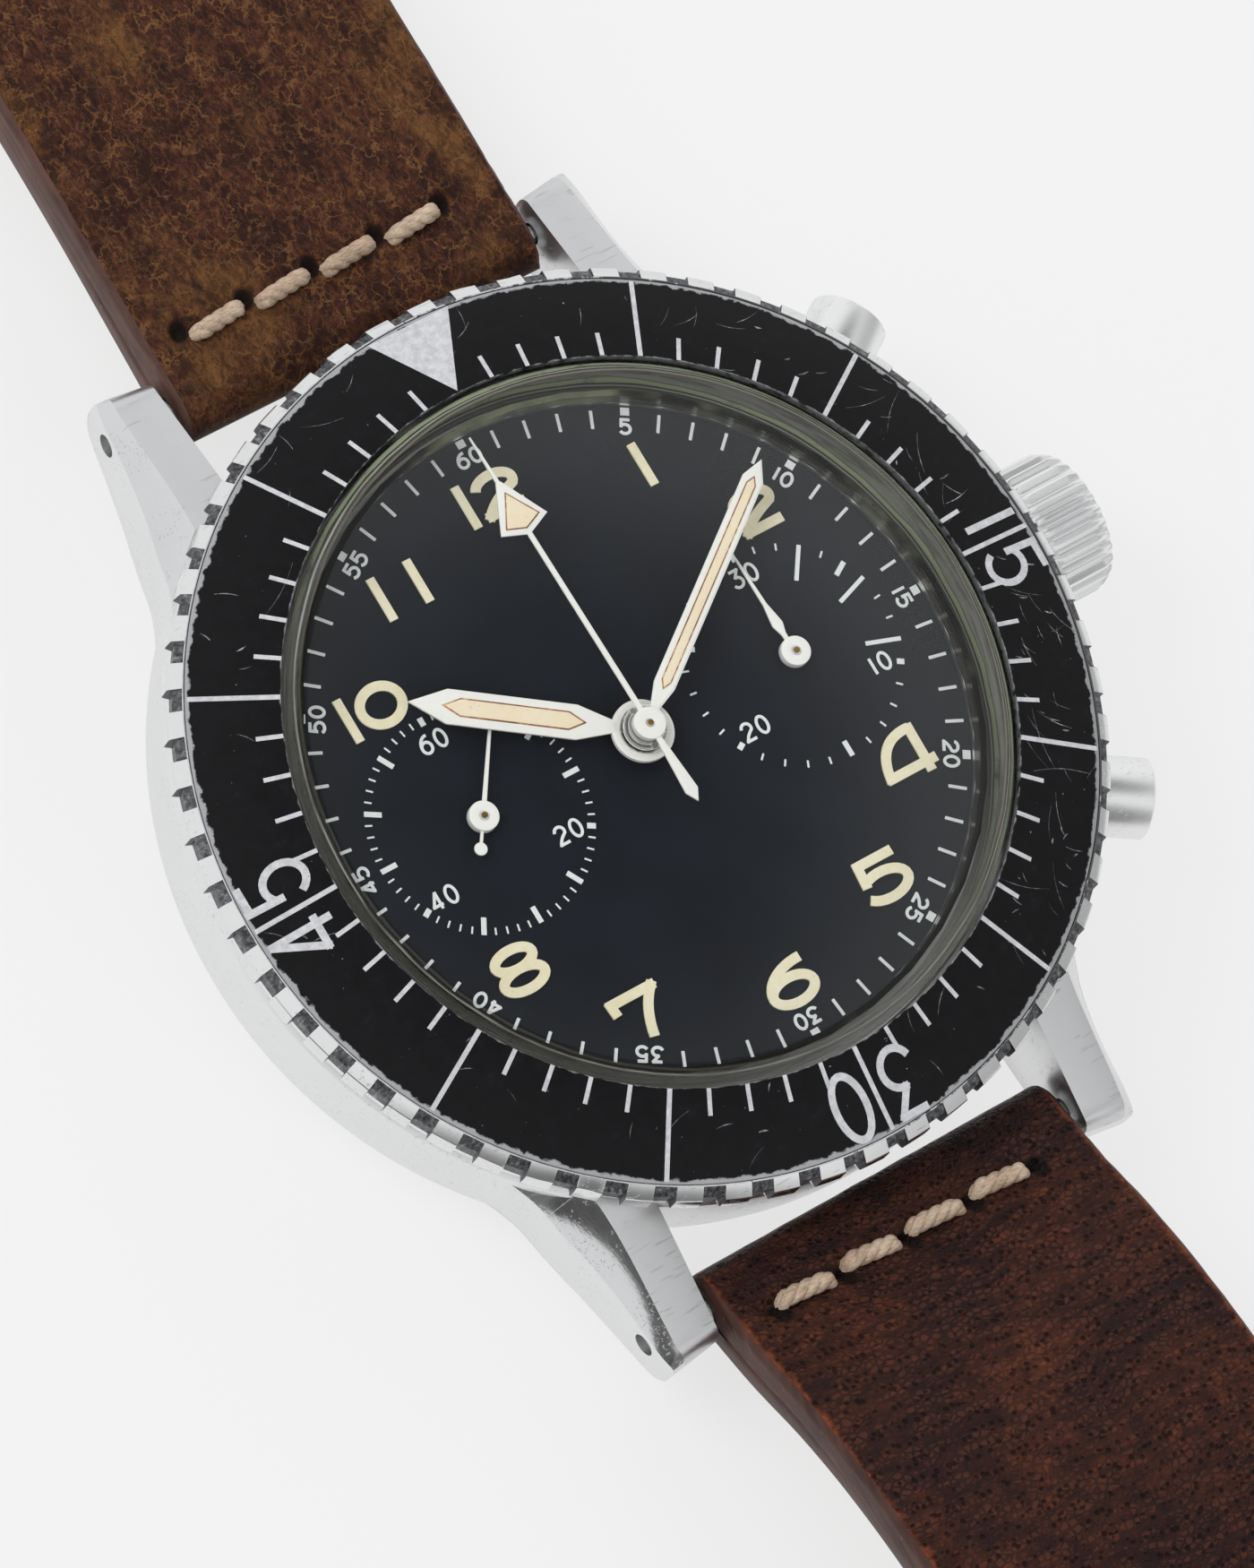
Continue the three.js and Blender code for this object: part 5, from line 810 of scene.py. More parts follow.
for row in range(12):
    low, high = (TRIANGLE_FOOT + TRIANGLE_TALL * step / 12 for step in (row, row + 1))
    wide = [TRIANGLE_HALF * (r - TRIANGLE_FOOT) / TRIANGLE_TALL for r in (low, high)]
    columns = [k / 4 - 1 for k in range(9)]
    flat = [Vector((w * c, r)) for r, w in ((low, wide[0]), (high, wide[1])) for c in columns]
    triangle.append((flat, [(k, k + 1, k + 10, k + 9) for k in range(8)]))
insert_silver = silver_print()
marks_mesh = mesh_of("bezel_markings", *laid(scale + triangle, on_insert, 0.018), weld=0.00001)
place_piece("bezel_markings", marks_mesh, insert_silver, "bezel")


def scratch_finish():
    recipe = Recipe("scratched_metal")
    spot = recipe.where()
    glint = recipe.noise(spot, 2.4, 3, 0.7)
    shade = recipe.ramp(glint, (0.36, tone(66, 66, 70)), (0.52, tone(116, 116, 120)), (0.68, tone(196, 196, 198)))
    return recipe.surface(base_color=shade, metallic=0.5, roughness=(glint * 0.2 + 0.3).clamp(),
                          normal=recipe.bump(glint, 0.004))


scratch_mesh = mesh_of("bezel_scratches", *laid(scratches, on_insert, 0.006), weld=0.00001)
place_piece("bezel_scratches", scratch_mesh, scratch_finish(), "bezel")
print("insert markings:", len(scale) + len(triangle), "strokes")

# %% [markdown]
# The crystal is a dome of acrylic with a straight skirt. A clear dome shows mostly what is behind it, plus a soft
# reflection that grows towards the rim. Mixing a transparent shader with a glossy one by Fresnel gives just that, with
# no noise and no dark caustic shadow on the dial, which a refracting glass would cast. The thick rim is different: it
# bends light along its height, so it looks like a set of grey-green rings. There the mix turns to a tinted gloss, and
# those rings are painted into its colour: bands of painted refraction and reflection, thin painted highlight lines and
# a lighter, greener painted side towards two o'clock.

# %% Crystal and its ring
def acrylic_finish():
    recipe = Recipe("acrylic")
    spot = recipe.where()
    x, y, _ = recipe.parts(spot)
    radius = (x * x + y * y) ** 0.5
    scuffs = hairlines(recipe, spot, 6.0, 0.70)
    swirl = recipe.bump(scuffs, 0.004, 0.25)
    gloss = recipe.add("ShaderNodeBsdfGlossy", {}, {"Color": (1, 1, 1), "Roughness": scuffs * 0.1 + 0.035,
                                                    "Normal": swirl})
    clear = recipe.add("ShaderNodeBsdfTransparent", {}, {"Color": (0.985, 0.985, 0.975)})
    facing = recipe.add("ShaderNodeLayerWeight", {}, {"Blend": 0.5}, "Facing")
    dome = recipe.add("ShaderNodeMixShader", {}, [(facing ** 5 * 0.9 + 0.025).clamp(), clear, gloss])
    rings = recipe.noise(recipe.stretch(spot, (0.3, 0.3, 2)), 1.0, 2)
    # The rim's colour is painted light: the depth ramp paints bands of refracted and reflected light, lit_side makes
    # the side towards two o'clock lighter and greener, and the wave lines are painted highlights.
    wave = (radius * 17 + rings * 2).math("SINE") * 0.5 + 0.5
    depth = ((radius - 16.0) / 0.65 + (rings - 0.5) * 0.35).clamp()
    lit_side = ((x * 0.6 + y * 0.5) * 0.03 + 0.5).above(0.5, 0.22)
    green = lit_side * recipe.noise(spot, 0.5, 4, 0.7).above(0.36, 0.12)
    strip = recipe.mix(green, tone(66, 67, 60), tone(158, 170, 138))
    tint = recipe.ramp(depth, (0.0, tone(34, 34, 31)), (0.16, tone(118, 115, 102)), (0.3, tone(54, 54, 49)),
                       (0.46, tone(80, 80, 72)), (0.56, tone(40, 41, 38)), (1.0, tone(40, 41, 38)))
    tint = recipe.mix(depth.above(0.64, 0.05) * (1 - depth.above(0.93, 0.03)), tint, strip)
    tint = recipe.mix(wave ** 8 * 0.6, tint, tone(190, 190, 182))
    edge = recipe.add("ShaderNodeBsdfPrincipled", {}, {"Base Color": tint, "Roughness": 0.2, "Normal": swirl})
    lines = (wave ** 8 * rings.above(0.45, 0.15) * 0.45 + lit_side * 0.55 + 0.25) * radius.above(16.0, 0.05)
    rim = recipe.add("ShaderNodeMixShader", {}, [lines.clamp(), clear, edge])
    body = recipe.add("ShaderNodeMixShader", {}, [radius.above(15.95, 0.06), dome, rim])
    recipe.add("ShaderNodeOutputMaterial", {}, [body])
    return recipe.material


acrylic = acrylic_finish()
CRYSTAL_RADIUS, CRYSTAL_EDGE, CRYSTAL_TOP = 16.65, 11.55, 13.4
outer_dome = bend((16.15, 12.1), (9.0, CRYSTAL_TOP), (0, CRYSTAL_TOP), 26)
inner_dome = bend((15.5, 11.0), (8.4, 12.3), (0, 12.3), 26)
skirt_outside = eased([(16.1, 9.5), (CRYSTAL_RADIUS, 9.5), (CRYSTAL_RADIUS, CRYSTAL_EDGE), (16.15, 12.1)], 0.14,
                      closed=False)
crystal_profile = [(15.5, 9.5)] + skirt_outside + outer_dome[1:] + inner_dome[::-1]
crystal_dome = place_piece("crystal_dome", mesh_of("crystal_dome", *turned(crystal_profile, 180, closed=False)),
                           acrylic, "case", "crystal", 28)


def patina_finish():
    recipe = Recipe("patina_steel")
    spot = recipe.where()
    x, y, z = recipe.parts(spot)
    spread = recipe.noise(spot, 0.16, 3, 0.6)
    toward_two = (x * 0.6 + y * 0.5) * 0.03 + spread
    mould = toward_two.above(0.8, 0.12) * 0.7
    specks = recipe.noise(spot, 3.4, 4, 0.7).above(0.63, 0.03)
    green = recipe.mix(specks, tone(160, 168, 140), tone(60, 62, 50))
    grooves = recipe.noise(recipe.stretch(spot, (0.5, 0.5, 7)), 1.0, 3) * 0.5 + (z * 26).math("SINE") * 0.2 + 0.25
    metal = recipe.ramp(grooves, (0.4, tone(24, 24, 21)),
                        (0.7, tone(124, 120, 104)))
    return recipe.surface(base_color=recipe.mix(mould, metal, green), metallic=(1 - mould) * 0.8,
                          roughness=mould * 0.35 + 0.25, normal=recipe.bump(specks, 0.02, 0.5))


patina_steel = patina_finish()
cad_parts["crystal_ring"].data.materials.clear()
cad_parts["crystal_ring"].data.materials.append(patina_steel)
print("crystal:", len(crystal_dome.data.polygons), "faces")

# %% [markdown]
# The dial is a brass plate under matt blue-black paint with a trace of grain, a little faded and dusted. Its printed
# scales are thin white strokes. The hour numerals are hand-filled with luminous paste that has aged from white to
# cream: they are laid 0.09 mm thick, so they carry a soft edge and their own shadow.

# %% Dial finishes
def paint(name, stops, scale_of_grain, rough, depth, specks=None, gloss=0.5):
    recipe = Recipe(name)
    spot = recipe.where()
    grain = recipe.noise(spot, scale_of_grain, 4, 0.65)
    cloud = recipe.noise(spot, 0.25, 3)
    color = recipe.ramp((grain * 0.5 + cloud * 0.5).clamp(), *stops)
    if specks:
        edge, speck_color = specks
        mask = recipe.noise(spot, 7.0, 3, 0.8).above(edge, 0.015)
        color = recipe.mix(mask, color, speck_color)
    return recipe.surface(base_color=color, roughness=(grain * 0.2 + (rough - 0.1)).clamp(), specular_ior_level=gloss,
                          normal=recipe.bump(grain, depth, 0.8))


dial_black = paint("dial_black", [(0.3, tone(17, 21, 28)), (0.7, tone(29, 35, 45))], 14, 0.62, 0.0012,
                   (0.74, tone(70, 72, 78)), 0.12)
dial_white = paint("dial_white", [(0.3, tone(226, 234, 238)), (0.7, tone(247, 250, 251))], 6, 0.5, 0.004)
lume_cream = paint("lume_cream", [(0.3, tone(236, 226, 190)), (0.7, tone(252, 247, 224))], 4, 0.75, 0.03,
                   (0.7, tone(196, 172, 122)))
lume_amber = paint("lume_amber", [(0.3, tone(247, 229, 196)), (0.7, tone(253, 243, 222))], 3, 0.7, 0.03,
                   (0.68, tone(176, 110, 66)))
lume_rust = paint("lume_rust", [(0.36, tone(92, 52, 32)), (0.5, tone(172, 116, 72)), (0.62, tone(238, 208, 160))],
                  3.4, 0.7, 0.03)
hand_white = paint("hand_white", [(0.3, tone(246, 246, 244)), (0.7, tone(253, 253, 252))], 3, 0.42, 0.003,
                   (0.76, tone(150, 148, 138)))

DIAL_TOP, DIAL_RADIUS, SUB_PLACE = 9.0, 15.85, 8.44


def washer(inner, outer, low, high, steps=48, soft=0.03, place=(0, 0)):
    profile = eased([(inner, low), (outer, low), (outer, high), (inner, high)], soft, 2)
    points, faces = turned(profile, steps)
    return moved(points, (*place, 0)), faces


dial_mesh = mesh_of("dial_plate", *turned(eased([(0.8, 8.6), (DIAL_RADIUS, 8.6), (DIAL_RADIUS, DIAL_TOP),
                                                 (0.8, DIAL_TOP)], 0.05, 2), 128))
points, faces = turned([(0, 8), (0.45, 8), (0.45, 9.5), (0, 9.5)], 24)
bores = [mesh_of("bore", moved(points, (at, 0, 0)), faces) for at in (-SUB_PLACE, SUB_PLACE)]
dial_plate = place_piece("dial_plate", carved(dial_mesh, bores, "DIFFERENCE"), dial_black, "case",
                         "dial", 30)
print("dial:", len(dial_plate.data.polygons), "faces")

# %% [markdown]
# The chapter ring at the edge has a tick for each minute, and every fifth is a square dot with a small number inside
# it, turned to face outward. The left small dial counts sixty seconds and the right one thirty minutes, with longer
# bars at three, six and nine minutes, the length of a paid telephone call. The place under the twelve stays bare.

# %% Printed scales
def on_dial(x, y):
    return DIAL_TOP


LEFT, RIGHT_SUB = (-SUB_PLACE, 0), (SUB_PLACE, 0)
print_strokes = []
for minute in range(60):
    turn = TURN * minute / 60
    if minute % 5:
        print_strokes.append(radial(turn, 14.42, 15.28, 0.15))
        continue
    print_strokes.append(radial(turn, 15.08, 15.45, 0.42))
    number = str(minute or 60)
    spot = (14.55 * math.sin(turn), 14.55 * math.cos(turn))
    print_strokes += lettering(number, 0.46, 0.66, 0.24, 0.145, spot, turn)
for second in range(60):
    turn = TURN * second / 60
    if second % 20 == 0:
        print_strokes.append(radial(turn, 4.85, 5.25, 0.26, LEFT))
    elif second % 5 == 0:
        print_strokes.append(radial(turn, 4.45, 5.25, 0.24, LEFT))
    else:
        print_strokes.append(radial(turn, 4.92, 5.25, 0.08, LEFT))
for minute in range(30):
    turn = TURN * minute / 30
    if minute in (3, 6, 9):
        print_strokes.append(radial(turn, 3.55, 5.25, 0.2, RIGHT_SUB))
    elif minute % 10 == 0:
        print_strokes.append(radial(turn, 4.9, 5.25, 0.26, RIGHT_SUB))
    elif minute % 5 == 0:
        print_strokes.append(radial(turn, 4.5, 5.25, 0.24, RIGHT_SUB))
    else:
        print_strokes.append(radial(turn, 4.92, 5.25, 0.09, RIGHT_SUB))
for number, at, centre in (("60", (0, 4.05), LEFT), ("20", (3.3, -2.28), LEFT), ("40", (-3.35, -2.27), LEFT),
                           ("30", (0.02, 4.17), RIGHT_SUB), ("10", (3.5, -2.16), RIGHT_SUB),
                           ("20", (-3.36, -2.12), RIGHT_SUB)):
    print_strokes += lettering(number, 0.48, 0.8, 0.3, 0.14, (at[0] + centre[0], at[1]))
scales_mesh = mesh_of("dial_scales", *laid(print_strokes, on_dial, 0.014), weld=0.00001)
place_piece("dial_scales", scales_mesh, dial_white, "case")

HOUR_DIGITS = [("1", (-1.36, 12.6)), ("2", (0.34, 12.6)), ("1", (7.03, 10.72)), ("2", (10.6, 6.6)),
               ("f", (10.65, -6.42)), ("5", (6.63, -10.7)), ("6", (0.15, -12.85)), ("7", (-6.65, -10.98)),
               ("8", (-10.5, -6.62)), ("1", (-11.4, 6.57)), ("0", (-9.68, 6.53)), ("1", (-7.08, 10.68)),
               ("1", (-5.15, 10.68))]
DIGIT_WIDE = {"0": 2.03, "f": 2.5, "5": 2.2, "6": 2.15, "7": 2.15, "8": 2.08}
DIGIT_HIGH = {"1": 2.15, "f": 2.2, "5": 1.9, "6": 1.8, "7": 2.08, "8": 1.92}
paste = []
for digit, spot in HOUR_DIGITS:
    wide, high = DIGIT_WIDE.get(digit, 1.9), DIGIT_HIGH.get(digit, 1.72)
    paste += lettering(digit, wide, high, 0, 0.46 if digit != "1" else 0.42, spot)
paste_mesh = mesh_of("dial_numerals", *laid(paste, on_dial, 0.09), weld=0.00001)
place_piece("dial_numerals", paste_mesh, lume_cream, "case")
print("dial strokes:", len(print_strokes), "printed,", len(paste), "luminous")

# %% [markdown]
# Hands are stamped from thin brass, domed a little and painted white, with a slot that holds luminous paste. Each is
# drawn pointing to twelve as an outline with a ridge inside it, so that its two slopes catch different light, and is
# then turned to the time shown, to match the solid that it stands for.

# %% Hands
def blade(outline, base, edge, crown_height, inset):
    """A bevelled plate: walls, a sloping border and a flat top inside it."""
    count = len(outline)
    middle = Vector((sum(p[0] for p in outline) / count, sum(p[1] for p in outline) / count))
    rings = []
    for shrink, z in ((0, base), (0, base + edge), (inset, base + edge + crown_height)):
        ring = []
        for i, p in enumerate(outline):
            here = Vector(p)
            back, ahead = Vector(outline[i - 1]), Vector(outline[(i + 1) % count])
            n1 = (here - back).normalized()
            n2 = (ahead - here).normalized()
            side = Vector((-(n1 + n2).y, (n1 + n2).x))
            side = side.normalized() if side.length > 0.01 else Vector((0, 0))
            step = shrink / max(0.35, side.dot(Vector((-n2.y, n2.x)))) if shrink else 0
            step = min(step, (here - middle).length * 0.6)
            ring.append((here.x + side.x * step, here.y + side.y * step, z))
        rings.append(ring)
    points = [p for ring in rings for p in ring]
    faces = [(r * count + i, r * count + (i + 1) % count, (r + 1) * count + (i + 1) % count, (r + 1) * count + i)
             for r in range(2) for i in range(count)]
    return points, faces + [tuple(range(2 * count, 3 * count)), tuple(reversed(range(count)))]


def mirrored(right_side):
    """A closed outline, anticlockwise, from the points of its right-hand side, tail to tip."""
    return right_side + [(-x, y) for x, y in reversed(right_side) if abs(x) > 0.001]


def hand(name, node, body, turn, centre, white_parts, lume=None, pin=None):
    """One hand: its painted parts, its paste and its pin, turned clockwise from twelve by `turn` degrees."""
    turn = -math.radians(turn)
    groups = [(*joined(*white_parts), hand_white)]
    for extra, finish in ((lume, lume_amber), (pin, polished_steel)):
        if extra:
            groups.append((*extra, finish))
    every, all_faces, marks = [], [], []
    for number, (some, quads, finish) in enumerate(groups):
        base = len(every)
        every += some
        all_faces += [tuple(base + i for i in quad) for quad in quads]
        rim = len(quads) - 2 if finish == lume_amber else 0
        marks += [len(groups)] * rim + [number] * (len(quads) - rim)
    mesh = marked(unwelded(name, moved(every, (*centre, 0), turn), all_faces),
                  [group[2] for group in groups] + [lume_rust], marks)
    mesh.validate()
    return place_piece(name, mesh, hand_white, body, node, 20)


HOUR, MINUTE, SWEEP, SMALL = 9.85, 10.4, 10.9, 9.45
hour_blade = blade(mirrored([(0.24, 1.2), (0.81, 3.04), (0.81, 8.94), (0.0, 10.7)]), HOUR, 0.12, 0.05, 0.14)
hour_paste = blade(mirrored([(0.0, 2.6), (0.44, 3.4), (0.44, 8.35), (0.0, 9.2)]), HOUR + 0.1, 0.085, 0.01, 0.07)
hour_ring, hour_boss = washer(1.1, 1.45, 9.68, 9.98, 48, 0.06), washer(0.98, 1.12, 9.7, 10.05, 48, 0.03)
hand("hour_hand_painted", "hour_hand", "hours", 304, (0, 0), [hour_blade, hour_ring], hour_paste, hour_boss)

minute_blade = blade(mirrored([(0.2, 0.95), (0.5, 2.15), (0.5, 13.05), (0.0, 14.1)]), MINUTE, 0.12, 0.04, 0.1)
minute_paste = blade(mirrored([(0.0, 1.9), (0.24, 2.35), (0.24, 12.75), (0.0, 13.2)]), MINUTE + 0.1, 0.075, 0.01, 0.06)
minute_boss = joined(washer(0.62, 1.05, 10.23, 10.5, 40, 0.05), washer(0.6, 0.85, 10.3, 10.58, 40, 0.03))
hand("minute_hand_painted", "minute_hand", "minutes", 54.4, (0, 0), [minute_blade], minute_paste, minute_boss)

sweep_needle = blade(mirrored([(0.13, 0.6), (0.12, 9.98), (0.1, 12.4), (0.04, 15.0)]), SWEEP, 0.08, 0.02, 0.03)
sweep_kite = blade(mirrored([(0.0, 9.92), (1.25, 10.42), (0.12, 12.62)]), SWEEP, 0.09, 0.03, 0.12)
sweep_paste = blade(mirrored([(0.0, 10.2), (0.92, 10.56), (0.0, 12.1)]), SWEEP + 0.08, 0.06, 0.005, 0.06)
sweep_tail = blade([(-0.12, -0.6), (-0.32, -3.5), (0.0, -4.05), (0.32, -3.5), (0.12, -0.6)], SWEEP, 0.09, 0.02, 0.05)
sweep_boss = washer(0.17, 0.75, 10.67, 11.06, 36, 0.06)
sweep_pin = washer(0.0, 0.165, 10.7, 11.12, 20, 0.03)
hand("sweep_hand_painted", "chronograph_hand", "chronograph", 358.8, (0, 0),
     [sweep_needle, sweep_kite, sweep_tail, sweep_boss], sweep_paste, sweep_pin)

small_needle = blade(mirrored([(0.11, 0.5), (0.07, 4.18)]), SMALL, 0.08, 0.02, 0.03)
small_tail = blade([(-0.07, -0.5), (-0.07, -1.3), (0.07, -1.3), (0.07, -0.5)], SMALL, 0.08, 0.02, 0.03)
small_weight = washer(0.0, 0.3, SMALL, SMALL + 0.11, 24, 0.03, (0, -1.5))
small_boss = washer(0.2, 0.7, 9.24, 9.7, 36, 0.06)
small_pin = washer(0.0, 0.21, 9.3, 9.78, 18, 0.05)
hand("seconds_hand_painted", "seconds_hand", "seconds", 36, LEFT,
     [small_needle, small_tail, small_weight, small_boss], None, small_pin)

leaf_points = [(0.1, 0.5), (0.12, 0.95), (0.27, 1.45), (0.2, 1.9), (0.1, 2.5), (0.05, 4.9)]
hand("counter_hand_painted", "counter_hand", "counter", 358.4, RIGHT_SUB,
     [blade(mirrored(leaf_points), SMALL, 0.08, 0.02, 0.03), small_boss], None, small_pin)
print("hands made: hour, minute, sweep, seconds, counter")

# %% [markdown]
# The crown has thirty flutes for the fingers and the pushers are plain round caps on thinner necks. All three are
# lathe work along a line out of the case, with the crown's radius dipping at each flute.

# %% Crown and pushers
FLUTES, FLUTE_DEPTH, CROWN_RADIUS = 30, 0.34, 3.45
CROWN_PLACES = (21.75, 25.5)


def fluted(turn, radius, height):
    if radius < CROWN_RADIUS - 0.75:
        return radius, height
    share = (turn / TURN * FLUTES) % 1
    dip = FLUTE_DEPTH * max(0.0, 1 - (abs(share - 0.5) / 0.34) ** 2) ** 0.5
    near_end = min(height - CROWN_PLACES[0], CROWN_PLACES[1] - height) / 0.7
    return radius - dip * min(1, max(0, near_end)), height


crown_profile = eased([(0, 23.6), (2.3, 23.6), (2.3, 21.75), (2.75, 21.75), (3.3, 21.95), (CROWN_RADIUS, 22.5),
                       (CROWN_RADIUS, 24.7), (3.2, 25.25), (2.6, 25.5), (0, 25.5)], 0.12, closed=False)
points, faces = turned(crown_profile, FLUTES * 12, fluted, closed=False)
crown_mesh = mesh_of("crown_steel", moved(points, (0, 0, STEM_HEIGHT), along_x=True), faces)
place_piece("crown_steel", crown_mesh, turned_steel, "crown_set", "crown", 26)

pusher_profile = eased([(0, 15.1), (0.55, 15.1), (0.55, 21.0), (1.1, 21.0), (1.1, 22.1), (1.85, 22.1), (1.85, 24.6),
                        (0, 24.6)], 0.16, closed=False)
points, faces = turned(pusher_profile, 72, closed=False)
for name, node, body, turn in (("pusher_start_steel", "pusher_start", "start_button", PUSHER_TURN),
                               ("pusher_reset_steel", "pusher_reset", "reset_button", -PUSHER_TURN)):
    cap = moved(points, (0, 0, STEM_HEIGHT), turn, along_x=True)
    place_piece(name, mesh_of(name, cap, faces), turned_steel, body, node, 30)
print("crown with", FLUTES, "flutes, two pushers")

# %% [markdown]
# The strap is two straps of thick hide. Each is folded round its spring bar and sewn back on itself, so it is thickest
# at the bar, and it was never worn flat: the half with the holes still arches as it leaves the lugs. A cushion would
# be inflated by a cloth simulation, but a strap is a firm band, and the remesh of a simulation would melt its edges.
# So it is swept directly: a section with eased corners is carried along the band's own route, with closer stations
# where the thread pulls the leather down.

# %% Route and section of a strap half
BAR_END, FOLD_RADIUS, FOLD_LENGTH, HIDE = 23.2, 1.6, 9.0, 2.6
UPPER_LENGTH, LOWER_LENGTH, TIP_START = 76.0, 118.0, 104.0
HALF_WIDE, NARROWING, BUCKLE_LEVEL = 9.6, 0.6, 2.37
UPPER_ROUTE = [(0.053, 0.93), (0.13, 1), (0.21, 0.97), (0.33, 0.8), (0.46, 0.45), (0.59, 0.12), (0.68, 0), (0.8, 0),
               (1, 0)]
LOWER_ROUTE = [(0.028, 0.52), (0.055, 0.7), (0.086, 0.845), (0.119, 0.94), (0.161, 1), (0.212, 0.98), (0.297, 0.8),
               (0.398, 0.5), (0.5, 0.2), (0.593, 0.03), (0.68, 0), (0.8, 0), (1, 0)]


class Band:
    """One half of the strap: where its middle line runs and how wide and thick it is along the way."""

    def __init__(self, side, length, shares, lying, crest, row):
        self.side, self.length, self.row = side, length, row
        self.line = [(0.0, BAR_HEIGHT)] + [(s * length, lying + v * (crest - lying)) for s, v in shares]

    def place(self, along):
        """A point of the middle line and the direction that is up from the leather there."""
        near, step = max(along, 0.0), 0.05
        before, after = max(near - step, 0), near + step
        rise = (follow(self.line, after) - follow(self.line, before)) / (after - before)
        way = Vector((0, self.side, rise)).normalized()
        middle = Vector((0, self.side * (BAR_END + near), follow(self.line, near))) + way * (along - near)
        return middle, Vector((0, -self.side * way.z, abs(way.y)))

    def half_thickness(self, along):
        if along < 0:
            return math.sqrt(max(FOLD_RADIUS ** 2 - along ** 2, 0.0004))
        thick = HIDE / 2 + (FOLD_RADIUS - HIDE / 2) * max(0, 1 - along / FOLD_LENGTH)
        if self.side > 0 and along > self.length - thick:
            past = along - (self.length - thick)
            return math.sqrt(max(thick ** 2 - past ** 2, 0.0004))
        return thick

    def half_width(self, along):
        end = self.length if self.side > 0 else TIP_START
        if self.side < 0 and along > TIP_START:
            tip = bend((9.0, TIP_START), (7.2, LOWER_LENGTH), (0.25, LOWER_LENGTH), 60)
            return next((a[0] for a, b in zip(tip, tip[1:]) if b[1] >= along), 0.25)
        return HALF_WIDE - NARROWING * min(max((along - FOLD_LENGTH) / (end - FOLD_LENGTH), 0), 1)

    def surface(self, x, along, above=0.0):
        middle, up = self.place(along)
        return middle + up * (self.half_thickness(along) + above) + Vector((x, 0, 0))


upper_band = Band(1, UPPER_LENGTH, UPPER_ROUTE, BUCKLE_LEVEL, 5.3, 2.6)
lower_band = Band(-1, LOWER_LENGTH, LOWER_ROUTE, 1.32, 10.75, 2.2)
HOLES_ACROSS = [-7.75 + 3.52 * i for i in range(5)]
BUCKLE_ROW = 70.2
COLUMNS = 60


def section(wide, thick, groove):
    """Half the outline of the leather, from the middle of its face to the middle of its lining: (x, height, finish)."""
    round_top, round_low = min(0.5, thick * 0.7, wide * 0.5), min(0.3, thick * 0.5, wide * 0.3)
    points = [(wide - round_top) * 2 * i / COLUMNS for i in range(COLUMNS // 2)]
    made = [(x, thick, 0) for x in points]
    made += [(wide - round_top + round_top * math.sin(math.radians(a)), thick - round_top + round_top
              * math.cos(math.radians(a)), 0 if a < 50 else 1) for a in (0, 25, 50, 75, 90)]
    room = 2 * thick - round_top - round_low
    for share in (0.3, 0.44, 0.5, 0.56, 0.7):
        notch = groove * (1 if share == 0.5 else 0)
        bulge = 0.05 * math.sin(math.pi * share)
        made.append((wide + bulge - notch, thick - round_top - room * share, 1))
    made += [(wide - round_low + round_low * math.cos(math.radians(a)), -thick + round_low - round_low
              * math.sin(math.radians(a)), 1) for a in (0, 45)]
    made += [((wide - round_low) * (1 - i / 8), -thick, 2) for i in range(9)]
    return made


print("upper route:", len(UPPER_ROUTE), "points, lower route:", len(LOWER_ROUTE))

# %% [markdown]
# Leather is never one brown. The upper half is an oily hide whose fibres show: pale veins in a fine net over dark
# patches, with ochre where it has been bent. The lower half is smoother and redder and keeps the animal's pores, in
# rows that run across it. Both are worn orange along their cut edges, where the sides are burnished and nearly
# smooth. A voronoi texture gives both the net (distance to the border of a cell) and the pores (distance to its
# middle), and bending its coordinates with noise takes the regularity out of them.

# %% Leather finishes
def bent(recipe, spot, scale, amount):
    """Coordinates that are pushed about by noise."""
    push = recipe.noise(spot, scale, 2, color=True)
    centred = recipe.add("ShaderNodeVectorMath", {"operation": "SUBTRACT"}, [push, (0.5, 0.5, 0.5)])
    far = recipe.add("ShaderNodeVectorMath", {"operation": "SCALE"}, {"Vector": centred, "Scale": amount})
    return recipe.add("ShaderNodeVectorMath", {"operation": "ADD"}, [spot, far])


def awl_holes(x, y, row):
    """Painted shade in the awl holes: dark ovals where the thread goes through, evenly spaced along x on the line y =
    row.
    """
    pitch = HOLES_ACROSS[1] - HOLES_ACROSS[0]
    from_hole = ((x - HOLES_ACROSS[0]) / pitch + 100.5).math("FRACT") - 0.5
    across = (from_hole * pitch).math("ABSOLUTE") / 0.5
    away = (y - row).math("ABSOLUTE") / 0.6
    between = x.math("ABSOLUTE").above(8.6, 0.1)
    return (1 - (across * across + away * away).above(0.85, 0.5)) * (1 - between)


def worn_edge(recipe, spot, x, y, start):
    taper = ((y.math("ABSOLUTE") - (BAR_END + FOLD_LENGTH)) / 90).clamp() * 0.6
    ragged = recipe.noise(spot, 1.6, 4, 0.65) * 0.9
    return (x.math("ABSOLUTE") + taper + ragged).above(start + 0.45, 0.22)


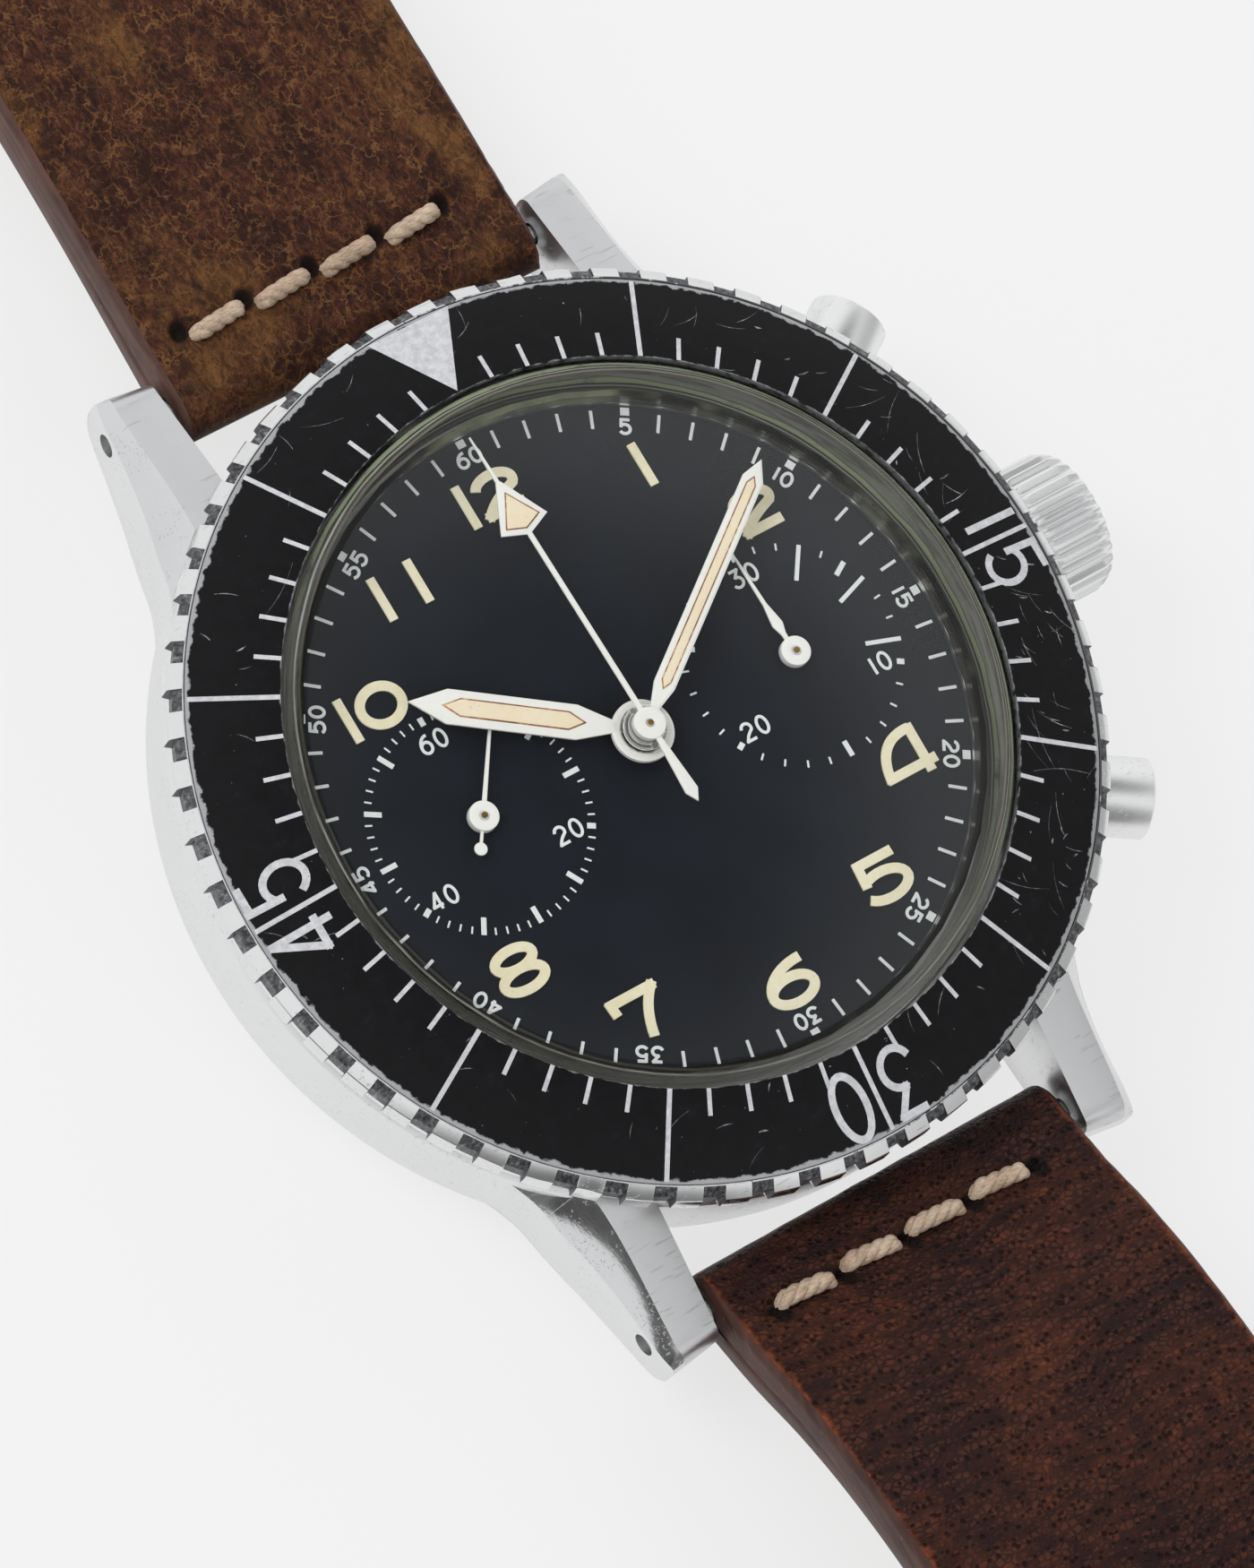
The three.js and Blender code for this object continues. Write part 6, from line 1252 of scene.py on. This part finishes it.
def fibre_hide():
    recipe = Recipe("leather_fibre")
    spot = recipe.where()
    x, y, _ = recipe.parts(spot)
    loose = bent(recipe, spot, 1.1, 0.9)
    body = recipe.noise(recipe.stretch(loose, (1.7, 0.7, 1)), 2.3, 6, 0.74)
    blotch = recipe.noise(recipe.stretch(spot, (0.16, 0.1, 0.1)), 1.0, 4, 0.62, 0.4)
    tone_one = recipe.ramp(body, (0.3, tone(28, 16, 13)), (0.45, tone(52, 28, 21)), (0.56, tone(76, 42, 29)),
                           (0.7, tone(110, 66, 40)))
    ochre = recipe.mix(body.above(0.5, 0.16) * 0.75 + 0.15, tone(58, 36, 20), tone(128, 88, 48))
    shade = recipe.mix((blotch.above(0.57, 0.09) * 0.7).clamp(), tone_one, ochre)
    dark = recipe.noise(recipe.stretch(spot, (0.5, 0.3, 0.4)), 1.0, 5, 0.7)
    shade = recipe.mix((1 - dark.above(0.47, 0.07)) * 0.72, shade, tone(34, 16, 15))
    net = recipe.cells(recipe.stretch(bent(recipe, spot, 2.6, 0.75), (1.5, 0.95, 1.3)), 1.0, "DISTANCE_TO_EDGE")
    fine = recipe.cells(recipe.stretch(bent(recipe, spot, 5.0, 0.4), (3.1, 2.2, 2.6)), 1.0, "DISTANCE_TO_EDGE")
    veins = (1 - net.above(0.045, 0.035)) * recipe.noise(spot, 0.9, 3).above(0.5, 0.1)
    small = (1 - fine.above(0.06, 0.05)) * recipe.noise(spot, 1.7, 3).above(0.52, 0.09)
    lines = (veins * 0.75 + small * 0.45).clamp()
    shade = recipe.mix(lines, shade, recipe.mix(dark, tone(84, 50, 30), tone(140, 98, 58)))
    edge = worn_edge(recipe, spot, x, y, 9.55)
    shade = recipe.mix(edge * 0.5, shade, tone(118, 68, 38))
    # Painted shade: the awl holes are darkened where the thread goes into the leather.
    holes = (awl_holes(x, y, BAR_END + upper_band.row + 0.25)
             + awl_holes(x, y, BAR_END + BUCKLE_ROW + 0.2)).clamp()
    shade = recipe.mix(holes * 0.94, shade, tone(14, 8, 6))
    first = recipe.bump(body + lines * 0.35, 0.11, 0.75)
    second = recipe.bump(recipe.noise(spot, 8, 3, 0.6), 0.03, 0.5, first)
    return recipe.surface(base_color=shade, roughness=(body * 0.25 + 0.5).clamp(), normal=second,
                          specular_ior_level=0.16)


def pored_hide():
    recipe = Recipe("leather_pores")
    spot = recipe.where()
    x, y, z = recipe.parts(spot)
    body = recipe.noise(recipe.stretch(spot, (0.7, 1.1, 1)), 1.5, 6, 0.7)
    blotch = recipe.noise(recipe.stretch(spot, (0.17, 0.2, 0.15)), 1.0, 4, 0.62, 0.3)
    shade = recipe.ramp((body * 0.6 + blotch * 0.4).clamp(), (0.36, tone(31, 17, 15)), (0.47, tone(48, 25, 20)),
                        (0.56, tone(66, 34, 24)), (0.68, tone(98, 52, 33)))
    waves = recipe.noise(recipe.stretch(spot, (0.13, 0.02, 0.0)), 1.0, 1) * 3 + recipe.noise(spot, 0.35, 1) * 0.7
    grid = recipe.add("ShaderNodeCombineXYZ", {}, [x * 2.7, (y + waves) * 2.7, 0.5])
    pore = recipe.cells(grid, 1.0, "F1", 0.8)
    in_row = ((y + waves) * (TURN / 0.85)).math("SINE").above(-0.15, 0.3)
    pebbles = recipe.cells(recipe.stretch(spot, (2.6, 3.2, 2.6)), 1.0, "DISTANCE_TO_EDGE").above(0.12, 0.12)
    pits = (1 - pore.above(0.28, 0.12)) * in_row * recipe.noise(spot, 0.7, 2).above(0.2, 0.1)
    waved = recipe.add("ShaderNodeCombineXYZ", {}, [x, y + waves, z])
    furrow = recipe.noise(recipe.stretch(waved, (0.5, 2.1, 1)), 1.0, 3)
    near_bar = (y + (BAR_END + 2.0)).above(0.0, 1.2)
    shade = recipe.mix(near_bar * 0.35, shade, tone(46, 29, 26))
    shade = recipe.mix((1 - blotch.above(0.46, 0.06)) * 0.35, shade, tone(30, 18, 21))
    # Painted light on the grain: the tops of the pebbles are lightened as painted highlights, the borders between them
    # are darkened as painted shade, and the pores are darkened as painted shade.
    shade = recipe.mix(pebbles * furrow.above(0.5, 0.06) * 0.22, shade, tone(118, 68, 48))
    shade = recipe.mix((1 - pebbles) * 0.25, shade, tone(24, 12, 11))
    shade = recipe.mix((pits * 0.72).clamp(), shade, tone(14, 8, 7))
    edge = worn_edge(recipe, spot, x, y, 9.28)
    shade = recipe.mix(edge * 0.8, shade, tone(140, 68, 34))
    # Painted shade: the awl holes are darkened where the thread goes into the leather.
    holes = awl_holes(x - 0.3, y, -(BAR_END + lower_band.row) + 0.35)
    shade = recipe.mix(holes * 0.95, shade, tone(12, 7, 6))
    first = recipe.bump(furrow * 0.6 + body * 0.5 + pebbles * 0.25 - pits * 0.8, 0.2, 0.75)
    second = recipe.bump(recipe.noise(spot, 9, 3, 0.6), 0.02, 0.45, first)
    gloss = (body * 0.25 - near_bar * 0.12 + pits * 0.2 + 0.4).clamp()
    return recipe.surface(base_color=shade, roughness=gloss, normal=second, specular_ior_level=0.15)


def burnished_side():
    recipe = Recipe("leather_side")
    spot = recipe.where()
    y = recipe.parts(spot)[1]
    layers = recipe.noise(recipe.stretch(spot, (0.6, 0.35, 3.2)), 1.0, 4, 0.6)
    clouds = recipe.noise(spot, 0.5, 3)
    blend = (layers * 0.6 + clouds * 0.4).clamp()
    upper = recipe.ramp(blend, (0.35, tone(60, 38, 33)), (0.6, tone(94, 66, 58)), (0.75, tone(122, 92, 80)))
    lower = recipe.ramp(blend, (0.35, tone(46, 27, 23)), (0.6, tone(78, 50, 42)), (0.75, tone(108, 74, 62)))
    chipped = recipe.noise(spot, 2.3, 5, 0.75).above(0.66, 0.03)
    shade = recipe.mix(chipped * 0.6, recipe.mix(y.above(0, 1), lower, upper), tone(150, 98, 62))
    return recipe.surface(base_color=shade, roughness=(layers * 0.2 + 0.36).clamp(), specular_ior_level=0.28,
                          normal=recipe.bump(layers + chipped * 0.4, 0.06, 0.6))


def suede_lining():
    recipe = Recipe("leather_lining")
    spot = recipe.where()
    nap = recipe.noise(spot, 6, 5, 0.75)
    worn = recipe.noise(recipe.stretch(spot, (0.25, 0.12, 0.2)), 1.0, 4, 0.6)
    shade = recipe.ramp((nap * 0.45 + worn * 0.55).clamp(), (0.36, tone(92, 62, 42)), (0.5, tone(128, 90, 62)),
                        (0.66, tone(160, 120, 86)))
    return recipe.surface(base_color=shade, roughness=(nap * 0.2 + 0.7).clamp(), normal=recipe.bump(nap, 0.07, 0.8))


leather_fibre, leather_pores = fibre_hide(), pored_hide()
leather_side, leather_lining = burnished_side(), suede_lining()
print("leather finishes:", leather_fibre.name, leather_pores.name, leather_side.name, leather_lining.name)

# %% [markdown]
# Now each half is swept. The stations are 0.24 mm apart near a row of stitches and wider elsewhere, because only there
# does the surface need fine relief: every hole is a small pit, and the thread draws a shallow trough between them.
# The bores for the bars, the slot for the buckle's tongue and the seven holes are real cuts.

# %% Strap halves
def pulled_down(x, along, rows):
    """How far the thread pulls the face down at a place, in millimetres."""
    depth = 0.0
    for row, shift in rows:
        trough = math.exp(-((along - row) / 0.75) ** 2)
        if trough > 0.01 and abs(x) < 8.6:
            depth = max(depth, 0.14 * trough * min(1, (8.6 - abs(x)) / 0.5))
            for hole in HOLES_ACROSS:
                near = ((x - hole) / 0.4) ** 2 + ((along - row - shift) / 0.45) ** 2
                if near < 6:
                    depth = max(depth, 0.55 * math.exp(-near))
    return depth


LEATHERS = [leather_fibre, leather_side, leather_lining]


def sweep_band(name, band, rows, face_finish):
    stations = [-FOLD_RADIUS * math.sin(math.radians(a)) for a in (87, 74, 60, 45, 30, 15)]
    along = 0.0
    while along < band.length - 0.02:
        stations.append(along)
        close = min(abs(along - row) for row, _ in rows) < 1.3
        along += 0.24 if close else 0.7 if along < 50 else 1.1
        if along > band.length - 2.4:
            along -= 1.1 - 0.2
    stations += [band.length - 0.1, band.length - 0.02]
    points, loop = [], []
    for along in stations:
        middle, up = band.place(along)
        thick, wide = band.half_thickness(along), band.half_width(along)
        half = section(wide, thick, 0.13 * max(0, 1 - abs(along) / 11) if thick > 0.6 else 0)
        loop = half + [(-x, v, m) for x, v, m in half[-2:0:-1]]
        for x, v, kind in loop:
            if kind == 0:
                v -= pulled_down(x, along, rows)
                rub = noise.noise(Vector((x * 0.8, along * 0.8, band.side * 7.0)))
                v += 0.05 * rub
            elif kind == 1 and v > 0.2:
                x -= math.copysign(0.07 * abs(noise.noise(Vector((x, along * 1.4, v * 2)))), x)
            elif kind == 2:
                v += 0.22 * math.exp(-((along - FOLD_LENGTH) / 0.3) ** 2)
            points.append(middle + up * v + Vector((x, 0, 0)))
    kinds = [kind for *_, kind in loop]
    around = [1 if 1 in pair else max(pair) for pair in zip(kinds, kinds[1:] + kinds[:1])]
    mesh = marked(unwelded(name, points, capped(len(stations), len(loop))),
                  [face_finish, leather_side, leather_lining], around * (len(stations) - 1) + [1, 1])
    shell = bmesh.new()
    shell.from_mesh(mesh)
    bmesh.ops.recalc_face_normals(shell, faces=shell.faces)
    shell.to_mesh(mesh)
    shell.free()
    return mesh


def cutter(mesh):
    """A cutting tool whose faces leave the burnished finish on the walls that it cuts."""
    return marked(mesh, LEATHERS, [1] * len(mesh.polygons))


def block(low, high):
    points = [(x, y, z) for x in (low[0], high[0]) for y in (low[1], high[1]) for z in (low[2], high[2])]
    sides = [(0, 1, 3, 2), (4, 6, 7, 5), (0, 4, 5, 1), (2, 3, 7, 6), (0, 2, 6, 4), (1, 5, 7, 3)]
    return mesh_of("block", points, sides)


def punch(y):
    points, faces = turned([(0, -1), (HOLE_RADIUS, -1), (HOLE_RADIUS, 14), (0, 14)], 28)
    return mesh_of("punch", moved(points, (0, y, 0)), faces)


HOLE_COUNT, HOLE_RADIUS, HOLE_PITCH, HOLE_START = 7, 0.95, 6.5, 26
STRAP_BAR_BORE, BUCKLE_BAR_BORE = 0.87, 0.76
upper_rows, lower_rows = [(upper_band.row, 0.25), (BUCKLE_ROW, 0.2)], [(lower_band.row, -0.3)]
BUCKLE_BAR = BAR_END + UPPER_LENGTH - 1.7
upper_mesh = sweep_band("strap_upper", upper_band, upper_rows, leather_fibre)
upper_cuts = [rod(STRAP_BAR_BORE, -12, 12, y=BAR_PLACE, z=BAR_HEIGHT),
              rod(BUCKLE_BAR_BORE, -12, 12, y=BUCKLE_BAR, z=BUCKLE_LEVEL),
              block((-1.5, BUCKLE_BAR - 3.0, -1), (1.5, BAR_END + UPPER_LENGTH + 2, 6))]
strap_upper = place_piece("strap_upper", carved(upper_mesh, [cutter(m) for m in upper_cuts], "DIFFERENCE"),
                          leather_fibre, "upper_strap", "strap_top", 40)
lower_mesh = sweep_band("strap_lower", lower_band, lower_rows, leather_pores)
lower_cuts = [rod(STRAP_BAR_BORE, -12, 12, y=-BAR_PLACE, z=BAR_HEIGHT)]
lower_cuts += [punch(-(BAR_END + LOWER_LENGTH - HOLE_START - HOLE_PITCH * i)) for i in range(HOLE_COUNT)]
strap_lower = place_piece("strap_lower", carved(lower_mesh, [cutter(m) for m in lower_cuts], "DIFFERENCE"),
                          leather_pores, "lower_strap", "strap_bottom", 40)
print("strap halves:", len(strap_upper.data.polygons), "and", len(strap_lower.data.polygons), "faces")

# %% [markdown]
# The thread is waxed linen, three plies twisted into a cord almost a millimetre thick. Each stitch comes up through
# one hole and goes down through the next, so its ends plunge into the leather. Drawing it as three strands that wind
# round a common line costs little, and gives the slanted ridges and the soft shadow lines that a texture only fakes.

# %% Stitches
def thread_finish():
    recipe = Recipe("waxed_thread")
    spot = recipe.where()
    fibres = recipe.noise(recipe.stretch(spot, (2.0, 12, 12), (0, 0, 0.5)), 1.0, 3, 0.6)
    soil = recipe.noise(spot, 0.8, 3)
    shade = recipe.ramp((fibres * 0.6 + soil * 0.4).clamp(), (0.3, tone(132, 108, 88)), (0.5, tone(184, 160, 138)),
                        (0.68, tone(214, 196, 174)))
    return recipe.surface(base_color=shade, roughness=(fibres * 0.2 + 0.55).clamp(),
                          normal=recipe.bump(fibres, 0.03, 0.7))


waxed_thread = thread_finish()
PLIES, PLY_RADIUS, PLY_REACH, TWIST_LENGTH = 3, 0.26, 0.17, 1.9


def stitch(surface, start, end, row, tilt, phase):
    """Three strands that climb out of one hole, cross to the next and dive in. surface(x, along, above) places them."""
    steps, sides, points, faces = 34, 8, [], []
    for ply in range(PLIES):
        base = len(points)
        centre_line = []
        for i in range(steps + 1):
            t = i / steps
            plunge = max(0.0, 1 - min(t, 1 - t) / 0.16)
            x = start + (end - start) * t
            above = 0.26 - 1.15 * plunge ** 1.7
            spin = TURN * (ply / PLIES + (x - start) / TWIST_LENGTH) + phase
            pinch = 1 - 0.35 * plunge
            side_step = PLY_REACH * math.cos(spin) * pinch
            lift = PLY_REACH * math.sin(spin) * pinch
            centre_line.append(surface(x, row + tilt * (t - 0.5) + side_step, above + lift))
        for i, here in enumerate(centre_line):
            ahead = (centre_line[min(i + 1, steps)] - centre_line[max(i - 1, 0)]).normalized()
            side = ahead.cross(Vector((0, 0, 1))).normalized()
            over = side.cross(ahead)
            for k in range(sides):
                a = TURN * k / sides
                points.append(here + (side * math.cos(a) + over * math.sin(a)) * PLY_RADIUS)
        for i in range(steps):
            for k in range(sides):
                j = (k + 1) % sides
                faces.append((base + i * sides + k, base + i * sides + j, base + (i + 1) * sides + j,
                              base + (i + 1) * sides + k))
        last = base + steps * sides
        faces += [tuple(base + k for k in range(sides)), tuple(last + k for k in reversed(range(sides)))]
    return points, faces


def stitch_row(name, band, row, tilt, body):
    def top(x, along, above):
        return band.surface(x, along, above - 0.1)

    def below(x, along, above):
        middle, up = band.place(along)
        return middle - up * (band.half_thickness(along) + above - 0.2) + Vector((x, 0, 0))

    chance = random.Random(int(row * 10) + len(name))
    parts = []
    for a, b in zip(HOLES_ACROSS, HOLES_ACROSS[1:]):
        lean = tilt + chance.uniform(-0.06, 0.06)
        parts.append(stitch(top, a + 0.4, b - 0.22, row - 0.05, lean, chance.uniform(0, 6)))
        parts.append(stitch(below, a + 0.12, b - 0.12, row, -lean, chance.uniform(0, 6)))
    return place_piece(name, mesh_of(name, *joined(*parts), weld=0.00001), waxed_thread, body, (), 60)


stitches = [stitch_row("stitches_upper", upper_band, upper_band.row, 0.3, "upper_strap"),
            stitch_row("stitches_buckle", upper_band, BUCKLE_ROW, 0.3, "upper_strap"),
            stitch_row("stitches_lower", lower_band, lower_band.row, 0.3, "lower_strap")]
print("stitches:", sum(len(s.data.polygons) for s in stitches), "faces")

# %% [markdown]
# Two leather loops hold the strap's tail. One is sewn in beside the buckle and the other slides. Each is a narrow
# band, bent round a rectangle with soft corners, so it is a small eased section swept round a closed path. Its outer
# face is the same hide as the strap and its two rims are burnished.

# %% Keepers
def round_loop(half_wide, low, high, corner):
    """A closed path in the x-z plane with soft corners: points and the outward direction at each."""
    made = []
    centres = [(half_wide - corner, high - corner, 0), (corner - half_wide, high - corner, 90),
               (corner - half_wide, low + corner, 180), (half_wide - corner, low + corner, 270)]
    for x, z, start in centres:
        for i in range(7):
            a = math.radians(start + 90 * i / 6)
            made.append((Vector((x + corner * math.cos(a), 0, z + corner * math.sin(a))),
                         Vector((math.cos(a), 0, math.sin(a)))))
    full = []
    for (p, n), (q, m) in zip(made, made[1:] + made[:1]):
        full.append((p, n))
        pieces = max(1, round((q - p).length / 1.2))
        full += [(p.lerp(q, k / pieces), n.lerp(m, k / pieces).normalized()) for k in range(1, pieces)]
    return full


def keeper(name, node, start, body):
    wall, wide = 0.96, 4.96
    flat = eased([(-wide / 2, -wall / 2), (wide / 2, -wall / 2), (wide / 2, wall / 2), (-wide / 2, wall / 2)], 0.3, 3)
    loop = round_loop(9.95, 0.52, 6.72, 1.5)
    points, edge = [], wide / 2 - 0.16
    for spot, out in loop:
        wobble = 0.05 * noise.noise(spot * 0.5 + Vector((0, start, 0)))
        for along, thick in flat:
            shift = Vector((0, start + 2.5 + along + wobble, 0))
            points.append(spot + shift + out * thick * (1 if thick > 0 else 0.98))
    around = [1 if abs(here[0]) > edge and abs(following[0]) > edge else 0 if here[1] > 0 else 2
              for here, following in zip(flat, flat[1:] + flat[:1])]
    mesh = marked(unwelded(name, points, grid(len(loop), len(flat))), LEATHERS, around * len(loop))
    return place_piece(name, mesh, leather_fibre, body, node, 50)


keepers = [keeper("keeper_sewn", "keeper_fixed", 87.2, "upper_strap"),
           keeper("keeper_loose", "keeper_sliding", 75.2, "free_keeper")]
print("keepers:", [len(k.data.polygons) for k in keepers], "faces")

# %% [markdown]
# The buckle is a bent steel frame with a flat tongue. Both are one section carried along a path, and the section
# changes on the way: the frame's arms are flatter where they hold the bar, and the tongue tapers to its tip.

# %% Buckle
def swept(name, stations):
    """Sections along a path. Each station is (middle, side, up, half width, half height, corner)."""
    points, count = [], 0
    for middle, side, up, wide, high, corner in stations:
        ring = eased([(-wide, -high), (wide, -high), (wide, high), (-wide, high)], corner, 4)
        count = len(ring)
        points += [Vector(middle) + Vector(side) * u + Vector(up) * v for u, v in ring]
    return mesh_of(name, points, capped(len(stations), count))


def frame_height(y):
    """The frame lies level at its bar and then slopes down to the floor."""
    slope = [(BUCKLE_BAR + 1.0, BUCKLE_LEVEL), (BUCKLE_BAR + 5, 1.7), (105.6, 1.04), (108, 1.03)]
    return BUCKLE_LEVEL if y < slope[0][0] else follow(slope, y)


half_frame = [(10.1, 95.7)] + [(10.1, 96.2 + 0.9 * i) for i in range(10)]
half_frame += arc(7.9, 104.8, 2.2, 2.2, 0, 90, 9)
half_frame += [(7.9 - 1.13 * i, 107.0) for i in range(1, 8)]
outline = half_frame[:-1] + [(-x, y) for x, y in reversed(half_frame[:-1])]
stations = []
for i, (x, y) in enumerate(outline):
    before, after = outline[max(i - 1, 0)], outline[min(i + 1, len(outline) - 1)]
    ahead = Vector((after[0] - before[0], after[1] - before[1], frame_height(after[1]) - frame_height(before[1])))
    side = ahead.cross(Vector((0, 0, 1))).normalized()
    near_end = min(i, len(outline) - 1 - i)
    slim = 0.75 if near_end == 0 else 0.92 if near_end == 1 else 1.0
    stations.append(((x, y, frame_height(y)), side, side.cross(ahead).normalized(), 0.97 * slim, 0.96 * slim, 0.42))
bar_bore = rod(0.74, -10.2, 10.2, y=BUCKLE_BAR, z=BUCKLE_LEVEL)
frame_mesh = carved(swept("buckle_frame_steel", stations), [bar_bore], "DIFFERENCE")
place_piece("buckle_frame_steel", frame_mesh, polished_steel, "buckle", "buckle_frame", 40)

EYE_RADIUS = 0.985
tongue = []
for a in range(250, -1, -18):
    angle = math.radians(90 + a)
    spot = Vector((0, BUCKLE_BAR + EYE_RADIUS * math.cos(angle), BUCKLE_LEVEL + EYE_RADIUS * math.sin(angle)))
    tongue.append((spot, Vector((0, math.cos(angle), math.sin(angle))), 0.97, 0.21))
for y, z, wide, high in ((98.6, 3.32, 0.97, 0.24), (100.5, 3.2, 0.96, 0.3), (102.5, 3.02, 0.94, 0.34),
                         (104.5, 2.8, 0.9, 0.34), (106.2, 2.48, 0.84, 0.3), (107.2, 2.36, 0.74, 0.25),
                         (107.7, 2.33, 0.45, 0.2)):
    tongue.append((Vector((0, y, z)), Vector((0, 0.1, 1)).normalized(), wide, high))
tongue_mesh = swept("buckle_tongue", [(spot, (1, 0, 0), up, wide, high, 0.14) for spot, up, wide, high in tongue])
place_piece("buckle_tongue", tongue_mesh, polished_steel, "tang", "buckle_tang", 40)
print("buckle:", len(frame_mesh.polygons), "and", len(tongue_mesh.polygons), "faces")

# %% [markdown]
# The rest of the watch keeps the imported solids, which are already exact: the back, the bars and the whole movement.
# They only need finishes. A movement's bridges are plated brass with broad ribs, its wheels are yellow brass turned
# to a fine circular grain, its screws and springs are blued or bright steel, and the seal is dull black rubber.

# %% Finishes inside the case
def ribbed_plate():
    recipe = Recipe("plated_brass")
    spot = recipe.where()
    x, y, _ = recipe.parts(spot)
    ribs = ((x * 0.8 + y * 0.6) * (TURN / 1.6)).math("SINE") * 0.5 + 0.5
    grain = recipe.noise(recipe.stretch(spot, (12, 0.8, 1), (0, 0, 0.64)), 1.0, 3, 0.6)
    shade = recipe.mix((ribs * 0.6 + grain * 0.4).clamp(), tone(196, 176, 150), tone(232, 216, 192))
    return recipe.surface(base_color=shade, metallic=1.0, roughness=(grain * 0.15 + ribs * 0.12 + 0.16).clamp(),
                          normal=recipe.bump(ribs + grain * 0.3, 0.02, 0.5))


def wheel_brass():
    recipe = Recipe("wheel_brass")
    spot = recipe.where()
    grain = recipe.noise(recipe.stretch(spot, (5, 5, 2)), 1.0, 4, 0.7)
    tarnish = recipe.noise(spot, 0.7, 3)
    shade = recipe.ramp((grain * 0.5 + tarnish * 0.5).clamp(), (0.35, tone(168, 128, 62)), (0.6, tone(214, 176, 100)))
    return recipe.surface(base_color=shade, metallic=1.0, roughness=(grain * 0.2 + 0.2).clamp(),
                          normal=recipe.bump(grain, 0.008, 0.5))


def blued():
    recipe = Recipe("blued_steel")
    spot = recipe.where()
    heat = recipe.noise(spot, 1.2, 3)
    shade = recipe.ramp(heat, (0.35, tone(28, 34, 92)), (0.5, tone(38, 56, 140)), (0.65, tone(70, 60, 128)))
    fine = recipe.noise(spot, 14, 2)
    return recipe.surface(base_color=shade, metallic=1.0, roughness=(fine * 0.15 + 0.18).clamp(),
                          normal=recipe.bump(fine, 0.004, 0.5))


def seal_rubber():
    recipe = Recipe("seal_rubber")
    spot = recipe.where()
    grain = recipe.noise(spot, 5, 4, 0.7)
    return recipe.surface(base_color=recipe.ramp(grain, (0.3, tone(18, 18, 18)), (0.7, tone(44, 43, 42))),
                          roughness=(grain * 0.2 + 0.6).clamp(), normal=recipe.bump(grain, 0.02, 0.6))


movement_steel = steel("movement_steel", (0.72, 0.725, 0.73), 0.24, (9, 9, 1), 0.003, 0.2)
inside = {"plated_brass": ribbed_plate(), "brass": wheel_brass(), "blued_steel": blued(), "rubber": seal_rubber(),
          "movement_steel": movement_steel, "steel": satin_steel}
dressed = {}
for name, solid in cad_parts.items():
    slots = [m.name.split(".")[0] if m else "" for m in solid.data.materials]
    for i, slot in enumerate(slots):
        finish = inside.get(slot)
        if finish and name != "crystal_ring":
            solid.data.materials[i] = finish
            dressed[name] = slot
print("dressed", len(dressed), "solids:", sorted(set(dressed.values())))
